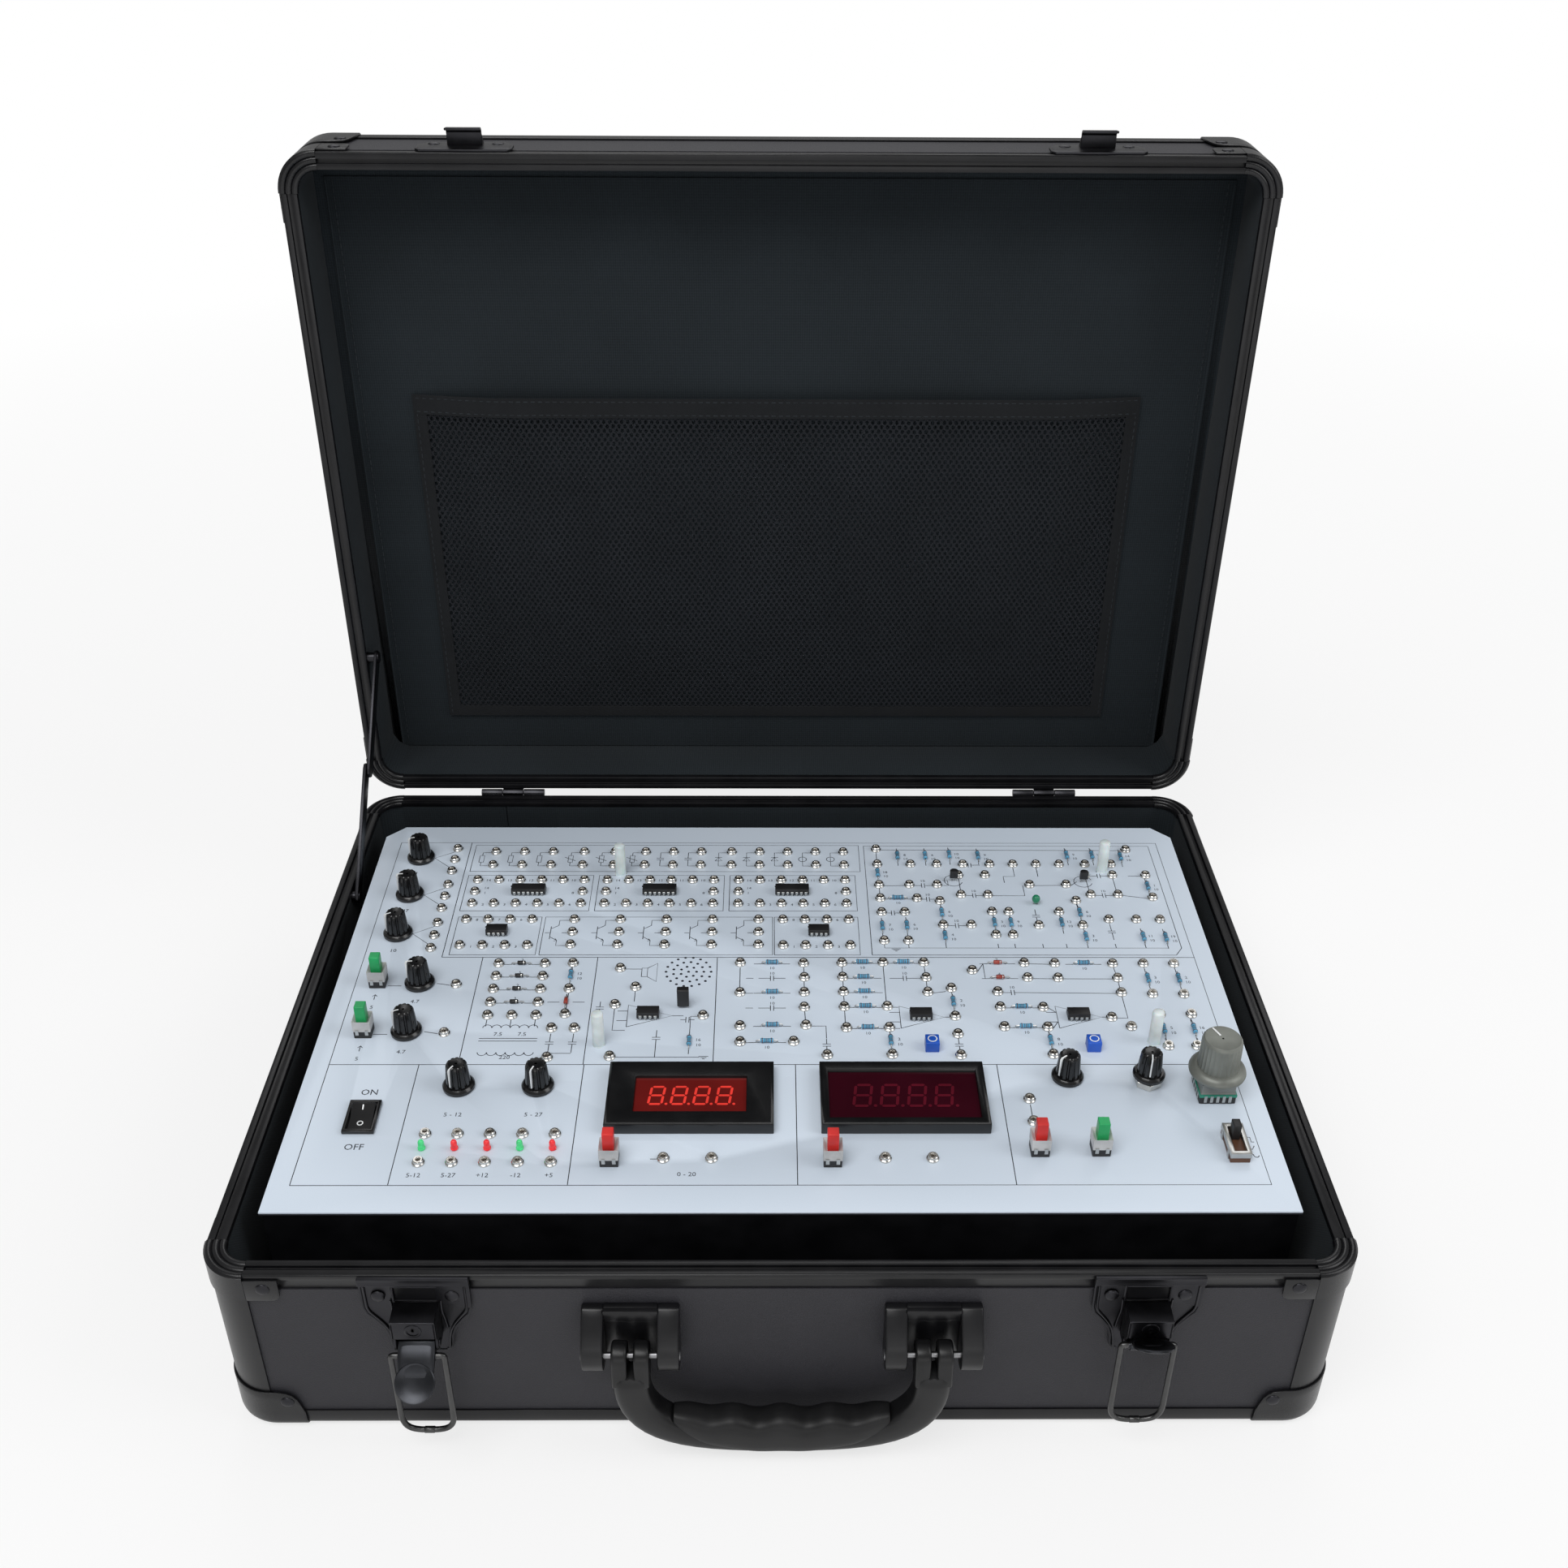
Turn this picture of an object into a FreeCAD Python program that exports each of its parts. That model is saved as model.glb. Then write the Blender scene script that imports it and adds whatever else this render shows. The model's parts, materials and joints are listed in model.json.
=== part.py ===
import FreeCAD, Part
import math
import os

import Sketcher
from FreeCAD import Placement, Rotation, Vector

# Analog electronics trainer built into a hinged carrying case. Millimetres, +Z up, +X right, +Y to the hinges.
# The origin is the middle of the plane that the base stands on. The base, its panel and its controls are
# modelled where they are; the lid is modelled shut and then laid open about the hinge pins.

SIZES = {
    # carrying case
    "case_width": 496,
    "case_depth": 370,
    "base_height": 100,
    "lid_depth": 44,
    "lid_gap": 0.3,
    "corner_radius": 20,
    "board_inset": 1,
    "board": 4,
    "floor_board": 3.3,
    "post_wall": 5,
    # rim extrusion, measured inwards from the case's outside and away from the rim plane
    "rim_width": 8.5,
    "rim_lip": 3,
    "rim_band": 9.7,
    "band_inset": 1.5,
    "rim_leg": 1.2,
    "leg_drop": 18,
    "groove_from": 3.3,
    "groove_width": 2.2,
    "groove_deep": 1.6,
    # edge extrusion round the floor and the lid's top
    "edge_gap": 0.5,
    "edge_bead": 4,
    "edge_solid": 5,
    "edge_skin": 1.2,
    "edge_outer": 10.4,
    "edge_flange": 14,
    "belly_gap": 1,
    # corner pieces
    "cap_skin": 1,
    "cap_height": 24,
    "cap_reach_low": 34,
    "cap_reach_high": 30,
    "rim_tab_reach": 34.7,
    "rim_tab_drop": 14.6,
    "rim_tab_top": 3,
    "ridge_pitch": 2.9,
    "ridge_valley": 0.9,
    "rivet_head": 3.1,
    "rivet_proud": 1.1,
    "rim_rivet_in": 28,
    "rim_rivet_drop": 6,
    "cap_rivet_in": 27,
    "cap_rivet_up": 19,
    # linings
    "lining_gap": 0.2,
    "lining_wall": 1.8,
    "lining_floor": 1.5,
    "lining_drop": 0.3,
    "back_pad": 1,
    "back_pad_side": 13,
    "back_pad_low": 11,
    "back_pad_high": 353,
    # hinges
    "hinge_out": 2.5,
    "knuckle": 2.2,
    "hinge_pin": 1,
    "pin_play": 0.05,
    "hinge_centre": 162,
    "hinge_length": 38,
    "knuckle_play": 0.4,
    "leaf": 1.2,
    "leaf_height": 20,
    "leaf_clear": 2.9,
    # latches
    "latch_centre": 156,
    "latch_width": 47,
    "latch_low": 54,
    "latch_low_width": 27,
    "latch_knee": 80,
    "latch_top": 99.5,
    "latch_plate": 1.2,
    "latch_window": 18,
    "window_low": 85.6,
    "window_high": 93.6,
    "cheek": 1.2,
    "housing_width": 19,
    "housing_out": 12.2,
    "housing_low": 74.4,
    "housing_high": 84.8,
    "latch_pivot_out": 8,
    "latch_pivot_up": 67.5,
    "latch_ear": 3.2,
    "cheek_waist": 2.2,
    "cheek_waist_up": 5.4,
    "latch_pin": 1.1,
    "lever_eye": 2.4,
    "lever_arm": 5.5,
    "lever_reach": 16.5,
    "spoon": 8.7,
    "lever_skin": 1.4,
    "lever_width": 16,
    "bail_wire": 1.3,
    "bail_width": 23,
    "bail_length": 50.2,
    "bail_bend": 9.5,
    "bail_end": 4.5,
    "lever_open_left": 45,
    "lever_open_right": 125,
    # hasps on the lid
    "hasp_width": 47.5,
    "hasp_low": 1.4,
    "hasp_high": 18,
    "hook_width": 17.3,
    "hook_out": 10,
    "hook_top": 10.2,
    "hook_skin": 1.2,
    "hook_depth": 6.5,
    # handle
    "mount_centre": 65,
    "mount_width": 42,
    "mount_gap": 23,
    "mount_low": 52,
    "mount_high": 82,
    "mount_plate": 3,
    "handle_pin": 2.2,
    "handle_pin_out": 11,
    "handle_pin_up": 62.5,
    "handle_play": 0.1,
    "handle_root": 16.4,
    "handle_eye": 6.5,
    "handle_drop": 58,
    "handle_grip": 21,
    "handle_thick": 15,
    # lid stay
    "stay_inset": 10.6,
    "stay_lower_thick": 1.8,
    "stay_upper_thick": 1.6,
    "stay_gap": 0.4,
    "stay_width": 8.6,
    "stay_pin": 2,
    "stay_play": 0.1,
    "stay_head": 3.4,
    "stay_base_y": 88.7,
    "stay_base_z": 95,
    "stay_lid_y": 96.65,
    "stay_lid_z": 4.35,
    "stay_lower_length": 73,
    # mesh pocket on the lid's back lining, measured up from the hinge edge
    "pocket_left_side": 45.5,
    "pocket_right_side": 49,
    "pocket_low": 34,
    "pocket_height": 204,
    "pocket_cloth": 1.4,
    "pocket_bulge": 8.5,
    "pocket_fold": 2.2,
    # working panel and the steel box under it
    "panel_side_gap": 18,
    "panel_end_gap": 35,
    "panel": 2,
    "panel_chamfer": 10,
    "chassis_margin": 1,
    "chassis_sheet": 1.2,
    "chassis_flange": 9,
    # controls and fittings on the panel
    "socket": 3,
    "socket_top": 2.4,
    "socket_height": 2.6,
    "terminal_bore": 1,
    "terminal_barrel": 2.2,
    "terminal_depth": 9,
    "hole_play": 0.1,
    "shaft": 2.95,
    "shaft_play": 0.1,
    "bush": 3.6,
    "pot_body": 16,
    "pot_depth": 7,
    "knob_skirt": 7.75,
    "knob_skirt_height": 2.6,
    "knob_foot": 6.2,
    "knob_top": 5,
    "knob_flute": 0.8,
    "knob_height": 15,
    "knob_lift": 0.4,
    "fine_lift": 5,
    "nut": 5.2,
    "nut_height": 2.4,
    "selector_skirt": 13.5,
    "selector_grip": 9.75,
    "selector_lift": 12.6,
    "selector_skirt_height": 5,
    "selector_height": 34,
    "selector_body": 17,
    "selector_body_height": 12,
    "button_body": 8.8,
    "button_body_height": 10.8,
    "button_well": 5.8,
    "button_cap": 5.4,
    "button_height": 18.8,
    "button_travel": 2.5,
    "rocker_width": 15,
    "rocker_length": 21,
    "bezel_height": 2,
    "rocker_well_width": 11.6,
    "rocker_well_length": 18.2,
    "rocker_half": 7.8,
    "rocker_rise": 2.6,
    "rocker_dip": 1.2,
    "rocker_pivot": 3,
    "rocker_tilt": 12,
    "rocker_depth": 12,
    "slide_body_width": 9.8,
    "slide_body_length": 20,
    "slide_body_height": 6,
    "slide_slot": 4.4,
    "slide_tab": 3.8,
    "slide_tab_length": 5,
    "slide_tab_height": 12,
    "slide_travel": 8,
    "meter_width": 79,
    "meter_depth": 43,
    "meter_height": 6,
    "volt_window": 53,
    "volt_window_depth": 24,
    "count_window": 71,
    "count_window_depth": 32,
    "window_glass": 1.6,
    "window_set": 1.2,
    "standoff": 3,
    "standoff_height": 20,
    "chip_width": 6.4,
    "chip_height": 3.4,
    "chip_lift": 0.8,
    "lead_pitch": 2.54,
    "resistor": 1.25,
    "resistor_length": 6.4,
    "lead": 0.6,
    "lamp": 1.5,
    "lamp_height": 5.5,
    "trimmer": 6.8,
    "trimmer_height": 6,
    "trimmer_screw": 1.9,
    # inside the steel box and on the back wall
    "circuit_width": 230,
    "circuit_depth": 270,
    "circuit": 1.6,
    "circuit_drop": 14,
    "core_width": 66,
    "core_depth": 46,
    "core_height": 55,
    "speaker_frame": 20,
    "speaker_depth": 16,
    "inlet_width": 48,
    "inlet_height": 27,
    "inlet_flange": 2.5,
    "inlet_body_width": 30,
    "inlet_body_height": 23,
    "inlet_body_depth": 22,
    "inlet_wall": 2.6,
    "inlet_from_side": 98,
    "inlet_up": 44,
}

document = FreeCAD.newDocument("Trainer")
sheet = document.addObject("Spreadsheet::Sheet", "sizes")
for row, (alias, value) in enumerate(SIZES.items(), start=1):
    sheet.set(f"A{row}", alias)
    sheet.set(f"B{row}", str(value))
    sheet.setAlias(f"B{row}", alias)
document.recompute()


# A length of the model: a formula over the sheet's cells, with its present value in millimetres.
class Size:
    def __init__(self, text, value):
        self.text = text
        self.value = value

    def join(self, sign, other, value):
        return Size(f"({self.text} {sign} {other.text})", value)

    def __add__(self, other):
        other = size(other)
        return self.join("+", other, self.value + other.value)

    def __sub__(self, other):
        other = size(other)
        return self.join("-", other, self.value - other.value)

    def __mul__(self, other):
        other = size(other)
        return self.join("*", other, self.value * other.value)

    def __truediv__(self, other):
        other = size(other)
        return self.join("/", other, self.value / other.value)

    def __radd__(self, other):
        return size(other) + self

    def __rsub__(self, other):
        return size(other) - self

    def __rmul__(self, other):
        return size(other) * self

    def __rtruediv__(self, other):
        return size(other) / self

    def __neg__(self):
        return size(0) - self

    def __float__(self):
        return self.value


def size(thing):
    if isinstance(thing, Size):
        return thing
    return Size(f"{float(thing):.9f}" if thing >= 0 else f"(0 - {-float(thing):.9f})", float(thing))


def root(thing):
    return Size(f"sqrt({thing.text})", math.sqrt(thing.value))


class Sheet:
    def __getattr__(self, alias):
        return Size(f"sizes.{alias}", float(sheet.get(alias)))


d = Sheet()
ALONG_X = Rotation(Vector(0, 1, 0), 90)
ALONG_Y = Rotation(Vector(1, 0, 0), -90)
ALONG_Z = Rotation()
PLANES = {
    "XY": Rotation(),
    "XZ": Rotation(Vector(1, 0, 0), 90),
    "YZ": Rotation(Vector(1, 1, 1), 120),
}
parts = {}


def set_size(thing, name, value):
    if isinstance(value, Size):
        setattr(thing, name, float(value))
        thing.setExpression(name, value.text)
    else:
        setattr(thing, name, value)


def place(thing, x=0, y=0, z=0, turn=ALONG_Z):
    thing.Placement = Placement(Vector(float(x), float(y), float(z)), turn)
    for axis, value in (("x", x), ("y", y), ("z", z)):
        if isinstance(value, Size):
            thing.setExpression(f"Placement.Base.{axis}", value.text)
    return thing


def add(kind, name):
    return document.addObject(kind, name)


# A box between two opposite corners, given in any order.
def block(name, first, second):
    box = add("Part::Box", name)
    lows = []
    for side, one, two in zip(("Length", "Width", "Height"), first, second):
        one = size(one)
        two = size(two)
        low, high = (one, two) if one.value < two.value else (two, one)
        set_size(box, side, high - low)
        lows.append(low)
    return place(box, *lows)


def rod(name, radius, length, x=0, y=0, z=0, turn=ALONG_Z):
    cylinder = add("Part::Cylinder", name)
    set_size(cylinder, "Radius", size(radius))
    set_size(cylinder, "Height", size(length))
    return place(cylinder, x, y, z, turn)


def cut(name, base, tool):
    made = add("Part::Cut", name)
    made.Base = base
    made.Tool = tool
    return made


def fuse(name, pieces):
    made = add("Part::MultiFuse", name)
    made.Shapes = pieces
    return made


def group(name, pieces):
    made = add("Part::Compound", name)
    made.Links = pieces
    return made


def mirror(name, piece, normal):
    made = add("Part::Mirroring", name)
    made.Source = piece
    made.Normal = normal
    return made


def both_sides(name, piece, normal=Vector(1, 0, 0)):
    return [piece, mirror(name, piece, normal)]


def four_corners(name, piece):
    right_pair = both_sides(name + "Back", piece, Vector(0, 1, 0))
    pair = group(name + "Pair", right_pair)
    return both_sides(name + "Other", pair)


def regular(radius, sides, turned=0.0):
    turns = [turned + 2 * math.pi * step / sides for step in range(sides)]
    return [(radius * math.cos(turn), radius * math.sin(turn)) for turn in turns]


# A solid through a row of like rings of points, with flat faces: four-cornered ones or pairs of triangles.
def through(rings, split=False):
    loops = [rings[0], rings[-1]] if not split else []
    for low, high in zip(rings, rings[1:]):
        for index in range(len(low)):
            after = (index + 1) % len(low)
            if split:
                loops += [(low[index], low[after], high[after]), (low[index], high[after], high[index])]
            else:
                loops.append((low[index], low[after], high[after], high[index]))
    if split:
        for ring in (rings[0], rings[-1]):
            half = len(ring) // 2
            for index in range(half - 1):
                other = len(ring) - 1 - index
                loops += [(ring[index], ring[index + 1], ring[other - 1]), (ring[index], ring[other - 1], ring[other])]
    faces = [Part.Face(Part.makePolygon([*loop, loop[0]])) for loop in loops]
    solid = Part.makeSolid(Part.makeShell(faces))
    solid.fix(1e-6, 1e-6, 1e-6)
    return solid


# A solid through like level outlines, given as (outline, height).
def stacked(levels):
    return through([[Vector(float(x), float(y), float(z)) for x, y in points] for points, z in levels])


def tapered(low_points, high_points, low, high):
    return stacked([(low_points, low), (high_points, high)])


def frustum(low_radius, high_radius, height, sides, low=0.0):
    return tapered(regular(low_radius, sides), regular(high_radius, sides), low, low + height)


def shaped(name, shape):
    made = add("Part::Feature", name)
    made.Shape = shape
    return made


def at(name, master, x, y, z, turn=ALONG_Z):
    return place(group(name, [master]), x, y, z, turn)


# Draws a closed outline. Its corners are (across, up) or (across, up, radius): a radius makes the stretch from
# that corner to the next an arc of at most a half circle, anticlockwise if positive and clockwise if negative.
# A half circle is drawn a hair flatter, so that its two ends and its radius fix one arc only.
HALF_CIRCLE = 1.0002


def draw(sketch, corners):
    corners = list(corners)
    count = len(corners)
    stretches = []
    starts = []
    for index, corner in enumerate(corners):
        after = corners[(index + 1) % count]
        start = Vector(float(corner[0]), float(corner[1]), 0)
        end = Vector(float(after[0]), float(after[1]), 0)
        if len(corner) == 2:
            stretches.append(Part.LineSegment(start, end))
            starts.append((1, 2))
            continue
        chord = end - start
        if abs(chord.Length / 2 - abs(float(corner[2]))) < 1e-6:
            corners[index] = (corner[0], corner[1], corner[2] * HALF_CIRCLE)
        radius = float(corners[index][2])
        rise = math.sqrt(max(radius**2 - chord.Length**2 / 4, 0))
        side = Vector(-chord.y, chord.x, 0).normalize() * (1 if radius > 0 else -1)
        centre = (start + end) * 0.5 + side * rise
        first, second = (start, end) if radius > 0 else (end, start)
        angles = [math.atan2(point.y - centre.y, point.x - centre.x) for point in (first, second)]
        circle = Part.Circle(centre, Vector(0, 0, 1), abs(radius))
        stretches.append(Part.ArcOfCircle(circle, angles[0], angles[1]))
        starts.append((1, 2) if radius > 0 else (2, 1))
    sketch.addGeometry(stretches, False)
    for index in range(count):
        after = (index + 1) % count
        joint = Sketcher.Constraint("Coincident", index, starts[index][1], after, starts[after][0])
        sketch.addConstraint(joint)
    for index, corner in enumerate(corners):
        for kind, value in (("DistanceX", corner[0]), ("DistanceY", corner[1])):
            number = sketch.addConstraint(Sketcher.Constraint(kind, index, starts[index][0], float(value)))
            if isinstance(value, Size):
                sketch.setExpression(f"Constraints[{number}]", value.text)
        if len(corner) == 3:
            radius = corner[2] if float(corner[2]) > 0 else -size(corner[2])
            number = sketch.addConstraint(Sketcher.Constraint("Radius", index, float(radius)))
            if isinstance(radius, Size):
                sketch.setExpression(f"Constraints[{number}]", radius.text)
    return sketch


def outline(name, plane, corners, x=0, y=0, z=0):
    sketch = place(add("Sketcher::SketchObject", name), x, y, z, PLANES[plane])
    return draw(sketch, corners)


# A prism on an outline. The XZ outline's prism grows towards +Y, the others' along +Z and +X.
def prism(name, plane, corners, length, x=0, y=0, z=0):
    made = add("Part::Extrusion", name)
    made.Base = outline(name + "Outline", plane, corners, x, y, z)
    made.DirMode = "Custom"
    made.Dir = {"XY": Vector(0, 0, 1), "XZ": Vector(0, 1, 0), "YZ": Vector(1, 0, 0)}[plane]
    made.Solid = True
    set_size(made, "LengthFwd", size(length))
    return made


# An eight-sided stud along X about (y, z), and the hole that clears it.
EYE_SIDES = 8
EYE_ROOM = 1 / math.cos(math.pi / EYE_SIDES)


def stud(name, radius, length, x, y, z):
    corners = [(y + across, z + up) for across, up in regular(radius, EYE_SIDES, math.pi / EYE_SIDES)]
    return prism(name, "YZ", corners, length, x=x)


# Points of a quarter round about a centre, as chords that lie outside it and leave it straight.
CORNER_TURNS = (15, 45, 75)


def quarter(centre_x, centre_y, radius, start=0):
    reach = radius / math.cos(math.radians(CORNER_TURNS[0]))
    turns = [math.radians(start + turn) for turn in CORNER_TURNS]
    return [(centre_x + reach * math.cos(turn), centre_y + reach * math.sin(turn)) for turn in turns]


# A rectangle with rounded corners, as an outline about the middle.
def rounded(half_width, half_depth, radius):
    across = half_width - radius
    back = half_depth - radius
    return [
        *quarter(across, back, radius), *quarter(-across, back, radius, 90), *quarter(-across, -back, radius, 180),
        *quarter(across, -back, radius, 270),
    ]


# An outline whose corners are (across, up) or (across, up, radius), with each arc drawn as a few chords.
def chorded(corners, steps=3):
    made = []
    for index, corner in enumerate(corners):
        made.append(corner[:2])
        if len(corner) == 2:
            continue
        after = corners[(index + 1) % len(corners)]
        start = Vector(float(corner[0]), float(corner[1]), 0)
        chord = Vector(float(after[0]), float(after[1]), 0) - start
        radius = float(corner[2])
        side = Vector(-chord.y, chord.x, 0).normalize() * math.copysign(1, radius)
        centre = start + chord * 0.5 + side * math.sqrt(max(radius**2 - chord.Length**2 / 4, 0))
        sweep = 2 * math.asin(min(1, chord.Length / 2 / abs(radius))) * math.copysign(1, radius)
        arm = start - centre
        for step in range(1, steps):
            turn = sweep * step / steps
            across = centre.x + arm.x * math.cos(turn) - arm.y * math.sin(turn)
            made.append((across, centre.y + arm.x * math.sin(turn) + arm.y * math.cos(turn)))
    return made


def origin_plane(body, role):
    return next(feature for feature in body.Origin.OriginFeatures if feature.Role == role)


def body_sketch(body, name, corners, height=0, role="XY_Plane"):
    sketch = body.newObject("Sketcher::SketchObject", name)
    sketch.AttachmentSupport = (origin_plane(body, role), "")
    sketch.MapMode = "FlatFace"
    sketch.AttachmentOffset = Placement(Vector(0, 0, float(height)), Rotation())
    if isinstance(height, Size):
        sketch.setExpression("AttachmentOffset.Base.z", height.text)
    return draw(sketch, corners)


def pad(body, name, corners, height, length, down=False):
    feature = body.newObject("PartDesign::Pad", name)
    feature.Profile = body_sketch(body, name + "Sketch", corners, height)
    set_size(feature, "Length", size(length))
    feature.Reversed = down
    return feature


def pocket(body, name, corners, height, length, up=False):
    feature = body.newObject("PartDesign::Pocket", name)
    feature.Profile = body_sketch(body, name + "Sketch", corners, height)
    set_size(feature, "Length", size(length))
    feature.Reversed = up
    return feature


# Names a finished piece: its name is the name of its file.
def keep(name, piece):
    piece.Label = name
    parts[name] = piece
    return piece


half_width = d.case_width / 2
half_depth = d.case_depth / 2
rim = d.base_height
lid_rim = rim + d.lid_gap
lid_top = lid_rim + d.lid_depth
hinge_y = half_depth + d.hinge_out
hinge_z = rim + d.lid_gap / 2
board_in = d.board_inset + d.board
leg_in = board_in + d.rim_leg


# Lays a piece of the shut lid open: a quarter turn about the hinge pins.
def lay_open(piece):
    return place(piece, 0, hinge_y - hinge_z, hinge_z + hinge_y, Rotation(Vector(1, 0, 0), -90))


def boards(prefix, low_rim, foot, way):
    low = foot + way * d.edge_solid
    high = low_rim - way * d.rim_band
    straight_x = half_width - d.corner_radius
    straight_y = half_depth - d.corner_radius
    front_y = -half_depth + d.board_inset
    side_x = -half_width + d.board_inset
    front = block(prefix + "Front", (-straight_x, front_y, low), (straight_x, front_y + d.board, high))
    side = block(prefix + "Side", (side_x, -straight_y, low), (side_x + d.board, straight_y, high))
    floor_low = foot + way * (d.edge_gap + d.edge_skin)
    floor_high = floor_low + way * d.floor_board
    start = floor_low if way > 0 else floor_high
    corners = rounded(half_width - board_in, half_depth - board_in, d.corner_radius - board_in)
    floor = prism(prefix + "Floor", "XY", corners, d.floor_board, z=start)
    back = mirror(prefix + "Back", front, Vector(0, 1, 0))
    return front, back, both_sides(prefix + "OtherSide", side), floor


def rim_corners():
    groove_to = d.groove_from + d.groove_width
    return [
        (0, 0), (0, d.rim_lip), (d.band_inset, d.rim_lip), (d.band_inset, d.rim_band), (board_in, d.rim_band),
        (board_in, d.leg_drop), (leg_in, d.leg_drop), (leg_in, d.rim_lip), (d.rim_width, d.rim_lip),
        (d.rim_width, 0), (groove_to, 0), (groove_to, d.groove_deep), (d.groove_from, d.groove_deep),
        (d.groove_from, 0),
    ]


# The middle point of a rounded edge that is drawn as two chords, as a part of its radius.
BEVEL = 1 - math.sqrt(0.5)


def edge_corners():
    skin_top = d.edge_gap + d.edge_skin
    return [
        (0, d.edge_gap + d.edge_bead), (BEVEL * d.edge_bead, d.edge_gap + BEVEL * d.edge_bead),
        (d.edge_bead, d.edge_gap), (d.edge_flange, d.edge_gap),
        (d.edge_flange, skin_top), (board_in, skin_top), (board_in, d.edge_solid), (d.board_inset, d.edge_solid),
        (d.board_inset, d.edge_outer), (0, d.edge_outer),
    ]


# The four straight lengths of an extrusion whose section is given as (inwards, away from a plane).
def lengths(prefix, section, plane_z, way, reach):
    def placed(outer):
        return [(outer + corner[0], plane_z + way * corner[1]) + tuple(corner[2:]) for corner in section]

    long_x = half_width - reach
    long_y = half_depth - reach
    front = prism(prefix + "Front", "YZ", placed(-half_depth), 2 * long_x, x=-long_x)
    side = prism(prefix + "Side", "XZ", placed(-half_width), 2 * long_y, y=-long_y)
    return both_sides(prefix + "Back", front, Vector(0, 1, 0)) + both_sides(prefix + "Right", side)


def posts(prefix, low_rim, foot, way):
    centre_x = half_width - d.corner_radius
    centre_y = half_depth - d.corner_radius
    inner = d.corner_radius - d.post_wall
    low = foot + way * d.edge_solid
    high = low_rim - way * d.rim_band
    section = [
        (half_width, centre_y), *quarter(centre_x, centre_y, d.corner_radius), (centre_x, half_depth),
        (centre_x, half_depth - d.post_wall), *quarter(centre_x, centre_y, inner)[::-1],
        (half_width - d.post_wall, centre_y),
    ]
    start, end = (low, high) if way > 0 else (high, low)
    return four_corners(prefix, prism(prefix, "XY", section, end - start, z=start))


# One rim corner piece at +X +Y: a quarter turn of its ridged section, and the two tabs that are riveted to
# the boards.
def rim_corner(prefix, low_rim, way):
    centre_x = half_width - d.corner_radius
    centre_y = half_depth - d.corner_radius
    ridge = d.ridge_pitch
    valley = ridge / 7
    section = [(-d.cap_skin, d.rim_tab_drop), (-d.cap_skin, d.cap_skin)]
    section += [(0, 0)]
    for number in (1, 2):
        section += [(number * ridge - valley, 0), (number * ridge, d.ridge_valley), (number * ridge + valley, 0)]
    section += [
        (d.rim_width, 0), (d.rim_width, d.rim_lip), (leg_in, d.rim_lip), (leg_in, d.rim_band), (0, d.rim_band),
        (0, d.rim_tab_drop),
    ]
    middle = Vector(float(centre_x), float(centre_y), float(low_rim))
    rings = []
    for turn in (0, *CORNER_TURNS, 90):
        reach = 1 if turn in (0, 90) else 1 / math.cos(math.radians(CORNER_TURNS[0]))
        out = Vector(math.cos(math.radians(turn)), math.sin(math.radians(turn)), 0) * reach
        rings.append([
            middle + out * float(d.corner_radius - inwards) - Vector(0, 0, way * float(away))
            for inwards, away in section
        ])
    turned = shaped(prefix + "Turn", through(rings))
    tab_x = half_width - d.rim_tab_reach
    tab_y = half_depth - d.rim_tab_reach
    tab_top = low_rim - way * d.rim_tab_top
    tab_low = low_rim - way * d.rim_tab_drop
    side_tab = block(prefix + "SideTab", (half_width, tab_y, tab_low), (half_width + d.cap_skin, centre_y, tab_top))
    back_tab = block(prefix + "BackTab", (tab_x, half_depth, tab_low), (centre_x, half_depth + d.cap_skin, tab_top))
    return group(prefix, [turned, side_tab, back_tab])


# A block with rounded upright edges and a rounded bottom (or top) edge, from which the ball corners are cut.
def rounded_block(name, foot, way, half_x, half_y, radius, edge, height):
    levels = []
    for inwards, away in ((edge, 0 * edge), (BEVEL * edge, BEVEL * edge), (0 * edge, edge), (0 * edge, height)):
        levels.append((rounded(half_x - inwards, half_y - inwards, radius - inwards), foot + way * away))
    return shaped(name, stacked(levels))


def ball_corners(prefix, foot, way):
    skin = d.cap_skin
    outer = rounded_block(
        prefix + "Outer", foot, way, half_width + skin, half_depth + skin, d.corner_radius + skin,
        d.edge_bead + skin, d.cap_height,
    )
    inner = rounded_block(
        prefix + "Inner", foot + way * d.edge_gap, way, half_width, half_depth, d.corner_radius,
        d.edge_bead, d.cap_height,
    )
    shell = cut(prefix + "Shell", outer, inner)
    top = foot + way * d.cap_height
    outer_x = half_width + 2 * skin
    outer_y = half_depth + 2 * skin
    side = prism(
        prefix + "FrontTaper", "XZ",
        [(half_width - d.cap_reach_low, foot), (outer_x, foot), (outer_x, top), (half_width - d.cap_reach_high, top)],
        d.cap_reach_low + 2 * skin, y=half_depth - d.cap_reach_low,
    )
    front = prism(
        prefix + "SideTaper", "YZ",
        [(half_depth - d.cap_reach_low, foot), (outer_y, foot), (outer_y, top), (half_depth - d.cap_reach_high, top)],
        d.cap_reach_low + 2 * skin, x=half_width - d.cap_reach_low,
    )
    wedge = add("Part::Common", prefix + "Wedge")
    wedge.Base = side
    wedge.Tool = front
    corner = add("Part::Common", prefix + "Cap")
    corner.Base = shell
    corner.Tool = wedge
    return four_corners(prefix, corner)


rivet_shape = frustum(float(d.rivet_head), float(d.rivet_head) * 0.6, float(d.rivet_proud), 6)
rivet = shaped("rivet", rivet_shape)


def dome_rivet(name, x, y, z, turn):
    return at(name, rivet, x, y, z, turn)


TO_FRONT = Rotation(Vector(1, 0, 0), 90)


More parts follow.
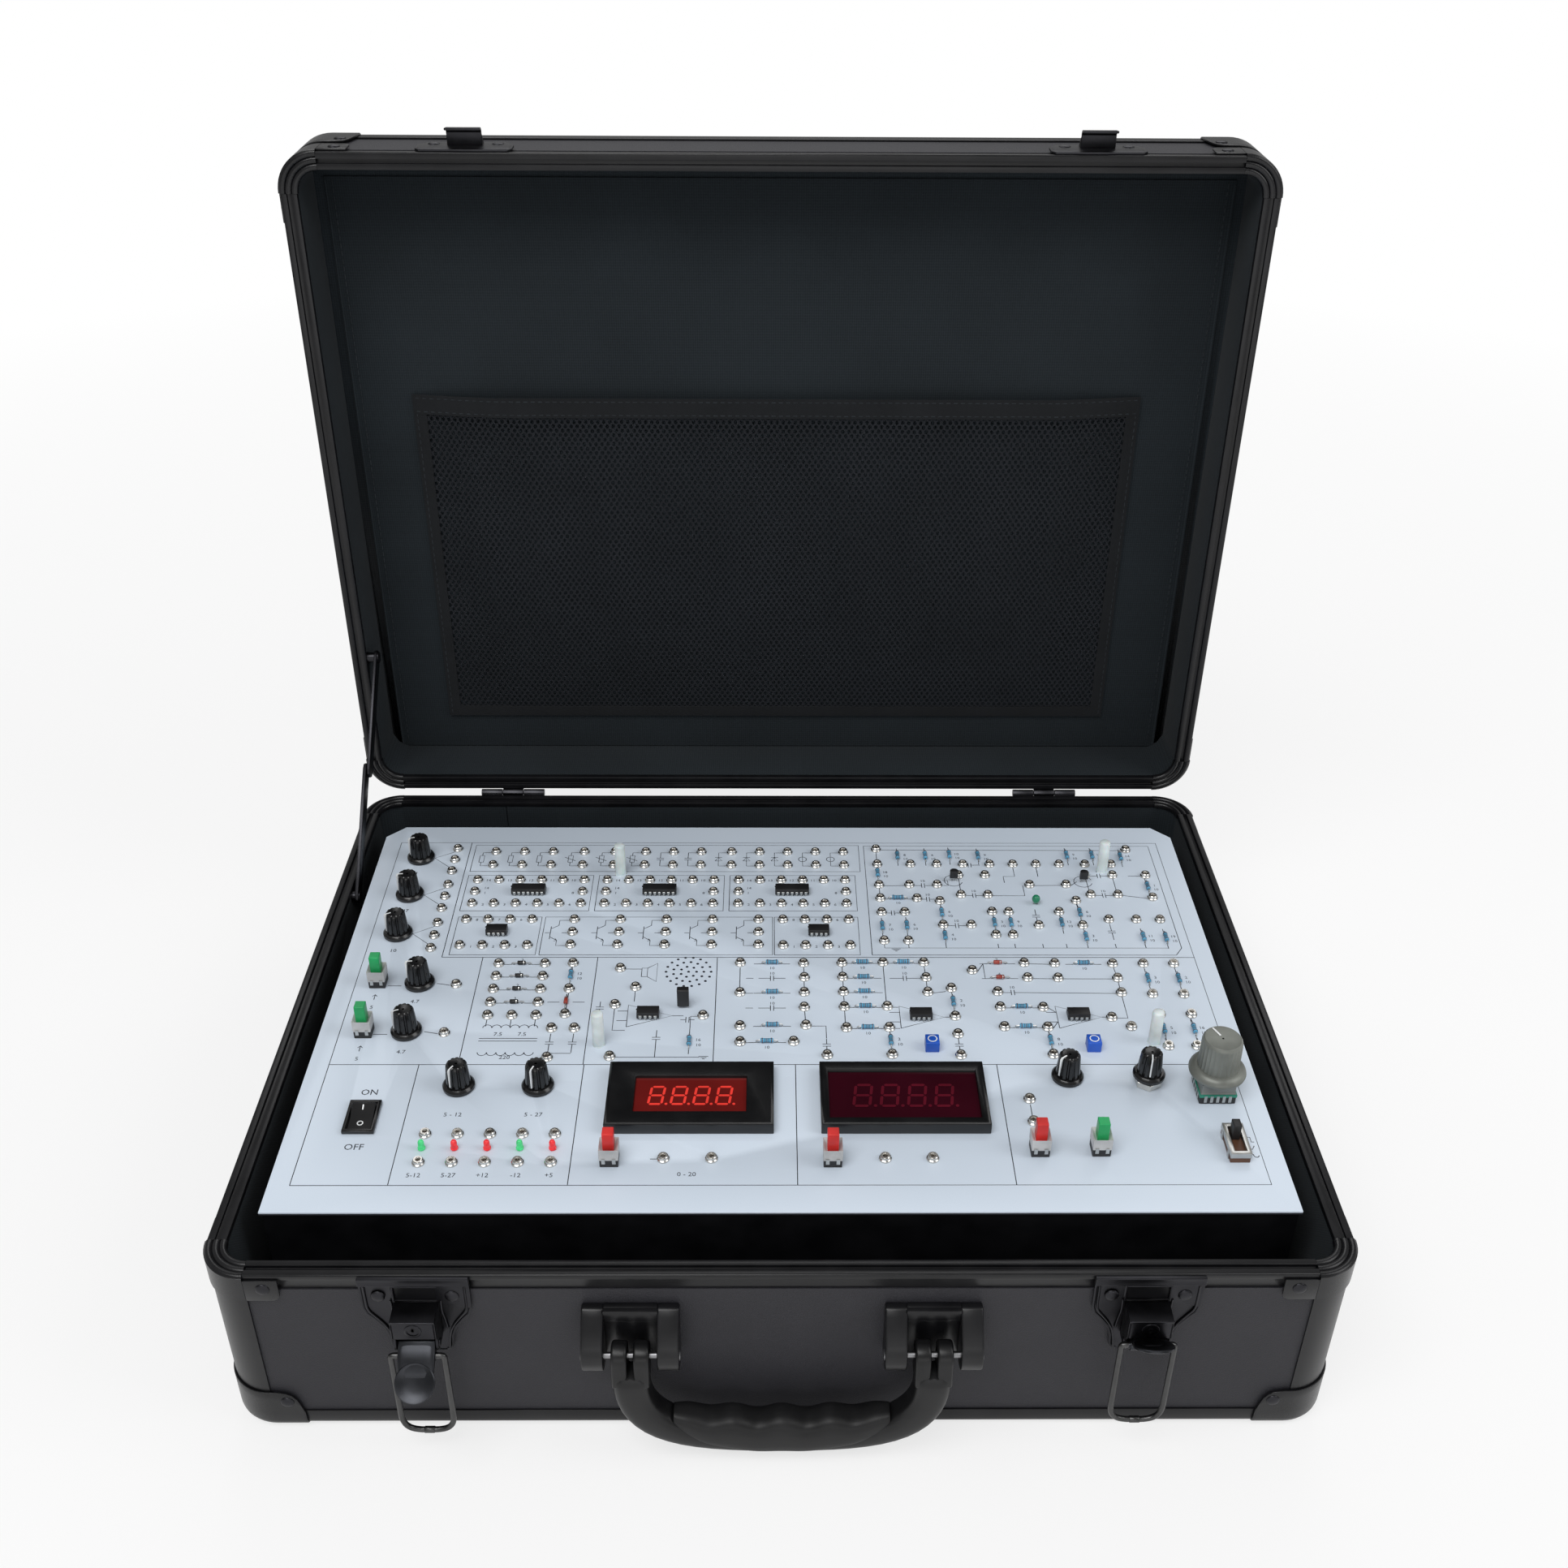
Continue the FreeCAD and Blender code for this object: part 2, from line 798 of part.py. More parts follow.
# Rivets of the rim corners and ball corners, on all four sides.
def corner_rivets(prefix, low_rim, foot, way):
    rows = (
        ("Rim", d.rim_rivet_in, low_rim - way * d.rim_rivet_drop),
        ("Cap", d.cap_rivet_in, foot + way * d.cap_rivet_up),
    )
    pieces = []
    for name, inwards, z in rows:
        out_y = half_depth + d.cap_skin
        out_x = half_width + d.cap_skin
        pair = [
            dome_rivet(prefix + name + "Back", half_width - inwards, out_y, z, ALONG_Y),
            dome_rivet(prefix + name + "Side", out_x, half_depth - inwards, z, ALONG_X),
        ]
        pieces += four_corners(prefix + name + "Set", group(prefix + name, pair))
    return pieces


# The fabric-covered cards that line a shell: a floor, four straight walls and four rounded corners on it.
# The walls come as front, back, right and left.
def lining_cards(prefix, low_rim, foot, way):
    inwards = leg_in + d.lining_gap
    inner = inwards + d.lining_wall
    centre_x = half_width - d.corner_radius
    centre_y = half_depth - d.corner_radius
    foot_z = foot + way * d.edge_solid
    floor_z = foot_z + way * d.lining_floor
    top_z = low_rim - way * (d.rim_lip + d.lining_drop)
    low, high = (floor_z, top_z) if way > 0 else (top_z, floor_z)
    corners = rounded(half_width - inwards, half_depth - inwards, d.corner_radius - inwards)
    floor = prism(prefix + "Floor", "XY", corners, d.lining_floor, z=foot_z if way > 0 else floor_z)
    front = block(prefix + "Front", (-centre_x, inwards - half_depth, low), (centre_x, inner - half_depth, high))
    back = mirror(prefix + "Back", front, Vector(0, 1, 0))
    left = block(prefix + "Left", (inwards - half_width, -centre_y, low), (inner - half_width, centre_y, high))
    right = mirror(prefix + "Right", left, Vector(1, 0, 0))
    section = [
        (half_width - inwards, centre_y), *quarter(centre_x, centre_y, d.corner_radius - inwards),
        (centre_x, half_depth - inwards), (centre_x, half_depth - inner),
        *quarter(centre_x, centre_y, d.corner_radius - inner)[::-1], (half_width - inner, centre_y),
    ]
    turns = four_corners(prefix + "Turns", prism(prefix + "Turn", "XY", section, high - low, z=low))
    return floor, front, back, right, left, turns


frame_base = lengths("baseRim", rim_corners(), rim, -1, d.corner_radius)
frame_base += lengths("baseEdge", edge_corners(), 0 * d.board, 1, d.corner_radius)
frame_base += posts("basePost", rim, 0 * d.board, 1)
frame_lid = lengths("lidRim", rim_corners(), lid_rim, 1, d.corner_radius)
frame_lid += lengths("lidEdge", edge_corners(), lid_top, -1, d.corner_radius)
frame_lid += posts("lidPost", lid_rim, lid_top, -1)
keep("base_frame", group("baseFrame", frame_base))
keep("lid_frame", lay_open(group("lidFrame", frame_lid)))

base_front, base_back, base_sides, base_floor = boards("baseBoard", rim, 0 * d.board, 1)
inlet_z = d.inlet_up
inlet_x = d.inlet_from_side - half_width
cutout = block(
    "inletCutout",
    (inlet_x - d.inlet_body_width / 2 - d.hole_play, half_depth - board_in - 1,
     inlet_z - d.inlet_body_height / 2 - d.hole_play),
    (inlet_x + d.inlet_body_width / 2 + d.hole_play, half_depth + 1,
     inlet_z + d.inlet_body_height / 2 + d.hole_play),
)
base_back_cut = cut("baseBackCut", base_back, cutout)
belly_x = half_width - d.edge_flange - d.belly_gap
belly_y = half_depth - d.edge_flange - d.belly_gap
belly_cut = 2 * (d.cap_reach_low - d.edge_flange) + d.belly_gap
belly_corners = [
    (belly_x, belly_cut - belly_y), (belly_x, belly_y - belly_cut), (belly_x - belly_cut, belly_y),
    (belly_cut - belly_x, belly_y), (-belly_x, belly_y - belly_cut), (-belly_x, belly_cut - belly_y),
    (belly_cut - belly_x, -belly_y), (belly_x - belly_cut, -belly_y),
]
belly = prism("baseFloorBelly", "XY", belly_corners, d.edge_solid)
base_floor_thick = fuse("baseFloorThick", [base_floor, belly])
keep("base_boards", group("baseBoards", [base_front, base_back_cut, *base_sides, base_floor_thick]))
lid_front, lid_back, lid_sides, lid_floor = boards("lidBoard", lid_rim, lid_top, -1)
keep("lid_boards", lay_open(group("lidBoards", [lid_front, lid_back, *lid_sides, lid_floor])))

base_caps = four_corners("baseRimCorners", rim_corner("baseRimCorner", rim, 1))
base_caps += ball_corners("baseBall", 0 * d.board, 1)
lid_caps = four_corners("lidRimCorners", rim_corner("lidRimCorner", lid_rim, -1))
lid_caps += ball_corners("lidBall", lid_top, -1)
keep("base_corner_caps", group("baseCaps", base_caps))
keep("lid_corner_caps", lay_open(group("lidCaps", lid_caps)))

# Lid stay: two straps that meet at an elbow and are straight when the lid is open. Its two pivots are pins on
# the left rim bars. The lower strap is nearer to the rim, the upper strap lies against it.
stay_lower_x = -half_width + d.stay_inset
stay_upper_x = stay_lower_x + d.stay_lower_thick + d.stay_gap
stay_lid_z = lid_rim + d.stay_lid_z
open_lid_y = hinge_y + (stay_lid_z - hinge_z)
open_lid_z = hinge_z + (hinge_y - d.stay_lid_y)
reach_y = open_lid_y - d.stay_base_y
reach_z = open_lid_z - d.stay_base_z
stay_length = root(reach_y * reach_y + reach_z * reach_z)
stay_dir_y = reach_y / stay_length
stay_dir_z = reach_z / stay_length
stay_upper_length = stay_length - d.stay_lower_length
elbow_y = d.stay_base_y + stay_dir_y * d.stay_lower_length
elbow_z = d.stay_base_z + stay_dir_z * d.stay_lower_length


# A strap between two points of a YZ plane, with round ends and a hole at the first.
def strap(name, start, end, direction, x, thick, end_half):
    half = d.stay_width / 2
    across_y = -direction[1]
    across_z = direction[0]

    def beside(point, offset):
        return point[0] + across_y * offset, point[1] + across_z * offset

    corners = [
        (*beside(start, half), half), beside(start, -half), (*beside(end, -end_half), end_half), beside(end, end_half),
    ]
    bar = prism(name + "Bar", "YZ", chorded(corners, 4), thick, x=x)
    hole = stud(name + "Hole", (d.stay_pin + d.stay_play) * EYE_ROOM, thick + 2, x - 1, start[0], start[1])
    return cut(name, bar, hole)


stay_base = (d.stay_base_y, d.stay_base_z)
stay_elbow = (elbow_y, elbow_z)
stay_top = (open_lid_y, open_lid_z)
toward = (stay_dir_y, stay_dir_z)
back_toward = (-stay_dir_y, -stay_dir_z)
lower_strap = strap("stayLower", stay_base, stay_elbow, toward, stay_lower_x, d.stay_lower_thick, d.stay_width / 2)
upper_strap = strap("stayUpper", stay_top, stay_elbow, back_toward, stay_upper_x, d.stay_upper_thick, d.stay_width / 2)
keep("stay_lower", lower_strap)
keep("stay_upper", upper_strap)


# The pin of a stay pivot, from the rim bar's inner leg through the lining and the strap to its head.
def stay_pin(name, y, z, strap_x, thick):
    bar_face = -half_width + leg_in
    boss_end = strap_x - d.stay_gap / 2
    head_start = strap_x + thick + d.stay_gap / 4
    boss = stud(name + "Boss", d.stay_pin + 1, boss_end - bar_face, bar_face, y, z)
    shank = stud(name + "Shank", d.stay_pin, head_start - bar_face, bar_face, y, z)
    head = stud(name + "Head", d.stay_head, 0.8, head_start, y, z)
    return fuse(name, [boss, shank, head])


def pin_hole(name, y, z):
    wall = -half_width + leg_in + d.lining_gap
    return stud(name, (d.stay_pin + 1 + d.hole_play) * EYE_ROOM, d.lining_wall + 2, wall - 1, y, z)


base_floor_card, base_front_card, base_back_card, base_right_card, base_left_card, base_turn_cards = lining_cards(
    "baseLining", rim, 0 * d.board, 1
)
inlet_low = inlet_z - d.inlet_body_height / 2 - d.hole_play
inlet_high = inlet_z + d.inlet_body_height / 2 + d.hole_play
inlet_left = inlet_x - d.inlet_body_width / 2 - d.hole_play
inlet_right = inlet_x + d.inlet_body_width / 2 + d.hole_play
back_face = half_depth - leg_in - d.lining_gap
back_front = back_face - d.lining_wall
back_low = d.edge_solid + d.lining_floor
back_high = rim - d.rim_lip - d.lining_drop
straight = half_width - d.corner_radius
around_inlet = [
    block("backCardLeft", (-straight, back_front, back_low), (inlet_left, back_face, back_high)),
    block("backCardRight", (inlet_right, back_front, back_low), (straight, back_face, back_high)),
    block("backCardLow", (inlet_left, back_front, back_low), (inlet_right, back_face, inlet_low)),
    block("backCardHigh", (inlet_left, back_front, inlet_high), (inlet_right, back_face, back_high)),
]
base_left_cut = cut("baseLeftCard", base_left_card, pin_hole("basePinHole", d.stay_base_y, d.stay_base_z))
keep("base_lining", group("baseLiningSet", [
    base_floor_card, base_front_card, *around_inlet, base_right_card, base_left_cut, *base_turn_cards,
]))

lid_floor_card, lid_front_card, lid_back_card, lid_right_card, lid_left_card, lid_turn_cards = lining_cards(
    "lidLining", lid_rim, lid_top, -1
)
lining_face = lid_top - d.edge_solid - d.lining_floor
lid_left_cut = cut("lidLeftCard", lid_left_card, pin_hole("lidPinHole", d.stay_lid_y, stay_lid_z))
pad_front = hinge_y - d.back_pad_high
pad_back = hinge_y - d.back_pad_low
back_pad = block(
    "lidBackPad", (d.back_pad_side - half_width, pad_front, lining_face - d.back_pad),
    (half_width - d.back_pad_side, pad_back, lining_face),
)
keep("lid_lining", lay_open(group("lidLiningSet", [
    lid_floor_card, lid_front_card, lid_back_card, lid_right_card, lid_left_cut, *lid_turn_cards, back_pad,
])))


# Mesh pocket: a hanging net cloth, sewn down at both sides and along its lower edge, open along its hem.
# It swells from the seams to the hem and has upright folds that are deepest half way up.
def pocket_ring(height, part_up):
    left = float(d.pocket_left_side - half_width)
    width = float(half_width - d.pocket_right_side) - left
    cloth = float(d.pocket_cloth)
    face = float(lining_face - d.back_pad)
    y = float(hinge_y) - float(d.pocket_low) - height
    folds = 7
    stretches = 21
    front = []
    back = []
    swell = float(d.pocket_bulge) * math.sin(math.pi / 2 * min(1, part_up * 1.25)) ** 0.7
    for step in range(stretches + 1):
        across = step / stretches
        x = left + width * across
        side = min(1, 7 * across, 7 * (1 - across))
        fold = float(d.pocket_fold) * math.cos(2 * math.pi * folds * across) * math.sin(math.pi * part_up)
        stand = cloth + side * max(0, swell + fold)
        front.append(Vector(x, y, face - stand))
        back.append(Vector(x, y, face - (stand - cloth)))
    return front + back[::-1]


pocket_levels = (0, 0.25, 0.6, 1)
pocket_rings = [pocket_ring(float(d.pocket_height) * level, level) for level in pocket_levels]
pocket_cloth = shaped("lidPocket", through(pocket_rings, split=True))
keep("lid_mesh_pocket", lay_open(pocket_cloth))

# Hinges: three knuckles on one pin. The base's leaf has the outer two, the lid's has the middle one.
third = d.hinge_length / 3


def hinge_pair():
    start = d.hinge_centre - d.hinge_length / 2
    middle_from = start + third + d.knuckle_play / 2
    middle_to = start + 2 * third - d.knuckle_play / 2
    back = half_depth
    leaf_back = half_depth + d.leaf
    base_edge = hinge_z - d.leaf_clear
    lid_edge = hinge_z + d.leaf_clear
    base = [
        block("baseLeaf", (start, back, base_edge - d.leaf_height), (start + d.hinge_length, leaf_back, base_edge)),
        rod("hingePin", d.hinge_pin, third + 4, start + third - 2, hinge_y, hinge_z, ALONG_X),
    ]
    ends = ((start, start + third - d.knuckle_play / 2), (start + 2 * third + d.knuckle_play / 2, start + 3 * third))
    for number, (low, high) in enumerate(ends):
        base.append(stud(f"baseKnuckle{number}", d.knuckle, high - low, low, hinge_y, hinge_z))
        base.append(block(f"baseNeck{number}", (low, back + 0.35, base_edge), (high, leaf_back + 0.35, hinge_z)))
    lid_leaf = block("lidLeaf", (start, back, lid_edge), (start + d.hinge_length, leaf_back, lid_edge + d.leaf_height))
    lid_neck = block("lidNeck", (middle_from, back + 0.35, hinge_z), (middle_to, leaf_back + 0.35, lid_edge + 1))
    knuckle = stud("lidKnuckle", d.knuckle, middle_to - middle_from, middle_from, hinge_y, hinge_z)
    bore = rod("lidBore", d.hinge_pin + d.pin_play, third + 2, middle_from - 1, hinge_y, hinge_z, ALONG_X)
    lid = cut("lidHinge", fuse("lidHingeSolid", [lid_leaf, lid_neck, knuckle]), bore)
    return fuse("baseHinge", base), lid


base_hinge, lid_hinge = hinge_pair()
keep("base_hinge_leaves", group("baseHinges", both_sides("baseHingeLeft", base_hinge)))
keep("lid_hinge_leaves", lay_open(group("lidHinges", both_sides("lidHingeLeft", lid_hinge))))

# Latches on the base's front: a tapered plate, and a lock housing whose two ears carry the lever's pin.
front_y = -half_depth
plate_y = front_y - d.latch_plate
pivot_y = front_y - d.latch_pivot_out
pivot_z = d.latch_pivot_up


def latch_plate():
    wide = d.latch_width / 2
    low_wide = d.latch_low_width / 2
    window = d.latch_window / 2
    inner = d.housing_width / 2 - d.cheek
    outer = d.housing_width / 2
    centre = d.latch_centre
    plate = prism(
        "latchPlate", "XZ",
        [(centre - low_wide, d.latch_low), (centre + low_wide, d.latch_low), (centre + wide, d.latch_knee),
         (centre + wide, d.latch_top), (centre - wide, d.latch_top), (centre - wide, d.latch_knee)],
        d.latch_plate, y=plate_y,
    )
    opening = block(
        "latchWindow", (centre - window, plate_y - 1, d.window_low), (centre + window, front_y + 1, d.window_high)
    )
    housing_y = front_y - d.housing_out
    cheek_corners = [
        (plate_y, d.housing_high), (housing_y, d.housing_high), (housing_y, d.housing_low),
        (pivot_y - d.cheek_waist, pivot_z + d.cheek_waist_up), (pivot_y - d.latch_ear, pivot_z + 1),
        (pivot_y - d.latch_ear, pivot_z, d.latch_ear), (pivot_y, pivot_z - d.latch_ear),
        (plate_y, pivot_z - d.latch_ear),
    ]
    cheek_corners = chorded(cheek_corners, 4)
    cheek = prism("latchCheek", "YZ", cheek_corners, d.cheek, x=centre + inner)
    other = prism("latchCheekOther", "YZ", cheek_corners, d.cheek, x=centre - outer)
    cover = block(
        "latchCover", (centre - outer, housing_y, d.housing_low), (centre + outer, housing_y + d.cheek, d.housing_high)
    )
    top = block(
        "latchTop", (centre - outer, housing_y, d.housing_high - d.cheek), (centre + outer, plate_y, d.housing_high)
    )
    pin = stud("latchPin", d.latch_pin, 2 * inner + 1, centre - inner - 0.5, pivot_y, pivot_z)
    return fuse("latchBase", [cut("latchPlateCut", plate, opening), cheek, other, cover, top, pin])


keep("latch_plates", group("latchPlates", both_sides("latchBaseLeft", latch_plate())))


# The lever, modelled hanging straight down from its pin and then turned out to its angle. Its first eye turns
# on the housing's pin, its second carries the bail, and its free end is a round spoon.
def lever(name, centre, angle):
    eye = d.lever_eye
    arm = d.lever_arm
    bevel = eye * 0.6
    link = [
        (-eye, 0), (-bevel, bevel), (bevel, bevel), (eye, 0), (eye, -arm), (bevel, -arm - bevel),
        (-bevel, -arm - bevel), (-eye, -arm),
    ]
    body = prism(name + "Link", "YZ", link, d.lever_width, x=-d.lever_width / 2)
    tongue = block(
        name + "Tongue", (-d.lever_width / 2, -eye, -arm), (d.lever_width / 2, -eye + d.lever_skin, -d.lever_reach)
    )
    spoon_corners = [(across, up - d.lever_reach) for across, up in regular(d.spoon, 16)]
    spoon = prism(name + "Spoon", "XZ", spoon_corners, d.lever_skin, y=-eye)
    wide = d.lever_width + 2
    first = stud(name + "Eye", (d.latch_pin + d.pin_play) * EYE_ROOM, wide, -wide / 2, 0, 0)
    second = stud(name + "BailEye", (d.bail_wire + d.pin_play) * EYE_ROOM, wide, -wide / 2, 0, -arm)
    solid = fuse(name + "Solid", [body, tongue, spoon])
    made = cut(name, solid, fuse(name + "Eyes", [first, second]))
    return place(made, centre, pivot_y, pivot_z, Rotation(Vector(1, 0, 0), -angle))


# A bent wire of six-sided section through points of the XZ plane, mitred at each bend.
def bent_wire(name, points, radius):
    points = [Vector(float(x), 0, float(z)) for x, z in points]
    stretches = [(after - point).normalize() for point, after in zip(points, points[1:])]
    rings = []
    for index, point in enumerate(points):
        before = stretches[max(index - 1, 0)]
        after = stretches[min(index, len(stretches) - 1)]
        along = (before + after).normalize()
        across = Vector(-along.z, 0, along.x) / along.dot(after)
        rings.append([
            point + across * (float(radius) * math.cos(turn)) + Vector(0, float(radius) * math.sin(turn), 0)
            for turn in (math.pi * step / 3 for step in range(6))
        ])
    return shaped(name, through(rings))


# The bail: a wire loop from one inward end in the lever's eye round to the other.
def bail(name, centre, angle):
    turn = math.radians(angle)
    leg = float(d.bail_width) / 2
    bend = float(d.bail_bend)
    length = float(d.bail_length)
    end = leg - float(d.lever_width / 2 - d.bail_end)
    corner = float(d.bail_wire) * 1.6
    half = [(-leg + end, 0), (-leg + corner, 0), (-leg, -corner), (-leg, bend - length, bend), (-leg + bend, -length)]
    points = chorded([*half, (0, 0)])[:-1]
    points += [(-x, z) for x, z in points[::-1]]
    wire = group(name, [bent_wire(name + "Wire", points, d.bail_wire)])
    arm = d.lever_arm
    return place(wire, centre, pivot_y - arm * math.sin(turn), pivot_z - arm * math.cos(turn))


for side, centre, angle in (("left", -d.latch_centre, d.lever_open_left), ("right", d.latch_centre, d.lever_open_right)):
    keep(f"latch_lever_{side}", lever(f"lever{side.title()}", centre, float(angle)))
    keep(f"latch_bail_{side}", bail(f"bail{side.title()}", centre, float(angle)))


# Hasps on the lid's front: a riveted plate and a box hook that the bail goes over.
def hasp():
    centre = d.latch_centre
    wide = d.hasp_width / 2
    low = lid_rim + d.hasp_low
    high = lid_rim + d.hasp_high
    plate = block("haspPlate", (centre - wide, plate_y, low), (centre + wide, front_y, high))
    top = lid_rim + d.hook_top
    out = front_y - d.hook_out
    skin = d.hook_skin
    hook = prism(
        "haspHook", "YZ",
        [(plate_y, top), (out, top), (out - 0.6, top - d.hook_depth), (out - 0.6 + skin, top - d.hook_depth),
         (out + skin, top - skin), (plate_y, top - skin)],
        d.hook_width, x=centre - d.hook_width / 2,
    )
    return fuse("hasp", [plate, hook])


keep("lid_hasps", lay_open(group("lidHasps", both_sides("haspLeft", hasp()))))

# Carrying handle: two mounts with a pin each, and a D-shaped grip that hangs from the pins.
pin_y = front_y - d.handle_pin_out
pin_z = d.handle_pin_up
board_face = front_y + d.board_inset


def handle_mount():
    centre = d.mount_centre
    wide = d.mount_width / 2
    gap = d.mount_gap / 2
    mid = (d.mount_low + d.mount_high) / 2
    plate_front = board_face - d.mount_plate
    cheek = [
        (board_face, d.mount_low), (board_face, d.mount_high), (plate_front - 2, d.mount_high),
        (pin_y - 2, mid + 4), (pin_y - 5, pin_z, 5), (pin_y, pin_z - 5), (plate_front - 3, d.mount_low),
    ]
    cheek = chorded(cheek)
    left = prism("mountCheek", "YZ", cheek, wide - gap, x=centre - wide)
    right = prism("mountCheekOther", "YZ", cheek, wide - gap, x=centre + gap)
    plate = block("mountPlate", (centre - gap, plate_front, d.mount_low), (centre + gap, board_face, d.mount_high))
    pin = rod("mountPin", d.handle_pin, 2 * gap + 2, centre - gap - 1, pin_y, pin_z, ALONG_X)
    return fuse("handleMount", [left, right, plate, pin])


keep("handle_mounts", group("handleMounts", both_sides("handleMountLeft", handle_mount())))


def carrying_handle():
    root_out = d.mount_centre + d.handle_root / 2
    root_in = d.mount_centre - d.handle_root / 2
    drop = d.handle_drop
    grip_top = -(drop - d.handle_grip)
    body = add("PartDesign::Body", "handleBody")
    bump = d.mount_centre / 6
    loop = [
        (root_out, d.handle_eye), (root_in, d.handle_eye), (root_in, -0.28 * drop, -0.55 * drop),
        (root_in - 0.22 * drop, grip_top - 0.04 * drop, -0.9 * bump),
        (root_in - 0.22 * drop - 1.4 * bump, grip_top - 0.02 * drop, -1.6 * bump), (0.55 * bump, grip_top, 2 * bump),
        (-0.55 * bump, grip_top, -1.6 * bump),
        (-(root_in - 0.22 * drop - 1.4 * bump), grip_top - 0.02 * drop, -0.9 * bump),
        (-(root_in - 0.22 * drop), grip_top - 0.04 * drop, -0.55 * drop), (-root_in, -0.28 * drop),
        (-root_in, d.handle_eye), (-root_out, d.handle_eye), (-root_out, -0.2 * drop, 1.25 * drop),
        (-0.62 * d.mount_centre, -0.9 * drop, 3.2 * drop), (0.62 * d.mount_centre, -0.9 * drop, 1.25 * drop),
        (root_out, -0.2 * drop),
    ]
    feature = body.newObject("PartDesign::Pad", "handlePad")
    feature.Profile = body_sketch(
        body, "handleLoop", chorded(loop, 4), role="XZ_Plane", height=-d.handle_thick * 0.35
    )
    set_size(feature, "Length", d.handle_thick)
    return body, feature


handle_body, handle_pad = carrying_handle()
handle_bores = rod(
    "handleBores", d.handle_pin + d.handle_play, d.case_width, -half_width, pin_y, pin_z, ALONG_X
)
place(handle_body, 0, pin_y, pin_z)
keep("handle", cut("handleCut", handle_body, handle_bores))

# Rivets of the case, with the pins that the stay turns on.
latch_rivet_z = (d.window_low + d.window_high) / 2 - 1
latch_rivets = []
for side, x in (("Left", d.latch_centre - d.latch_width / 3), ("Right", d.latch_centre + d.latch_width / 3)):
    latch_rivets.append(dome_rivet("latchRivet" + side, x, plate_y, latch_rivet_z, TO_FRONT))
base_rivets = corner_rivets("baseRivet", rim, 0 * d.board, 1)
base_rivets += both_sides("latchRivetsLeft", group("latchRivets", latch_rivets))
base_rivets.append(stay_pin("stayBasePin", d.stay_base_y, d.stay_base_z, stay_lower_x, d.stay_lower_thick))
keep("base_rivets", group("baseRivets", base_rivets))
hasp_rivets = []
for side, x in (("Left", d.latch_centre - d.hasp_width / 3), ("Right", d.latch_centre + d.hasp_width / 3)):
    hasp_rivets.append(dome_rivet("haspRivet" + side, x, plate_y, lid_rim + d.hasp_high - 5, TO_FRONT))
lid_rivets = corner_rivets("lidRivet", lid_rim, lid_top, -1)
lid_rivets += both_sides("haspRivetsLeft", group("haspRivets", hasp_rivets))
lid_rivets.append(stay_pin("stayLidPin", d.stay_lid_y, stay_lid_z, stay_upper_x, d.stay_upper_thick))
keep("lid_rivets", lay_open(group("lidRivets", lid_rivets)))

# Steel box under the working panel: an open-topped tray with an inward flange that the panel lies on.
tray_z = d.edge_solid + d.lining_floor
panel_top = rim
panel_low = panel_top - d.panel


def chamfered(half_x, half_y, chamfer):
    return [
        (-half_x, -half_y), (half_x, -half_y), (half_x, half_y - chamfer), (half_x - chamfer, half_y),
        (-half_x + chamfer, half_y), (-half_x, half_y - chamfer),
    ]


panel_x = half_width - d.panel_side_gap
panel_y = half_depth - d.panel_end_gap
tray_x = panel_x - d.chassis_margin
tray_y = panel_y - d.chassis_margin
chassis = add("PartDesign::Body", "chassisBody")
pad(chassis, "chassisPad", chamfered(tray_x, tray_y, d.panel_chamfer), tray_z, panel_low - tray_z)
inner_x = tray_x - d.chassis_sheet
inner_y = tray_y - d.chassis_sheet
pocket(
    chassis, "chassisHollow", chamfered(inner_x, inner_y, d.panel_chamfer), panel_low - d.chassis_sheet,
    panel_low - tray_z - 2 * d.chassis_sheet,
)
lip_x = tray_x - d.chassis_flange
lip_y = tray_y - d.chassis_flange
pocket(
    chassis, "chassisMouth", chamfered(lip_x, lip_y, d.panel_chamfer), panel_low, 2 * d.chassis_sheet,
)
keep("chassis_box", chassis)

# Places on the panel, as (across, back) from its middle. They are drawn for a panel with these half sizes, and
# follow the panel's own size.
LAYOUT_X = 230
LAYOUT_Y = 150


def on_panel(x, y):
    return x * float(panel_x) / LAYOUT_X, y * float(panel_y) / LAYOUT_Y


def all_on_panel(places):
    return [on_panel(x, y) for x, y in places]


POT_KNOBS = {
    "resistance_knob_1": (-205.8, 118.5),
    "resistance_knob_2": (-205.8, 83),
    "resistance_knob_3": (-205.8, 48),
    "source_knob_1": (-186.8, 6.5),
    "source_knob_2": (-186.8, -31),
    "negative_supply_knob": (-154.4, -70.4),
    "positive_supply_knob": (-116.6, -70.4),
    "amplitude_knob": (138.6, -64),
    "frequency_knob": (176.7, -68),
}
SELECTOR = (207, -74)
BUTTONS = {
    "source_button_1": (-208, 6.5),
    "source_button_2": (-207.5, -32),
    "voltmeter_button": (-78.3, -119),
    "frequency_meter_button": (23.2, -119.3),
    "generator_power_button": (118.3, -113),
    "attenuation_button": (146.3, -112.7),
}
ROCKER = (-196.3, -91.8)
SLIDE = (209, -111)
TRIMMERS = {"trimmer_screw_1": (74.7, -43), "trimmer_screw_2": (154.6, -43)}
VOLTMETER = (-43, -80.7)
FREQUENCY_METER = (58, -80.7)
SPEAKER = (-48, 16)
STANDOFFS = ((-90, 103.5), (-90, -40), (184, 107), (185.5, -39))
TERMINALS = [(x, -102.5) for x in (-165, -150, -135, -120, -105)]
TERMINALS += [(x, -120.4) for x in (-165, -150, -135, -120)]
TERMINALS += [(-54, -118), (47.3, -118), (69, -118), (118.2, -79.6), (118.2, -94.6)]
TEST_TERMINALS = ((-105, -120.4), (-32, -118))


def row(y, start, pitch, count):
    return [(start + pitch * number, y) for number in range(count)]


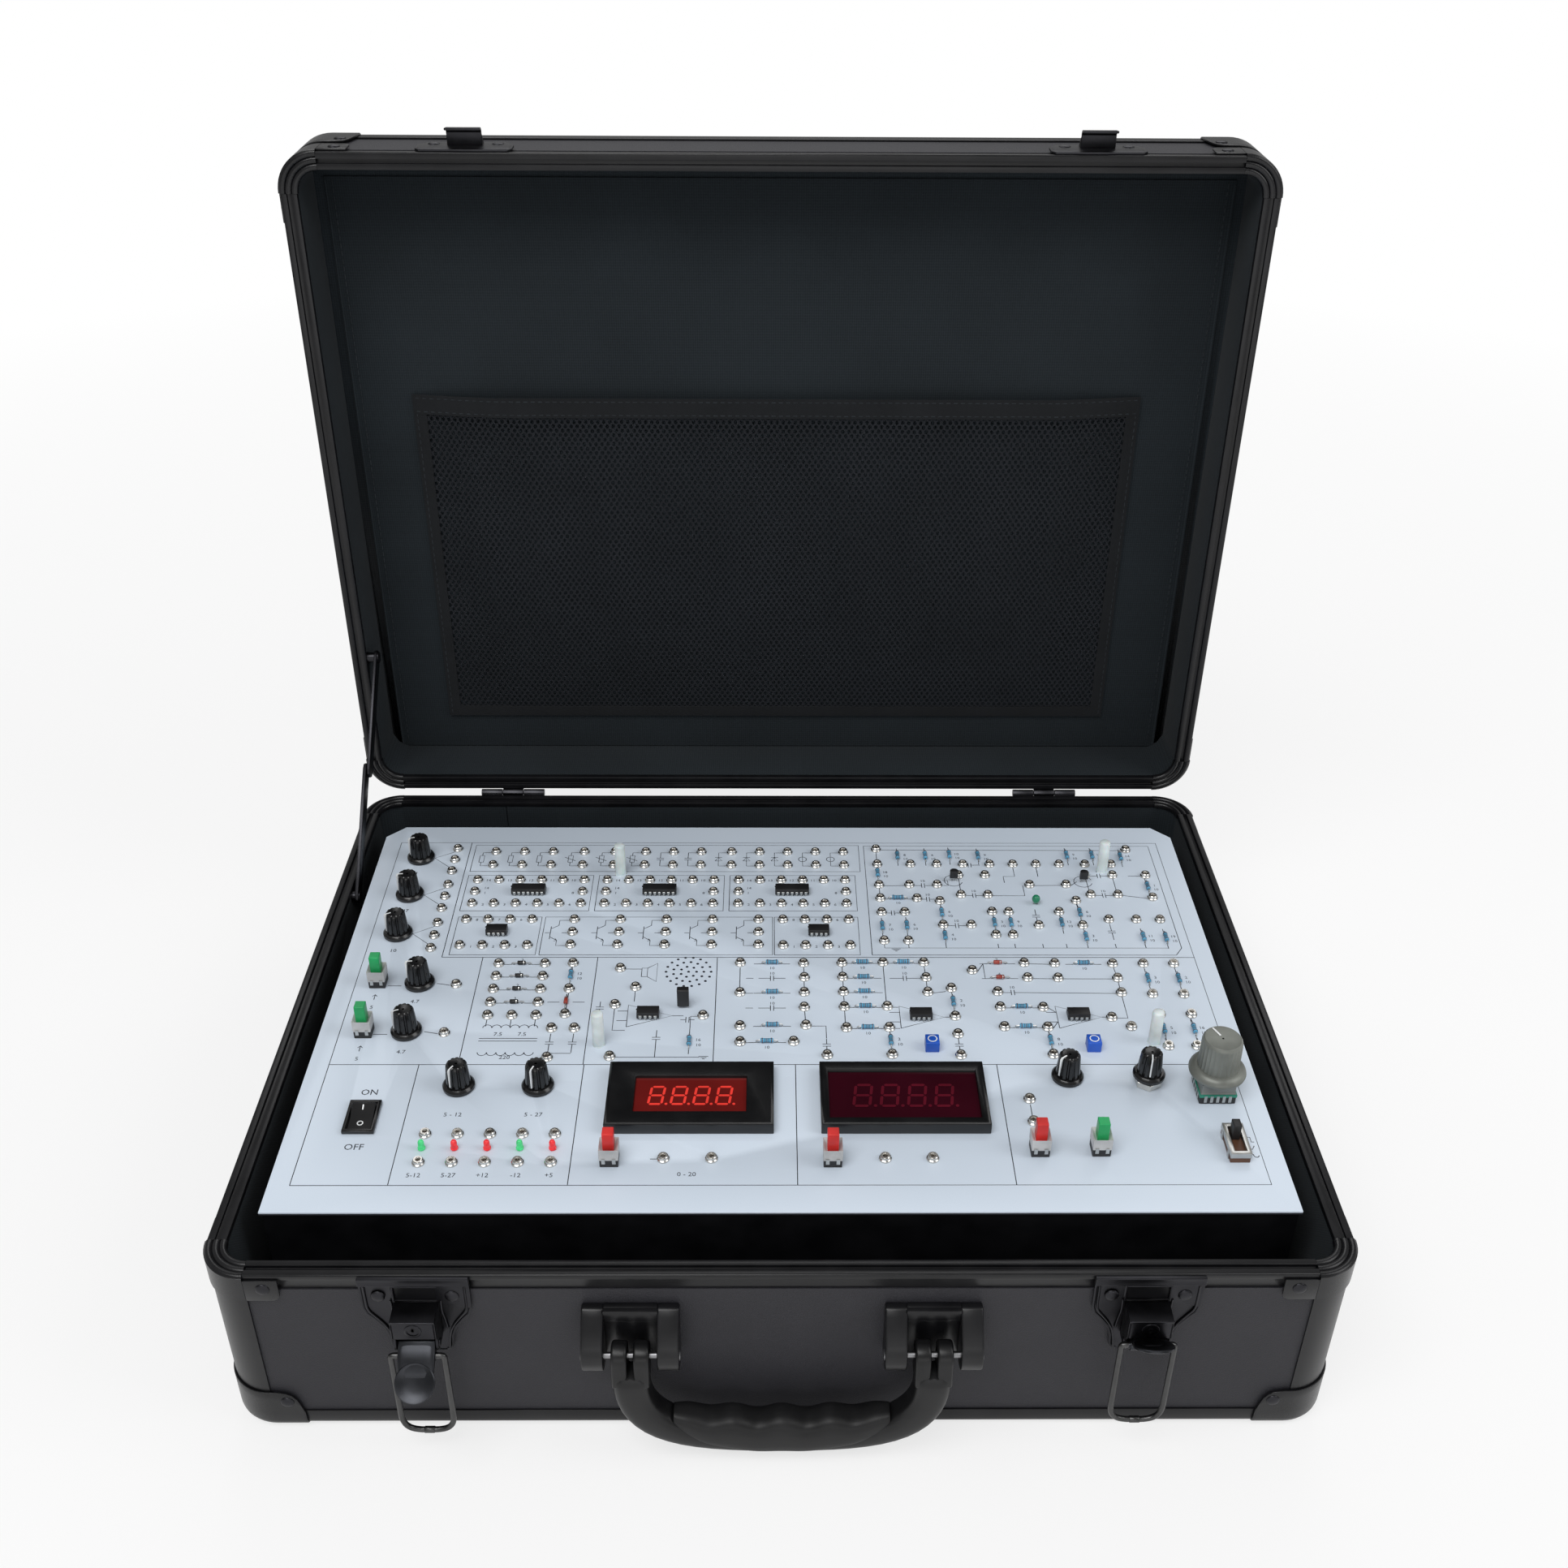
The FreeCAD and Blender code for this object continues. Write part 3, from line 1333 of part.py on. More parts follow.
def column(x, start, pitch, count):
    return [(x, start + pitch * number) for number in range(count)]


CHIP_BLOCKS = (-170, -97, -23)
SOCKETS = [(-167.7, 5), (-167.7, -32.5)]
for first_y in (127, 92, 57):
    SOCKETS += column(-186, first_y, -11, 3)
for y in (124, 111):
    SOCKETS += row(y, -163.5, 16.5, 3) + row(y, -112.5, 17.7, 3) + row(y, -61, 16, 2) + row(y, -27.5, 16.1, 5)
for start in CHIP_BLOCKS:
    SOCKETS += row(96.5, start, 12, 6) + row(74.5, start, 12, 6) + row(85.5, start, 60, 2)
for start in (-171, 1.7):
    SOCKETS += row(60, start, 12, 4) + row(37.5, start, 12, 4)
for y in (60, 49, 38):
    SOCKETS += row(y, -112, 25.1, 5)
SOCKETS += row(112, 75, 15, 3) + row(112, 120.3, 13.3, 4) + row(112, 175, 15, 2) + row(101.5, 101.5, 15, 2)
SOCKETS += [
    (56, 127), (56, 112), (56, 92), (56, 79.5), (56, 66.7), (56, 41.5), (68.7, 66.8), (69, 41.5), (201, 126.6),
    (73, 92.2), (88.6, 92.3), (101.2, 82.8), (116.2, 82.7), (140.7, 92.3), (76.4, 79.4), (88.9, 77),
    (88.9, 55.4), (104.2, 55.4), (116.8, 67.2), (125.9, 67), (116.7, 46.7), (125.9, 46.7), (141, 55.1),
    (153.7, 67.1), (161.3, 92.5), (173.5, 101.5), (189, 101.5), (173.8, 83), (189, 83), (164.6, 77.3),
    (164.9, 55.1), (180, 60.3), (195, 60.2), (208, 60.2), (207.8, 101.4), (207.9, 80.4),
]
SOCKETS += column(-148, 22, -10.4, 4) + column(-123.7, 22, -10.4, 4) + row(-19.3, -148, 12.2, 3)
SOCKETS += [(-109, 22.4), (-109, 1.6), (-109, -18.3), (-114.7, -29), (-103.3, -29), (-114.6, -50.6)]
SOCKETS += [(-83.8, 18.2), (-74.8, 2.9), (-84.4, -11), (-39.2, -19.4), (-84, -49.8)]
SOCKETS += [(-21, 22.7), (12.3, 22.3), (12.5, 10.7), (-20.8, -1.5), (12.3, -1.3), (12.1, -13), (-20.4, -27.3)]
SOCKETS += [(12.7, -26.8), (-20.2, -39.2), (6.4, -39), (22.8, -48.8)]
SOCKETS += column(32.5, 22.7, -11.8, 4) + [(33, -28.8), (54.2, 23), (54.4, -12.4), (54.5, -28.6), (75.7, 23)]
SOCKETS += [(76, 10.6), (76, -1.1), (88.4, 2), (88.4, -20), (88.5, -33.4), (88.5, -48.9), (54.8, -48.4)]
SOCKETS += [
    (100.7, 16.5), (128.7, 22.6), (129, 10.5), (144.8, 22.3), (175.4, 22.1), (144.9, 10.3), (176, 10.2),
    (112.1, -0.8), (175.9, -1.5), (112.1, -12.8), (133.9, -13.1), (112.4, -28), (134.1, -28.3), (134.1, -48.4),
    (167.6, -20.8), (191.6, 22.2), (207.7, 22.1), (191.8, -2.6), (207.9, -2.7), (176.3, -27.8), (192.6, -18.4),
    (208.5, -18.3), (192.1, -42.2), (206.3, -42.2),
]
UPRIGHT_RESISTORS = [
    (68, 120), (84, 120), (98, 121), (114.4, 120), (165.8, 120.5), (180.4, 120.5), (196.7, 119), (55.7, 103),
    (55.6, 54), (69, 54.5), (89, 66), (89, 45.5), (117, 57), (126, 57), (153.7, 57), (165, 66), (165, 44.5),
    (196, 44.5), (208, 44), (207, 90.5), (-109.3, 12.5), (-45.5, -39), (54.6, -38.5), (88.4, -9), (134.1, -38.5),
    (191.7, 9.5), (207.8, 9.5), (192.2, -30), (207.4, -30),
]
ACROSS_RESISTORS = [
    (65.7, 79.5), (-4.3, 22.5), (-4.3, -1.4), (-4.3, -27), (-6.9, -39.1), (43.3, 22.9), (43.3, 10.7), (43.3, -0.9),
    (43.3, -12.5), (43.7, -28.7), (65, 23), (160.1, 22.2), (122.9, -12.9), (123.2, -28.1),
]
ACROSS_DIODES = [(-136, 22), (-136, 11.6), (-136, 1.2), (-136, -9.2), (-109.6, -8.4), (114.7, 22.6), (114.7, 10.5)]
LONG_CHIPS = ((-140, 85.5), (-67, 85.5), (7, 85.5))
SHORT_CHIPS = ((-152.7, 48.7), (21, 48.7), (-67, -19), (71, -20), (150.7, -20))
TRANSISTORS = ((98.3, 97), (171.6, 96))
DISC_CAPACITORS = ((141.9, 75),)
FILM_CAPACITORS = ((-49.5, -12),)
LAMPS = row(-111.5, -165, 15, 5)

# The same places on the panel at its own size.
pot_knobs, buttons, trimmers = (
    {name: on_panel(*spot) for name, spot in drawn.items()} for drawn in (POT_KNOBS, BUTTONS, TRIMMERS)
)
selector_spot, rocker_spot, slide_spot, voltmeter_spot, frequency_meter_spot, speaker_spot = all_on_panel(
    (SELECTOR, ROCKER, SLIDE, VOLTMETER, FREQUENCY_METER, SPEAKER)
)


# The working panel: a board with chamfered back corners and a hole for everything that goes through it.
def panel_board():
    board = prism("panelBoard", "XY", chamfered(panel_x, panel_y, d.panel_chamfer), d.panel, z=panel_low)
    holes = []
    deep = d.panel + 2
    low = panel_low - 1
    for number, (x, y) in enumerate(all_on_panel(TEST_TERMINALS)):
        holes.append(rod(f"terminalHole{number}", d.terminal_barrel + d.hole_play, deep, x, y, low))
    for number, (x, y) in enumerate(pot_knobs.values()):
        corners = [(x + across, y + back) for across, back in regular(d.bush + d.hole_play, EYE_SIDES)]
        holes.append(prism(f"bushHole{number}", "XY", corners, deep, z=low))
    half_x = d.rocker_well_width / 2 + d.cheek + d.hole_play
    half_y = d.rocker_well_length / 2 + d.cheek / 2 + d.hole_play
    x, y = rocker_spot
    holes.append(block("rockerHole", (x - half_x, y - half_y, low), (x + half_x, y + half_y, low + deep)))
    return cut("panelCut", board, group("panelHoles", holes))


keep("panel", panel_board())


# Plain test sockets: six-sided turned collars on the panel.
def scattered(name, shape, places, z, turn=ALONG_Z):
    feature = add("Part::Feature", name)
    copies = []
    for x, y in places:
        copy = shape.copy()
        copy.Placement = Placement(Vector(x, y, float(z)), turn)
        copies.append(copy)
    feature.Shape = Part.Compound(copies)
    return feature


collar = frustum(float(d.socket), float(d.socket_top), float(d.socket_height), 6)
keep("patch_sockets", scattered("patchSockets", collar, all_on_panel(SOCKETS), panel_top))

# Terminals of the supplies, meters and generator. Two of them, one of the supplies' and one of the voltmeter's,
# have the real barrel through the panel and the bore for a 2 mm plug.
terminal_flange = shaped("terminalFlange", frustum(float(d.socket), float(d.socket_top), float(d.socket_height), 12))
barrel_corners = regular(d.terminal_barrel, EYE_SIDES)
terminal_barrel = prism("terminalBarrel", "XY", barrel_corners, d.terminal_depth + 1, z=-d.terminal_depth)
terminal_bore = rod(
    "terminalBore", d.terminal_bore, d.terminal_depth + d.socket_height - 1, 0, 0, 2 - d.terminal_depth
)
terminal = cut("terminalSolid", fuse("terminalOuter", [terminal_flange, terminal_barrel]), terminal_bore)
terminal_copies = [at(f"terminal{index}", terminal, x, y, panel_top) for index, (x, y) in enumerate(all_on_panel(TEST_TERMINALS))]
terminal_collars = scattered("terminalCollars", collar, all_on_panel(TERMINALS), panel_top)
keep("supply_terminals", group("terminals", [*terminal_copies, terminal_collars]))

# Potentiometers under the panel, each with a threaded bush up to the panel's face for its shaft.
pot_half = d.pot_body / 2
pot_body = block("potBody", (-pot_half, -pot_half, -d.panel - d.pot_depth), (pot_half, pot_half, -d.panel))
pot_bush = prism("potBush", "XY", regular(d.bush, EYE_SIDES), d.panel, z=-d.panel)
shaft_hole = regular((d.shaft + d.shaft_play) * EYE_ROOM, EYE_SIDES)
pot_bore = prism("potBore", "XY", shaft_hole, d.panel + d.pot_depth + 8, z=-d.panel - d.pot_depth - 1)
pot = cut("pot", fuse("potSolid", [pot_body, pot_bush]), pot_bore)
tall_bush = prism("tallBush", "XY", regular(d.bush, EYE_SIDES), d.panel + d.fine_lift, z=-d.panel)
nut_blank = add("Part::RegularPolygon", "nutOutline")
nut_blank.Polygon = 6
set_size(nut_blank, "Circumradius", d.nut)
nut_prism = add("Part::Extrusion", "nutPrism")
nut_prism.Base = nut_blank
nut_prism.DirMode = "Custom"
nut_prism.Dir = Vector(0, 0, 1)
nut_prism.Solid = True
set_size(nut_prism, "LengthFwd", d.nut_height)
tall_pot = cut("tallPot", fuse("tallPotSolid", [pot_body, tall_bush, nut_prism]), pot_bore)
control_bodies = []
for name, (x, y) in pot_knobs.items():
    master = tall_pot if name == "frequency_knob" else pot
    control_bodies.append(at(name + "_pot", master, x, y, panel_top))
selector_half = d.selector_body / 2
selector_block = block(
    "selectorBlock", (-selector_half, -selector_half, 0), (selector_half, selector_half, d.selector_body_height)
)
selector_bore = prism("selectorBore", "XY", shaft_hole, d.selector_body_height, z=2 * size(1))
selector_base = cut("selectorBase", selector_block, selector_bore)
control_bodies.append(at("selectorBody", selector_base, *selector_spot, panel_top))
keep("control_bodies", group("controlBodies", control_bodies))


# A fluted grip: a star-shaped outline that tapers from its foot to its top.
def fluted(name, foot_radius, top_radius, flute, flutes, low, high):
    def star(radius):
        outer = regular(radius, flutes)
        inner = regular(radius * (1 - flute / foot_radius), flutes, math.pi / flutes)
        return [corner for pair in zip(outer, inner) for corner in pair]

    return shaped(name, tapered(star(foot_radius), star(top_radius), low, high))


# The plain knob: a skirt, a fluted grip with a pointer ridge, and the shaft that turns in the bush.
grip_low = d.knob_lift + d.knob_skirt_height
skirt = prism("knobSkirt", "XY", regular(d.knob_skirt, 12), d.knob_skirt_height, z=d.knob_lift)
grip = fluted("knobGrip", d.knob_foot, d.knob_top, d.knob_flute, 8, grip_low, d.knob_height)
pointer = block("knobPointer", (-0.5, d.knob_top / 4, d.knob_height), (0.5, d.knob_top * 0.85, d.knob_height + 0.4))
shaft = prism(
    "knobShaft", "XY", regular(d.shaft, EYE_SIDES), d.panel + d.pot_depth + d.knob_lift - 1, z=1 - d.panel - d.pot_depth
)
knob = fuse("knobMaster", [skirt, grip, pointer, shaft])
for name, (x, y) in pot_knobs.items():
    lift = d.fine_lift if name == "frequency_knob" else size(0)
    keep(name, at(name + "_copy", knob, x, y, panel_top + lift))

selector_low = d.selector_lift
selector_mid = selector_low + d.selector_skirt_height
selector_skirt = prism("selectorSkirt", "XY", regular(d.selector_skirt, 24), d.selector_skirt_height, z=selector_low)
selector_grip = fluted(
    "selectorGrip", d.selector_grip, d.selector_grip * 0.97, 0.7, 18, selector_mid, d.selector_height
)
selector_shaft = prism("selectorShaft", "XY", regular(d.shaft, EYE_SIDES), selector_low - 3, z=3 * size(1))
selector = fuse("selectorMaster", [selector_skirt, selector_grip, selector_shaft])
keep("selector_knob", at("selectorCopy", selector, *selector_spot, panel_top))

# Push buttons: a square switch body with a well, and a cap that slides in the well.
button_half = d.button_body / 2
well_half = d.button_well / 2
cap_half = d.button_cap / 2
well_floor = d.button_body_height - d.button_travel * 3.3
button_block = block("buttonBlock", (-button_half, -button_half, 0), (button_half, button_half, d.button_body_height))
button_well = block("buttonWell", (-well_half, -well_half, well_floor), (well_half, well_half, 2 * d.button_height))
button_base = cut("buttonBase", button_block, button_well)
cap_low = well_floor + d.button_travel + 0.3
button_cap = block("buttonCap", (-cap_half, -cap_half, cap_low), (cap_half, cap_half, d.button_height))
switch_bodies = []
for name, (x, y) in buttons.items():
    switch_bodies.append(at(name + "_body", button_base, x, y, panel_top))
    keep(name, at(name + "_cap", button_cap, x, y, panel_top))

# Mains rocker switch: a bezel over the panel, a housing through it, and a paddle tilted to its off side.
bezel_x = d.rocker_width / 2
bezel_y = d.rocker_length / 2
rocker_x = d.rocker_well_width / 2
rocker_y = d.rocker_well_length / 2
rocker_bezel = block("rockerBezel", (-bezel_x, -bezel_y, 0), (bezel_x, bezel_y, d.bezel_height))
rocker_housing = block(
    "rockerHousing", (-rocker_x - d.cheek, -rocker_y - d.cheek / 2, -d.rocker_depth),
    (rocker_x + d.cheek, rocker_y + d.cheek / 2, 0),
)
rocker_well = block(
    "rockerWell", (-rocker_x, -rocker_y, -d.rocker_depth + d.cheek), (rocker_x, rocker_y, d.rocker_depth)
)
rocker_base = cut("rockerBase", fuse("rockerOuter", [rocker_bezel, rocker_housing]), rocker_well)
switch_bodies.append(at("rockerBody", rocker_base, *rocker_spot, panel_top))
paddle_x = rocker_x - 0.3
tilt = math.radians(float(d.rocker_tilt))
paddle_corners = [
    (-d.rocker_half, d.rocker_rise), (-d.rocker_half, -d.rocker_pivot), (-4 * size(1), -2 * d.rocker_pivot),
    (4 * size(1), -2 * d.rocker_pivot), (d.rocker_half, -d.rocker_pivot), (d.rocker_half, d.rocker_rise),
    (0 * size(1), d.rocker_dip),
]
paddle = prism("paddle", "YZ", [(y, z + d.rocker_pivot) for y, z in paddle_corners], 2 * paddle_x, x=-paddle_x)
paddle_turned = place(
    group("paddleTurned", [paddle]), *rocker_spot, panel_top - d.rocker_pivot,
    Rotation(Vector(1, 0, 0), float(d.rocker_tilt)),
)
keep("power_rocker", paddle_turned)

# Waveform slide switch, with its tab at the back end of the slot.
slide_x = d.slide_body_width / 2
slide_y = d.slide_body_length / 2
slot_x = d.slide_slot / 2
slot_y = (d.slide_travel + d.slide_tab_length) / 2 + 0.5
slide_block = block("slideBlock", (-slide_x, -slide_y, 0), (slide_x, slide_y, d.slide_body_height))
slide_slot = block("slideSlot", (-slot_x, -slot_y, 2), (slot_x, slot_y, 2 * d.slide_body_height))
switch_bodies.append(at("slideBody", cut("slideBase", slide_block, slide_slot), *slide_spot, panel_top))
keep("switch_bodies", group("switchBodies", switch_bodies))
tab_y = d.slide_travel / 2
tab_half = d.slide_tab_length / 2
slide_tab = block(
    "slideTab", (-d.slide_tab / 2, tab_y - tab_half, 2.3), (d.slide_tab / 2, tab_y + tab_half, d.slide_tab_height)
)
keep("waveform_slide", at("slideTabCopy", slide_tab, *slide_spot, panel_top))


# Panel meters: a bezel frame with a sunk window each.
def meter(name, x, y, window_width, window_depth):
    half_x = d.meter_width / 2
    half_y = d.meter_depth / 2
    open_x = window_width / 2
    open_y = window_depth / 2
    top = panel_top + d.meter_height
    case = block(name + "Case", (x - half_x, y - half_y, panel_top), (x + half_x, y + half_y, top))
    sunk = top - d.window_set - d.window_glass
    opening = block(name + "Opening", (x - open_x, y - open_y, sunk), (x + open_x, y + open_y, top + 1))
    glass = block(
        name + "Glass", (x - open_x, y - open_y, sunk), (x + open_x, y + open_y, sunk + d.window_glass)
    )
    return cut(name, case, opening), glass


volt_case, volt_glass = meter("voltmeter", *voltmeter_spot, d.volt_window, d.volt_window_depth)
count_case, count_glass = meter(
    "frequencyMeter", *frequency_meter_spot, d.count_window, d.count_window_depth
)
keep("meter_bezels", group("meterBezels", [volt_case, count_case]))
keep("meter_windows", group("meterWindows", [volt_glass, count_glass]))

post_shape = frustum(float(d.standoff), float(d.standoff), float(d.standoff_height), 12)
keep("standoffs", scattered("standoffPosts", post_shape, all_on_panel(STANDOFFS), panel_top))


# A chip: its body between two rows of leads that stand on the panel.
def chip(leads):
    length = float(d.lead_pitch) * leads + 1.2
    half = float(d.chip_width) / 2
    low = float(d.chip_lift)
    lead = float(d.lead)
    solids = [Part.makeBox(length, 2 * half, float(d.chip_height), Vector(-length / 2, -half, low))]
    for y in (-half - lead, half):
        height = low + float(d.chip_height) / 2
        solids.append(Part.makeBox(length - 2, lead, height, Vector(1 - length / 2, y, 0)))
    return Part.Compound(solids)


chips = group("chipSet", [
    scattered("longChips", chip(7), all_on_panel(LONG_CHIPS), panel_top), scattered("shortChips", chip(4), all_on_panel(SHORT_CHIPS), panel_top),
])
keep("chips", chips)


# A resistor or diode lying on the panel: a six-sided body.
def axial(radius, length):
    body = frustum(radius, radius, length, 6)
    body.Placement = Placement(Vector(-length / 2, 0, radius * math.sin(math.pi / 3)), Rotation(Vector(0, 1, 0), 90))
    return body


resistor = axial(float(d.resistor), float(d.resistor_length))
diode = axial(float(d.resistor) * 0.9, float(d.resistor_length) * 0.8)
upright = Rotation(Vector(0, 0, 1), 90)
transistor = Part.makeBox(4.6, 3.6, 5, Vector(-2.3, -1.8, 2.5)).fuse(
    Part.makeBox(3.4, 0.8, 2.5, Vector(-1.7, -0.4, 0))
)
capacitor = frustum(2.4, 2.0, 6, 8)
film_capacitor = Part.makeBox(6, 3.6, 12, Vector(-3, -1.8, 0))
components = group("componentSet", [
    scattered("uprightResistors", resistor, all_on_panel(UPRIGHT_RESISTORS), panel_top, upright),
    scattered("acrossResistors", resistor, all_on_panel(ACROSS_RESISTORS), panel_top),
    scattered("diodes", diode, all_on_panel(ACROSS_DIODES), panel_top),
    scattered("transistors", transistor, all_on_panel(TRANSISTORS), panel_top),
    scattered("discCapacitor", capacitor, all_on_panel(DISC_CAPACITORS), panel_top),
    scattered("filmCapacitor", film_capacitor, all_on_panel(FILM_CAPACITORS), panel_top),
])
keep("board_components", components)
lamp = frustum(float(d.lamp), float(d.lamp) * 0.8, float(d.lamp_height), 8)
keep("supply_lamps", scattered("lamps", lamp, all_on_panel(LAMPS), panel_top))

# Trimmers: a square body with a round well, and a slotted screw that turns in it.
trimmer_half = d.trimmer / 2
trimmer_block = block("trimmerBlock", (-trimmer_half, -trimmer_half, 0), (trimmer_half, trimmer_half, d.trimmer_height))
trimmer_hole = regular((d.trimmer_screw + d.hole_play) * EYE_ROOM, EYE_SIDES)
trimmer_well = prism("trimmerWell", "XY", trimmer_hole, 4 * size(1), z=d.trimmer_height - 1.6)
trimmer_base = cut("trimmerBase", trimmer_block, trimmer_well)
screw_blank = prism("screwBlank", "XY", regular(d.trimmer_screw, EYE_SIDES), 1.4 * size(1), z=d.trimmer_height - 1.5)
screw_slot = block("screwSlot", (-0.3, -3, d.trimmer_height - 0.8), (0.3, 3, d.trimmer_height + 1))
screw = cut("screwMaster", screw_blank, screw_slot)
trimmer_bodies = []
for name, (x, y) in trimmers.items():
    trimmer_bodies.append(at(name + "_body", trimmer_base, x, y, panel_top))
    keep(name, at(name + "_copy", screw, x, y, panel_top))
keep("trimmer_bodies", group("trimmerBodies", trimmer_bodies))

# Inside the steel box: the circuit board hung under the panel, the mains transformer and the loudspeaker.
circuit_top = panel_low - d.circuit_drop
circuit_x = panel_x - d.chassis_flange - 4
circuit_y = d.circuit_depth / 2
circuit_left = circuit_x - d.circuit_width
circuit = block("circuitPlate", (circuit_left, -circuit_y, circuit_top - d.circuit), (circuit_x, circuit_y, circuit_top))
hangers = []
for number, (x, y) in enumerate(((circuit_left + 8, -1), (circuit_left + 8, 1), (circuit_x - 8, -1), (circuit_x - 8, 1))):
    back = y * (circuit_y - 8)
    hangers.append(block(
        f"hanger{number}", (x - d.standoff, back - d.standoff, circuit_top),
        (x + d.standoff, back + d.standoff, panel_low),
    ))
keep("circuit_board", group("circuitSet", [circuit, *hangers]))

core_z = tray_z + d.chassis_sheet
core_x = -panel_x + 60
core_y = -panel_y / 3
core = block(
    "transformerCore", (core_x - d.core_width / 2, core_y - d.core_depth / 2, core_z),
    (core_x + d.core_width / 2, core_y + d.core_depth / 2, core_z + d.core_height),
)
coil = block(
    "transformerCoil", (core_x - d.core_width / 3, core_y - d.core_depth * 0.8, core_z + 8),
    (core_x + d.core_width / 3, core_y + d.core_depth * 0.8, core_z + d.core_height - 8),
)
keep("transformer", fuse("transformerSolid", [core, coil]))

speaker_depth = float(d.speaker_depth)
speaker_frame = float(d.speaker_frame)
speaker = fuse("speakerSolid", [
    shaped("speakerRing", frustum(speaker_frame, speaker_frame, speaker_depth / 4, 16, -speaker_depth / 4)),
    shaped("speakerCone", frustum(speaker_frame / 2, speaker_frame * 0.9, speaker_depth / 2, 16, -speaker_depth * 0.75)),
    shaped("speakerMagnet", frustum(speaker_frame * 0.6, speaker_frame * 0.6, speaker_depth / 4, 16, -speaker_depth)),
])
keep("loudspeaker", at("speakerCopy", speaker, *speaker_spot, panel_low))

# Mains inlet through the back board: a flange outside, a socket shell inside with three contact blades.
inlet_y = half_depth - d.board_inset
inlet_flange = block(
    "inletFlange", (inlet_x - d.inlet_width / 2, inlet_y, inlet_z - d.inlet_height / 2),
    (inlet_x + d.inlet_width / 2, inlet_y + d.inlet_flange, inlet_z + d.inlet_height / 2),
)
shell_x = d.inlet_body_width / 2
shell_z = d.inlet_body_height / 2
inlet_shell = block(
    "inletShell", (inlet_x - shell_x, inlet_y - d.inlet_body_depth, inlet_z - shell_z),
    (inlet_x + shell_x, inlet_y, inlet_z + shell_z),
)
wall = d.inlet_wall
inlet_mouth = prism(
    "inletMouth", "XZ",
    [(inlet_x - shell_x + wall, inlet_z - shell_z + wall), (inlet_x + shell_x - wall, inlet_z - shell_z + wall),
     (inlet_x + shell_x - wall, inlet_z + shell_z - 2 * wall), (inlet_x + shell_x - 2 * wall, inlet_z + shell_z - wall),
     (inlet_x - shell_x + 2 * wall, inlet_z + shell_z - wall), (inlet_x - shell_x + wall, inlet_z + shell_z - 2 * wall)],
    d.inlet_body_depth + d.inlet_flange, y=inlet_y - d.inlet_body_depth + wall,
)
inlet_cup = cut("inletCup", fuse("inletOuter", [inlet_flange, inlet_shell]), inlet_mouth)
blades = []
for number, (across, up) in enumerate(((-7, -2), (0, 3), (7, -2))):
    blades.append(block(
        f"inletBlade{number}", (inlet_x + across - 1, inlet_y - d.inlet_body_depth + wall, inlet_z + up - 2),
        (inlet_x + across + 1, inlet_y - 4, inlet_z + up + 2),
    ))
keep("mains_inlet", fuse("inletSolid", [inlet_cup, *blades]))

document.recompute()
failed = [thing.Name for thing in document.Objects if "Invalid" in thing.State or "Error" in thing.State]
for name, piece in parts.items():
    if piece.Shape.isNull() or not piece.Shape.isValid():
        failed.append(name)
if failed:
    raise RuntimeError("these pieces failed: " + ", ".join(failed))

os.makedirs("parts", exist_ok=True)
for name, piece in parts.items():
    piece.Shape.exportStep(f"parts/{name}.step")
print(len(parts), "pieces written")
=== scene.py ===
import bpy
import bmesh
import json
import math
import random
from mathutils import Matrix, Vector

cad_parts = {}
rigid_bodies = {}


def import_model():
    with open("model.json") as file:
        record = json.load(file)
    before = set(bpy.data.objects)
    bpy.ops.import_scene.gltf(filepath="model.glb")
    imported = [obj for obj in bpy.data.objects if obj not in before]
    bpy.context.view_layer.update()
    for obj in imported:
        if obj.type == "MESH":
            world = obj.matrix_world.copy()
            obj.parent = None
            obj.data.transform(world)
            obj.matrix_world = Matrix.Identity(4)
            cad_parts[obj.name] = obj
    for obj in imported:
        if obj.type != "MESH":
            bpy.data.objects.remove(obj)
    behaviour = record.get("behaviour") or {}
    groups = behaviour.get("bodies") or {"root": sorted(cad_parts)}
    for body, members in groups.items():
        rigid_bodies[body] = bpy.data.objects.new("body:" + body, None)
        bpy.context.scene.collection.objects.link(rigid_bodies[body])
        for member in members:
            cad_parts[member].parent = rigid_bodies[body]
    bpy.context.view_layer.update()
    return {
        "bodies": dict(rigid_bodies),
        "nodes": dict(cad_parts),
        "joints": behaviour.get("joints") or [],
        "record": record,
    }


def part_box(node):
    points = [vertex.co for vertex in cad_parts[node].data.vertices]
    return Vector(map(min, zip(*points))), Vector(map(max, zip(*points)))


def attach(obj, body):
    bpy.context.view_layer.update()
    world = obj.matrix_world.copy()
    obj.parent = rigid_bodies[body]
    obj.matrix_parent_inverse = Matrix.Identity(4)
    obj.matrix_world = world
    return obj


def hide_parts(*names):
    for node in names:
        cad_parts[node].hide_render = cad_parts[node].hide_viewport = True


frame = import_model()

# Analog electronics trainer in an open carrying case. Sizes are in millimetres here and are turned into
# metres as each piece is made. The lid's pieces are made on the shut lid and then laid open.

mm = 0.001
case = {
    "halfWidth": 248, "halfDepth": 185, "rim": 100, "lidRim": 100.3, "lidTop": 144.3, "cornerRadius": 20,
    "hingeY": 187.5, "hingeZ": 100.15, "rimWidth": 8.5, "edgeGap": 0.5,
}
openLid = Matrix.Translation((0, case["hingeY"] * mm, case["hingeZ"] * mm)) @ Matrix.Rotation(
    math.radians(-90), 4, "X") @ Matrix.Translation((0, -case["hingeY"] * mm, -case["hingeZ"] * mm))


# Small tools for modelling.
def readyObjectMode():
    if bpy.context.object and bpy.context.object.mode != "OBJECT":
        bpy.ops.object.mode_set(mode="OBJECT")
    bpy.ops.object.select_all(action="DESELECT")


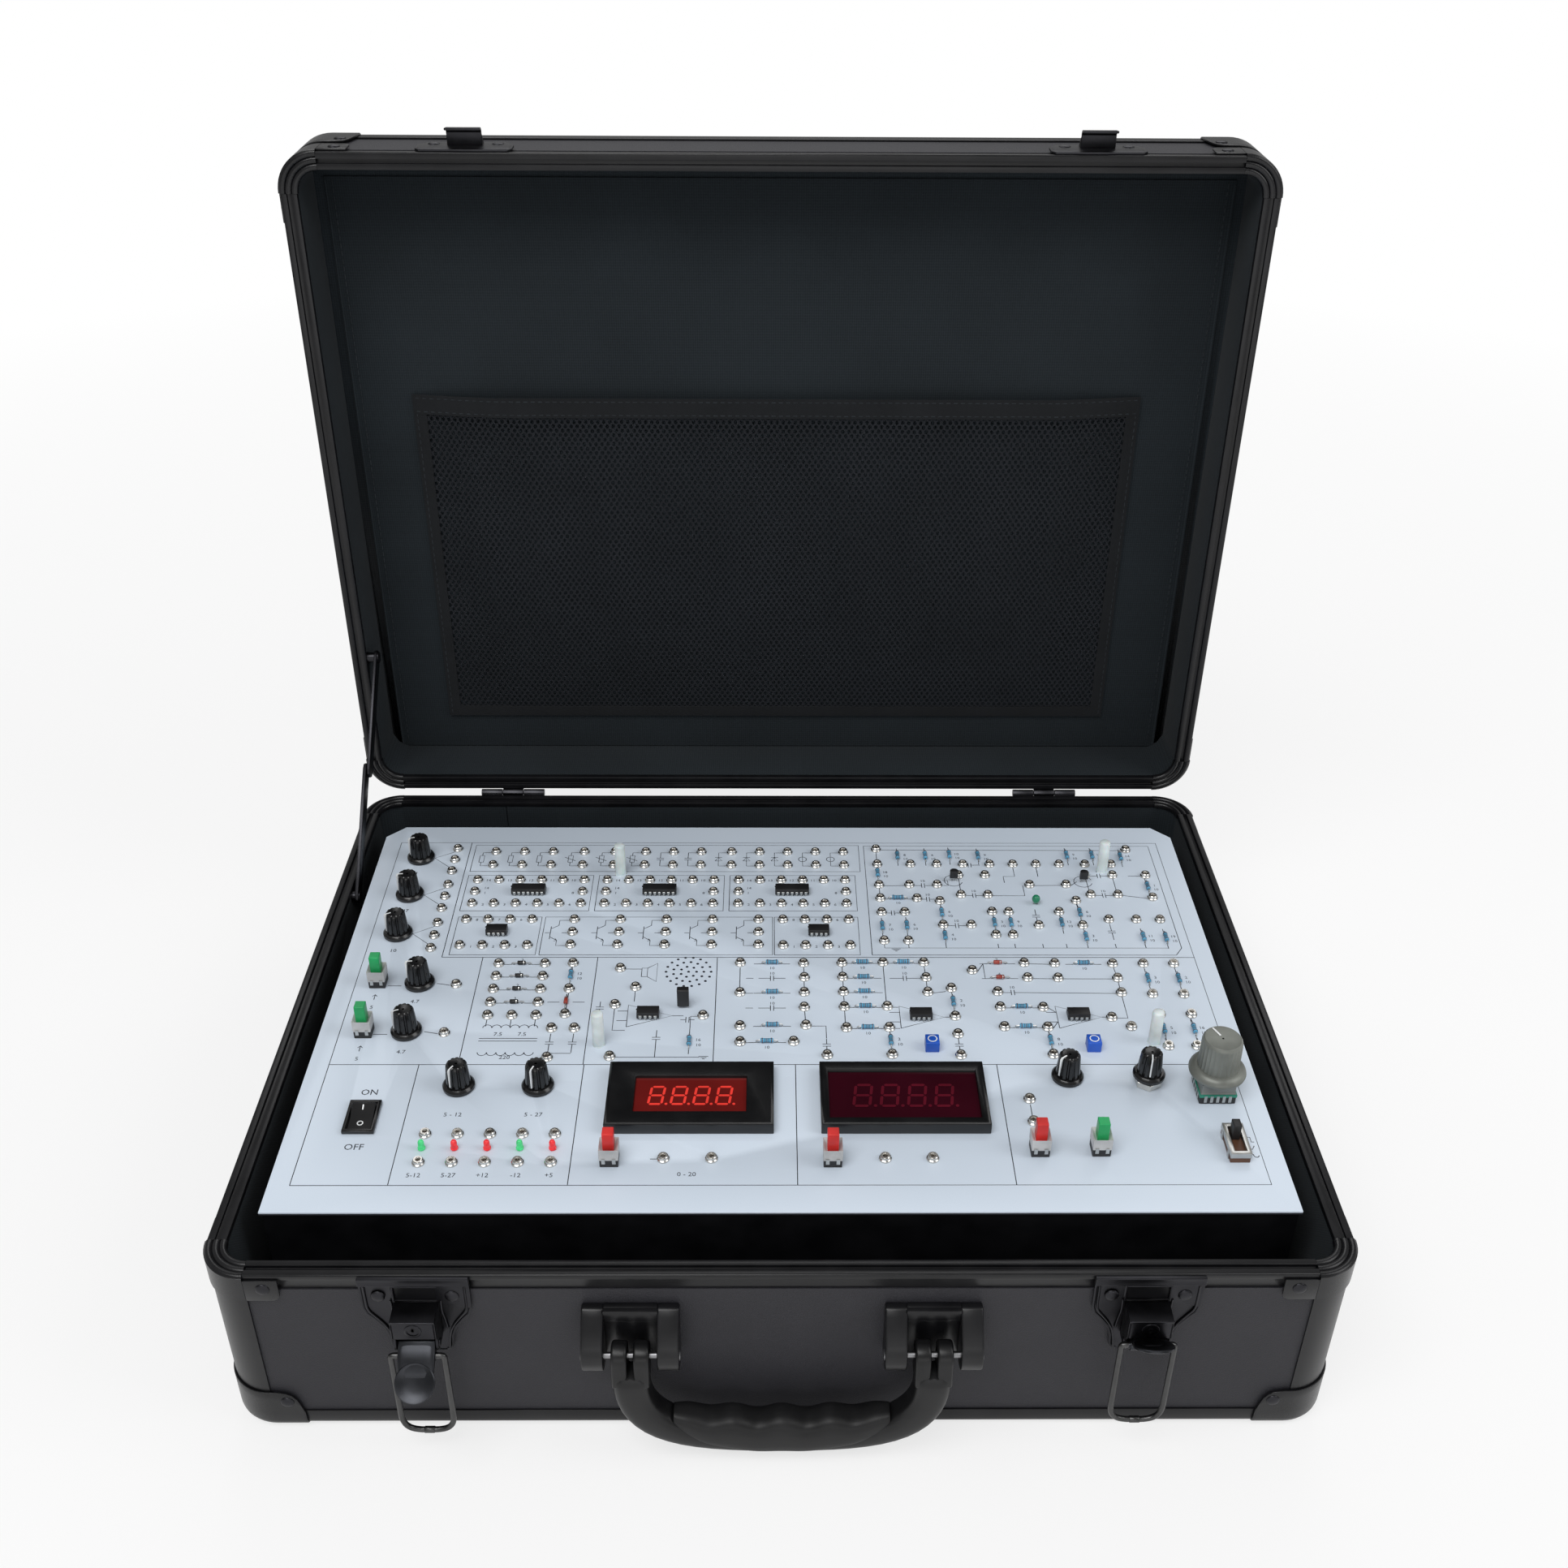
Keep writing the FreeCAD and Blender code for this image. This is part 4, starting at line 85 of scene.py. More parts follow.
def pickOnly(*pieces):
    readyObjectMode()
    for piece in pieces:
        piece.select_set(True)
    bpy.context.view_layer.objects.active = pieces[0]
    return pieces[0]


def settle(piece):                      # puts the place and turn into the mesh
    pickOnly(piece)
    bpy.ops.object.transform_apply(location=True, rotation=True, scale=True)
    return piece


def moved(piece, x=0, y=0, z=0, turn=0, axis="Z"):
    piece.data.transform(Matrix.Translation((x * mm, y * mm, z * mm)) @ Matrix.Rotation(math.radians(turn), 4, axis))
    return piece


def layOpen(piece):
    piece.data.transform(openLid)
    return piece


def named(piece, name):
    piece.name = name
    piece.data.name = name
    return piece


def block(name, low, high):
    readyObjectMode()
    middle = [(a + b) / 2 * mm for a, b in zip(low, high)]
    bpy.ops.mesh.primitive_cube_add(size=1, location=middle)
    piece = bpy.context.object
    piece.scale = [(b - a) * mm for a, b in zip(low, high)]
    return named(settle(piece), name)


def disc(name, radius, low, high, x=0, y=0, sides=24, topRadius=None):
    readyObjectMode()
    bpy.ops.mesh.primitive_cone_add(
        vertices=sides, radius1=radius * mm, radius2=(radius if topRadius is None else topRadius) * mm,
        depth=(high - low) * mm, location=(x * mm, y * mm, (low + high) / 2 * mm),
    )
    return named(settle(bpy.context.object), name)


def traced(name, points, closed=False):  # a row of edges, extruded from one vertex
    readyObjectMode()
    bpy.ops.mesh.primitive_plane_add(size=0.001, location=[c * mm for c in points[0]])
    piece = named(settle(bpy.context.object), name)
    pickOnly(piece)
    bpy.ops.object.mode_set(mode="EDIT")
    bpy.ops.mesh.select_all(action="SELECT")
    bpy.ops.mesh.merge(type="CENTER")
    for before, after in zip(points, points[1:]):
        step = [(b - a) * mm for a, b in zip(before, after)]
        bpy.ops.mesh.extrude_region_move(TRANSFORM_OT_translate={"value": step})
    if closed:
        bpy.ops.mesh.select_all(action="SELECT")
        bpy.ops.mesh.edge_face_add()
    bpy.ops.object.mode_set(mode="OBJECT")
    return piece


def thickened(piece, push):              # a flat outline pushed out into a solid
    pickOnly(piece)
    bpy.ops.object.mode_set(mode="EDIT")
    bpy.ops.mesh.select_all(action="SELECT")
    bpy.ops.mesh.extrude_region_move(TRANSFORM_OT_translate={"value": [c * mm for c in push]})
    bpy.ops.mesh.select_all(action="SELECT")
    bpy.ops.mesh.normals_make_consistent(inside=False)
    bpy.ops.object.mode_set(mode="OBJECT")
    return piece


def outlined(name, corners, plane, start, depth):
    spots = {"XY": lambda a, b: (a, b, start), "XZ": lambda a, b: (a, start, b), "YZ": lambda a, b: (start, a, b)}
    push = {"XY": (0, 0, depth), "XZ": (0, depth, 0), "YZ": (depth, 0, 0)}[plane]
    return thickened(traced(name, [spots[plane](a, b) for a, b in corners], closed=True), push)


def turned(name, profile, x=0, y=0, z=0, steps=24, angle=360, axis=(0, 0, 1), closed=False):
    piece = traced(name, [(x + out, y, z + up) for out, up in profile])
    pickOnly(piece)
    bpy.ops.object.mode_set(mode="EDIT")
    bpy.ops.mesh.select_all(action="SELECT")
    if closed:
        bpy.ops.mesh.edge_face_add()
    bpy.ops.mesh.spin(steps=steps, angle=-math.radians(angle), center=(x * mm, y * mm, z * mm), axis=axis)
    bpy.ops.mesh.select_all(action="SELECT")
    bpy.ops.mesh.remove_doubles(threshold=0.00001)
    bpy.ops.mesh.normals_make_consistent(inside=False)
    bpy.ops.object.mode_set(mode="OBJECT")
    return piece


def editing(piece, chosen, *steps):      # picks faces by a test on their middle and normal, then runs the steps
    pickOnly(piece)
    bpy.ops.object.mode_set(mode="EDIT")
    bpy.ops.mesh.select_mode(type="FACE")
    bpy.ops.mesh.select_all(action="DESELECT")
    drawn = bmesh.from_edit_mesh(piece.data)
    for face in drawn.faces:
        face.select_set(bool(chosen(face.calc_center_median() / mm, face.normal)))
    bmesh.update_edit_mesh(piece.data)
    for step in steps:
        step()
    bpy.ops.mesh.select_mode(type="VERT")
    bpy.ops.object.mode_set(mode="OBJECT")
    return piece


def inset(thickness, depth=0.0):
    return lambda: bpy.ops.mesh.inset(thickness=thickness * mm, depth=depth * mm)


def pushed(x=0, y=0, z=0):
    return lambda: bpy.ops.mesh.extrude_region_move(TRANSFORM_OT_translate={"value": (x * mm, y * mm, z * mm)})


def scaled(x, y, z):
    return lambda: bpy.ops.transform.resize(value=(x, y, z))


def finished(piece, *modifiers):         # adds modifiers as (kind, settings) and applies them in order
    pickOnly(piece)
    for kind, settings in modifiers:
        modifier = piece.modifiers.new(kind.title(), kind)
        for key, value in settings.items():
            setattr(modifier, key, value)
        bpy.ops.object.modifier_apply(modifier=modifier.name)
    return piece


def softened(piece, width=0.3, segments=2, angle=35):
    bevel = {"width": width * mm, "segments": segments, "limit_method": "ANGLE", "angle_limit": math.radians(angle)}
    return finished(piece, ("BEVEL", {**bevel, "use_clamp_overlap": True}))


def smooth(piece, angle=40):
    pickOnly(piece)
    bpy.ops.object.shade_smooth_by_angle(angle=math.radians(angle))
    return piece


def joined(name, pieces):
    pickOnly(*pieces)
    if len(pieces) > 1:
        bpy.ops.object.join()
    return named(bpy.context.object, name)


def copies(name, piece, places):         # each place is x, y, z and perhaps a turn about Z
    made = []
    for index, spot in enumerate(places):
        twin = piece.copy()
        twin.data = piece.data.copy()
        bpy.context.scene.collection.objects.link(twin)
        moved(twin, *spot)
        made.append(twin)
    bpy.data.objects.remove(piece)
    return joined(name, made)


def mirrored(piece, axis="X"):           # the piece and its mirror image, as one mesh
    twin = piece.copy()
    twin.data = piece.data.copy()
    bpy.context.scene.collection.objects.link(twin)
    flip = Matrix.Scale(-1, 4, (1, 0, 0) if axis == "X" else (0, 1, 0))
    twin.data.transform(flip)
    twin.data.flip_normals()
    return joined(piece.name, [piece, twin])


def tube(name, points, radius, sides=4, closed=False, smoothLine=False):
    path = bpy.data.curves.new(name, "CURVE")
    path.dimensions = "3D"
    path.bevel_depth = radius * mm
    path.bevel_resolution = sides
    path.use_fill_caps = True
    line = path.splines.new("NURBS" if smoothLine else "POLY")
    line.points.add(len(points) - 1)
    for point, spot in zip(line.points, points):
        point.co = (*[c * mm for c in spot], 1)
    line.use_cyclic_u = closed
    if smoothLine:
        line.order_u = 3
        line.use_endpoint_u = True
        line.resolution_u = 6
    piece = bpy.data.objects.new(name, path)
    bpy.context.scene.collection.objects.link(piece)
    pickOnly(piece)
    bpy.ops.object.convert(target="MESH")
    return named(bpy.context.object, name)


def nodeCopy(name, node):                # a merged copy of a CAD node, whose flat faces are whole again
    piece = bpy.data.objects.new(name, frame["nodes"][node].data.copy())
    bpy.context.scene.collection.objects.link(piece)
    pickOnly(piece)
    bpy.ops.object.mode_set(mode="EDIT")
    bpy.ops.mesh.select_all(action="SELECT")
    bpy.ops.mesh.remove_doubles(threshold=0.000005)
    bpy.ops.mesh.dissolve_limited(angle_limit=math.radians(0.5))
    bpy.ops.object.mode_set(mode="OBJECT")
    return piece


def dress(piece, finish, body, nodes=()):
    piece.data.materials.clear()
    piece.data.materials.append(finish)
    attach(piece, body)
    if nodes:
        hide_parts(*nodes)
    return piece


def paintNode(node, finish):
    made = frame["nodes"][node]
    made.data.materials.clear()
    made.data.materials.append(finish)


def lofted(name, rows, closed=False, caps=False):  # the first row is traced, each further one extruded and moved
    piece = traced(name, [*rows[0], *(rows[0][:1] if closed else [])])
    pickOnly(piece)
    bpy.ops.object.mode_set(mode="EDIT")
    bpy.ops.mesh.select_all(action="SELECT")
    bpy.ops.mesh.remove_doubles(threshold=0.0000001)
    if caps:
        bpy.ops.mesh.edge_face_add()
        bpy.ops.mesh.select_mode(type="EDGE")
        bpy.ops.mesh.select_all(action="SELECT")
    for before, after in zip(rows, rows[1:]):
        bpy.ops.mesh.extrude_edges_move() if not caps else bpy.ops.mesh.extrude_region_move()
        drawn = bmesh.from_edit_mesh(piece.data)
        starts = [Vector(point) * mm for point in before]
        for vertex in drawn.verts:
            if vertex.select:
                index = min(range(len(starts)), key=lambda i: (starts[i] - vertex.co).length_squared)
                vertex.co = Vector(after[index]) * mm
        bmesh.update_edit_mesh(piece.data)
    bpy.ops.mesh.select_mode(type="VERT")
    bpy.ops.mesh.select_all(action="SELECT")
    bpy.ops.mesh.normals_make_consistent(inside=False)
    bpy.ops.object.mode_set(mode="OBJECT")
    return piece


# Shader sums as Python expressions: each adds the node that works it out.
class Signal:
    def __init__(self, look, socket):
        self.look = look
        self.socket = socket

    def sum(self, operation, *others):
        values = [self, *others]
        return self.look.node("ShaderNodeMath", {"operation": operation}, dict(enumerate(values)))

    def __add__(self, other):
        return self.sum("ADD", other)

    def __radd__(self, other):
        return self.sum("ADD", other)

    def __sub__(self, other):
        return self.sum("SUBTRACT", other)

    def __rsub__(self, other):
        return self.look.node("ShaderNodeMath", {"operation": "SUBTRACT"}, {0: other, 1: self})

    def __mul__(self, other):
        return self.sum("MULTIPLY", other)

    def __rmul__(self, other):
        return self.sum("MULTIPLY", other)

    def __truediv__(self, other):
        return self.sum("DIVIDE", other)

    def __rtruediv__(self, other):
        return self.look.node("ShaderNodeMath", {"operation": "DIVIDE"}, {0: other, 1: self})

    def __neg__(self):
        return self.sum("MULTIPLY", -1)

    def __abs__(self):
        return self.sum("ABSOLUTE")

    def __pow__(self, other):
        return self.sum("POWER", other)

    def __mod__(self, other):
        return self.sum("FLOORED_MODULO", other)

    def __gt__(self, other):
        return self.sum("GREATER_THAN", other)

    def __lt__(self, other):
        return self.sum("LESS_THAN", other)

    def lowest(self, other):
        return self.sum("MINIMUM", other)

    def highest(self, other):
        return self.sum("MAXIMUM", other)

    def wave(self):
        return self.sum("SINE")

    def clipped(self):
        return self.lowest(1).highest(0)

    def ramped(self, low, high):         # 0 below low, 1 above high, straight between
        return ((self - low) / (high - low)).clipped()


class Look:
    def __init__(self, name, color=(0.5, 0.5, 0.5), roughness=0.5, metallic=0.0, **constants):
        self.material = bpy.data.materials.new(name)
        self.material.use_nodes = True
        self.tree = self.material.node_tree
        self.shader = self.tree.nodes["Principled BSDF"]
        self.shader.inputs["Base Color"].default_value = (*color, 1)
        self.shader.inputs["Roughness"].default_value = roughness
        self.shader.inputs["Metallic"].default_value = metallic
        for key, value in constants.items():
            self.shader.inputs[key].default_value = value
        coordinates = self.tree.nodes.new("ShaderNodeTexCoord")
        self.spot = Signal(self, coordinates.outputs["Object"])
        self.flat = Signal(self, coordinates.outputs["UV"])

    def node(self, kind, settings, values, output=0):
        made = self.tree.nodes.new(kind)
        for key, value in settings.items():
            if key == "stops":
                while len(made.color_ramp.elements) < len(value):
                    made.color_ramp.elements.new(0.5)
                for element, (place, color) in zip(made.color_ramp.elements, value):
                    element.position = place
                    element.color = (*color, 1) if len(color) == 3 else color
            else:
                setattr(made, key, value)
        for key, value in values.items():
            if isinstance(value, Signal):
                self.tree.links.new(value.socket, made.inputs[key])
            else:
                made.inputs[key].default_value = value
        return Signal(self, made.outputs[output])

    def parts(self, vector=None):        # x, y and z in millimetres
        split = self.tree.nodes.new("ShaderNodeSeparateXYZ")
        self.tree.links.new((vector or self.spot).socket, split.inputs[0])
        return [Signal(self, split.outputs[index]) * (1 / mm) for index in range(3)]

    def noise(self, size, detail=2.0, roughness=0.5, vector=None, stretch=None):
        where = vector or self.spot
        if stretch:
            where = self.node("ShaderNodeVectorMath", {"operation": "MULTIPLY"}, {0: where, 1: stretch})
        values = {"Vector": where, "Scale": 1 / (size * mm), "Detail": detail, "Roughness": roughness}
        return self.node("ShaderNodeTexNoise", {}, values)

    def cells(self, size, vector=None, feature="F1"):
        values = {"Vector": vector or self.spot, "Scale": 1 / (size * mm)}
        return self.node("ShaderNodeTexVoronoi", {"feature": feature}, values)

    def blend(self, factor, first, second):
        first, second = [(*c, 1) if isinstance(c, tuple) and len(c) == 3 else c for c in (first, second)]
        return self.node("ShaderNodeMix", {"data_type": "RGBA"}, {0: factor, 6: first, 7: second}, output=2)

    def feed(self, name, signal):
        self.tree.links.new(signal.socket, self.shader.inputs[name])
        return self

    def bumped(self, height, distance, strength=1.0):
        values = {"Height": height, "Distance": distance * mm, "Strength": strength}
        return self.feed("Normal", self.node("ShaderNodeBump", {}, values))

    def done(self):
        return self.material


def plainLook(name, color, roughness, metallic=0.0, grain=0.4, spread=0.25, bump=0.0, **constants):
    look = Look(name, color, roughness, metallic, **constants)
    cloud = look.noise(14, 3)
    fine = look.noise(grain, 2)
    look.feed("Roughness", (roughness * (1 - spread)) + (cloud * 0.6 + fine * 0.4) * (roughness * 2 * spread))
    lighter = tuple(min(1, c * 1.25 + 0.002) for c in color)
    darker = tuple(c * 0.8 for c in color)
    look.feed("Base Color", look.blend(cloud.ramped(0.3, 0.7), darker, lighter))
    if bump:
        look.bumped(fine, bump)
    return look.done()


def boardLook():                         # fine pebbled laminate on the case's boards
    look = Look("boardSkin", (0.03, 0.03, 0.033), 0.5, **{"Specular IOR Level": 0.3})
    pebble = look.cells(0.55)
    cloud = look.noise(30, 3)
    fine = look.noise(0.35, 2)
    tone = (pebble * 0.9 + fine * 0.6 + cloud * 0.3).ramped(0.3, 1.25)
    look.feed("Base Color", look.blend(tone, (0.011, 0.011, 0.0135), (0.036, 0.0355, 0.042)))
    look.feed("Roughness", 0.42 + pebble * 0.25)
    look.bumped(pebble + fine * 0.5, 0.12, 0.8)
    return look.done()


def liningLook():                        # fine ribbed cloth
    look = Look("liningCloth", (0.02, 0.024, 0.026), 0.92, **{"Sheen Weight": 0.04, "Specular IOR Level": 0.2})
    x, y, z = look.parts()
    rib = ((x * 5.2).wave() * 0.5 + 0.5) * 0.6 + ((z + y) * 4.3).wave() * 0.2 + 0.2
    fuzz = look.noise(0.5, 3)
    cloud = look.noise(60, 3)
    tone = (rib * 0.5 + fuzz * 0.6 + cloud * 0.5 - 0.25).clipped()
    look.feed("Base Color", look.blend(tone, (0.0055, 0.0075, 0.009), (0.02, 0.0265, 0.032)))
    look.bumped(rib + fuzz * 0.8, 0.12, 0.7)
    return look.done()


def steelLook(name, color, roughness, scratch=0.12):
    look = Look(name, color, roughness, 1.0)
    streak = look.noise(1.2, 4, 0.6, stretch=(1, 1, 8))
    cloud = look.noise(9, 3)
    look.feed("Roughness", (roughness - 0.08) + cloud * 0.16 + streak * scratch)
    darker = tuple(c * 0.72 for c in color)
    look.feed("Base Color", look.blend(cloud.ramped(0.25, 0.75), darker, color))
    look.bumped(streak, 0.02, 0.4)
    return look.done()


finishes = {
    "board": boardLook(),
    "blackMetal": plainLook("satinBlackMetal", (0.0045, 0.0045, 0.0055), 0.32, bump=0.015, **{"Specular IOR Level": 0.35}),
    "cornerMetal": plainLook("cornerBlackMetal", (0.0045, 0.0045, 0.0055), 0.28, bump=0.02, **{"Specular IOR Level": 0.4}),
    "lining": liningLook(),
    "steel": steelLook("platedSteel", (0.33, 0.33, 0.34), 0.28),
    "darkSteel": steelLook("darkSteel", (0.045, 0.045, 0.05), 0.3),
    "handle": plainLook("handlePlastic", (0.005, 0.005, 0.0055), 0.36, grain=0.6, bump=0.02, **{"Specular IOR Level": 0.35}),
    "nickel": steelLook("nickel", (0.72, 0.7, 0.66), 0.2, 0.05),
    "gloss": plainLook("glossBlack", (0.006, 0.006, 0.0065), 0.2, grain=1.0),
    "matteBlack": plainLook("matteBlack", (0.013, 0.013, 0.014), 0.5, bump=0.01),
    "trayBlack": plainLook("trayBlack", (0.0028, 0.0028, 0.0036), 0.42, bump=0.01, **{"Specular IOR Level": 0.25}),
    "milk": plainLook("milkyNylon", (0.72, 0.76, 0.76), 0.4, **{"Subsurface Weight": 0.2}),
    "green": plainLook("greenCap", (0.01, 0.34, 0.1), 0.35),
    "red": plainLook("redCap", (0.62, 0.018, 0.014), 0.35),
    "blue": plainLook("blueTrimmer", (0.012, 0.09, 0.5), 0.35),
    "brass": steelLook("brassScrew", (0.62, 0.45, 0.17), 0.3),
    "grey": plainLook("greySwitchBody", (0.28, 0.28, 0.29), 0.45),
    "laminate": plainLook("greenLaminate", (0.012, 0.13, 0.06), 0.4),
    "selector": plainLook("greyGreenMetal", (0.19, 0.2, 0.18), 0.42, 0.35),
    "core": plainLook("varnishedCore", (0.05, 0.04, 0.035), 0.4),
    "ink": plainLook("printInk", (0.012, 0.014, 0.022), 0.5),
    "white": plainLook("whitePrint", (0.78, 0.8, 0.82), 0.45),
}
print("finishes made")


# The plain CAD nodes that keep their shape.
nodeFinishes = {
    "base_boards": "board", "lid_boards": "board", "base_frame": "blackMetal", "lid_frame": "blackMetal",
    "base_corner_caps": "cornerMetal", "lid_corner_caps": "cornerMetal", "base_lining": "lining",
    "lid_lining": "lining", "chassis_box": "trayBlack", "circuit_board": "laminate", "transformer": "core",
    "loudspeaker": "matteBlack", "mains_inlet": "matteBlack", "base_hinge_leaves": "darkSteel",
    "lid_hinge_leaves": "darkSteel", "latch_plates": "darkSteel", "lid_hasps": "darkSteel",
    "handle_mounts": "blackMetal", "base_rivets": "darkSteel", "lid_rivets": "darkSteel", "panel": "white",
    "patch_sockets": "nickel", "supply_terminals": "nickel", "control_bodies": "matteBlack",
    "switch_bodies": "grey", "meter_bezels": "gloss", "meter_windows": "red", "standoffs": "milk",
    "chips": "matteBlack", "board_components": "blue", "supply_lamps": "red", "trimmer_bodies": "blue",
    "lid_mesh_pocket": "lining", "stay_lower": "darkSteel", "stay_upper": "darkSteel", "handle": "handle",
    "latch_lever_left": "steel", "latch_lever_right": "steel", "latch_bail_left": "darkSteel",
    "latch_bail_right": "darkSteel", "selector_knob": "selector", "power_rocker": "gloss",
    "waveform_slide": "matteBlack", "trimmer_screw_1": "brass", "trimmer_screw_2": "brass",
    "source_button_1": "green", "source_button_2": "green", "voltmeter_button": "red",
    "frequency_meter_button": "red", "generator_power_button": "red", "attenuation_button": "green",
}
for node in frame["nodes"]:
    paintNode(node, finishes[nodeFinishes.get(node, "gloss")])


# The case: rim and edge bars, corner posts, ridged rim corners, ball corners and rivets.
shell = {
    "postWall": 5, "tabReach": 34.7, "tabDrop": 14.6, "ballHeight": 24, "ballReach": 34, "skin": 1.0,
    "beadSteps": 5, "cornerSteps": 14,
}
rimSection = [
    (0, 0.5), (0, 3), (1.5, 3.4), (1.5, 9.7), (5, 9.7), (5, 18), (6.2, 18), (6.2, 3), (8.5, 3), (8.5, 0), (5.5, 0),
    (5.5, 1.6), (3.3, 1.6), (3.3, 0), (0.5, 0),
]
edgeSection = [(4 - 4 * math.sin(math.radians(t)), 4.5 - 4 * math.cos(math.radians(t))) for t in range(90, -1, -15)]
edgeSection += [(14, 0.5), (14, 1.7), (5, 1.7), (5, 5), (1, 5), (1, 10.4), (0, 10.4)]


def heights(isLid):                      # the height of a distance from the rim plane, and from the outer plane
    if isLid:
        return (lambda away: case["lidRim"] + away), (lambda away: case["lidTop"] - away)
    return (lambda away: case["rim"] - away), (lambda away: away)


def ringOfBars(name, section, height):
    half, deep, cut = case["halfWidth"], case["halfDepth"], case["cornerRadius"]
    front = outlined(name + "Front", [(inwards - deep, height(away)) for inwards, away in section], "YZ", cut - half,
                     2 * (half - cut))
    side = outlined(name + "Side", [(inwards - half, height(away)) for inwards, away in section], "XZ", cut - deep,
                    2 * (deep - cut))
    return joined(name, [mirrored(front, "Y"), mirrored(side, "X")])


def cornerPosts(name, low, high):
    radius, wall = case["cornerRadius"], shell["postWall"]
    x, y = case["halfWidth"] - radius, case["halfDepth"] - radius
    profile = [(radius, low), (radius, high), (radius - wall, high), (radius - wall, low)]
    post = turned(name, profile + profile[:1], x, y, 0, shell["cornerSteps"], 90)
    pickOnly(post)
    bpy.ops.object.mode_set(mode="EDIT")
    bpy.ops.mesh.select_all(action="DESELECT")
    bpy.ops.mesh.select_non_manifold()
    bpy.ops.mesh.edge_face_add()
    bpy.ops.object.mode_set(mode="OBJECT")
    print("post", [round(max(v.co[i] for v in post.data.vertices) / mm, 1) for i in range(3)])
    return mirrored(mirrored(post, "X"), "Y")


def makeFrame(isLid):
    prefix = "lid" if isLid else "base"
    fromRim, fromFoot = heights(isLid)
    rim = softened(ringOfBars(prefix + "RimBars", rimSection, fromRim), 0.35, 2, 30)
    edge = softened(ringOfBars(prefix + "EdgeBars", edgeSection, fromFoot), 0.3, 2, 50)
    levels = sorted((fromRim(9.7), fromFoot(5)))
    posts = cornerPosts(prefix + "Posts", *levels)
    bars = smooth(joined(prefix + "FrameBars", [rim, edge, posts]), 30)
    if isLid:
        layOpen(bars)
    dress(bars, finishes["blackMetal"], prefix, [prefix + "_frame"])


# A ridged quarter turn at a rim's corner, with a riveted tab along each side.
def rimCorner(prefix, height):
    radius, skin = case["cornerRadius"], shell["skin"]
    x, y = case["halfWidth"] - radius, case["halfDepth"] - radius
    beads = []
    for step in range(0, 31):
        across = -skin + 0.4 + (8.9 + skin - 0.4) * step / 30
        beads.append((across, 0.95 - 0.95 * abs(math.sin(math.pi * (step / 30) * 3)) ** 0.55))
    section = [(-skin, shell["tabDrop"]), (-skin, 1.2), *beads, (8.9, 3), (6.4, 3), (6.4, 9), (0, 9), (0, 14.6)]
    profile = [(radius - inwards, height(away)) for inwards, away in section]
    piece = turned(prefix + "RimTurn", profile + profile[:1], x, y, 0, shell["cornerSteps"], 90)
    pickOnly(piece)
    bpy.ops.object.mode_set(mode="EDIT")
    bpy.ops.mesh.select_all(action="DESELECT")
    bpy.ops.mesh.select_non_manifold()
    bpy.ops.mesh.edge_face_add()
    bpy.ops.object.mode_set(mode="OBJECT")
    reach = shell["tabReach"]
    drop = shell["tabDrop"]
    outline = [(0, 2.4), (reach - 20, 2.4), (reach - 20, drop - 3), (reach - 21, drop - 1), (reach - 23, drop), (0, drop)]
    side = outlined(prefix + "SideTab", [(y - along, height(away)) for along, away in outline], "YZ", x + radius, skin)
    back = outlined(prefix + "BackTab", [(x - along, height(away)) for along, away in outline], "XZ", y + radius, skin)
    tabs = softened(joined(prefix + "Tabs", [side, back]), 0.3, 2)
    return joined(prefix + "RimCorner", [piece, tabs])


# A pressed shell round a bottom corner. Its rows run from one end, round the corner and to the other end.
def ballCorner(prefix, height):
    radius, skin, top = case["cornerRadius"], shell["skin"], shell["ballHeight"]
    x, y = case["halfWidth"] - radius, case["halfDepth"] - radius
    reach = shell["ballReach"] - radius
    bead = 5.0
    ends = ((reach, 0.25), (reach - 1.2, 0.5), (reach - 2.6, 0.74), (reach - 4.5, 0.88), (reach - 7, 0.96), (2, 1.0))
    stations = [(along, 0, share) for along, share in ends]
    stations += [(0, 90 * step / 14, 1.0) for step in range(15)]
    stations += [(along, 90, share) for along, share in reversed(ends)]
    rows = []
    for along, turn, share in stations:
        out = Vector((math.cos(math.radians(turn)), math.sin(math.radians(turn)), 0))
        back = Vector((0, -along, 0)) if turn < 45 else Vector((-along, 0, 0))
        row = []
        topHere = 5 + (top - 5) * share
        for rise in (1.0, 0.75, 0.5, 0.25, 0.0):
            row.append((radius + skin, 5 + (topHere - 5) * rise))
        for step in range(1, 6):
            angle = math.radians(18 * step)
            row.append((radius + skin - bead + bead * math.cos(angle), bead - bead * math.sin(angle)))
        row.append((radius + skin - 13, 0))
        rows.append([Vector((x, y, 0)) + out * r + back + Vector((0, 0, height(z))) for r, z in row])
    piece = lofted(prefix + "BallCorner", [[tuple(point) for point in row] for row in rows])
    return finished(piece, ("SOLIDIFY", {"thickness": skin * 0.98 * mm, "offset": -1, "use_even_offset": True}),
                    ("BEVEL", {"width": 0.25 * mm, "segments": 2, "limit_method": "ANGLE"}))


def makeCorners(isLid):
    prefix = "lid" if isLid else "base"
    fromRim, fromFoot = heights(isLid)
    rim = rimCorner(prefix, fromRim)
    ball = ballCorner(prefix, fromFoot)
    for piece in (rim, ball):
        pickOnly(piece)
        bpy.ops.object.mode_set(mode="EDIT")
        bpy.ops.mesh.select_all(action="SELECT")
        bpy.ops.mesh.normals_make_consistent(inside=False)
        bpy.ops.object.mode_set(mode="OBJECT")
    piece = mirrored(mirrored(joined(prefix + "CornerPieces", [rim, ball]), "X"), "Y")
    if isLid:
        layOpen(piece)
    dress(smooth(piece, 35), finishes["cornerMetal"], prefix, [prefix + "_corner_caps"])


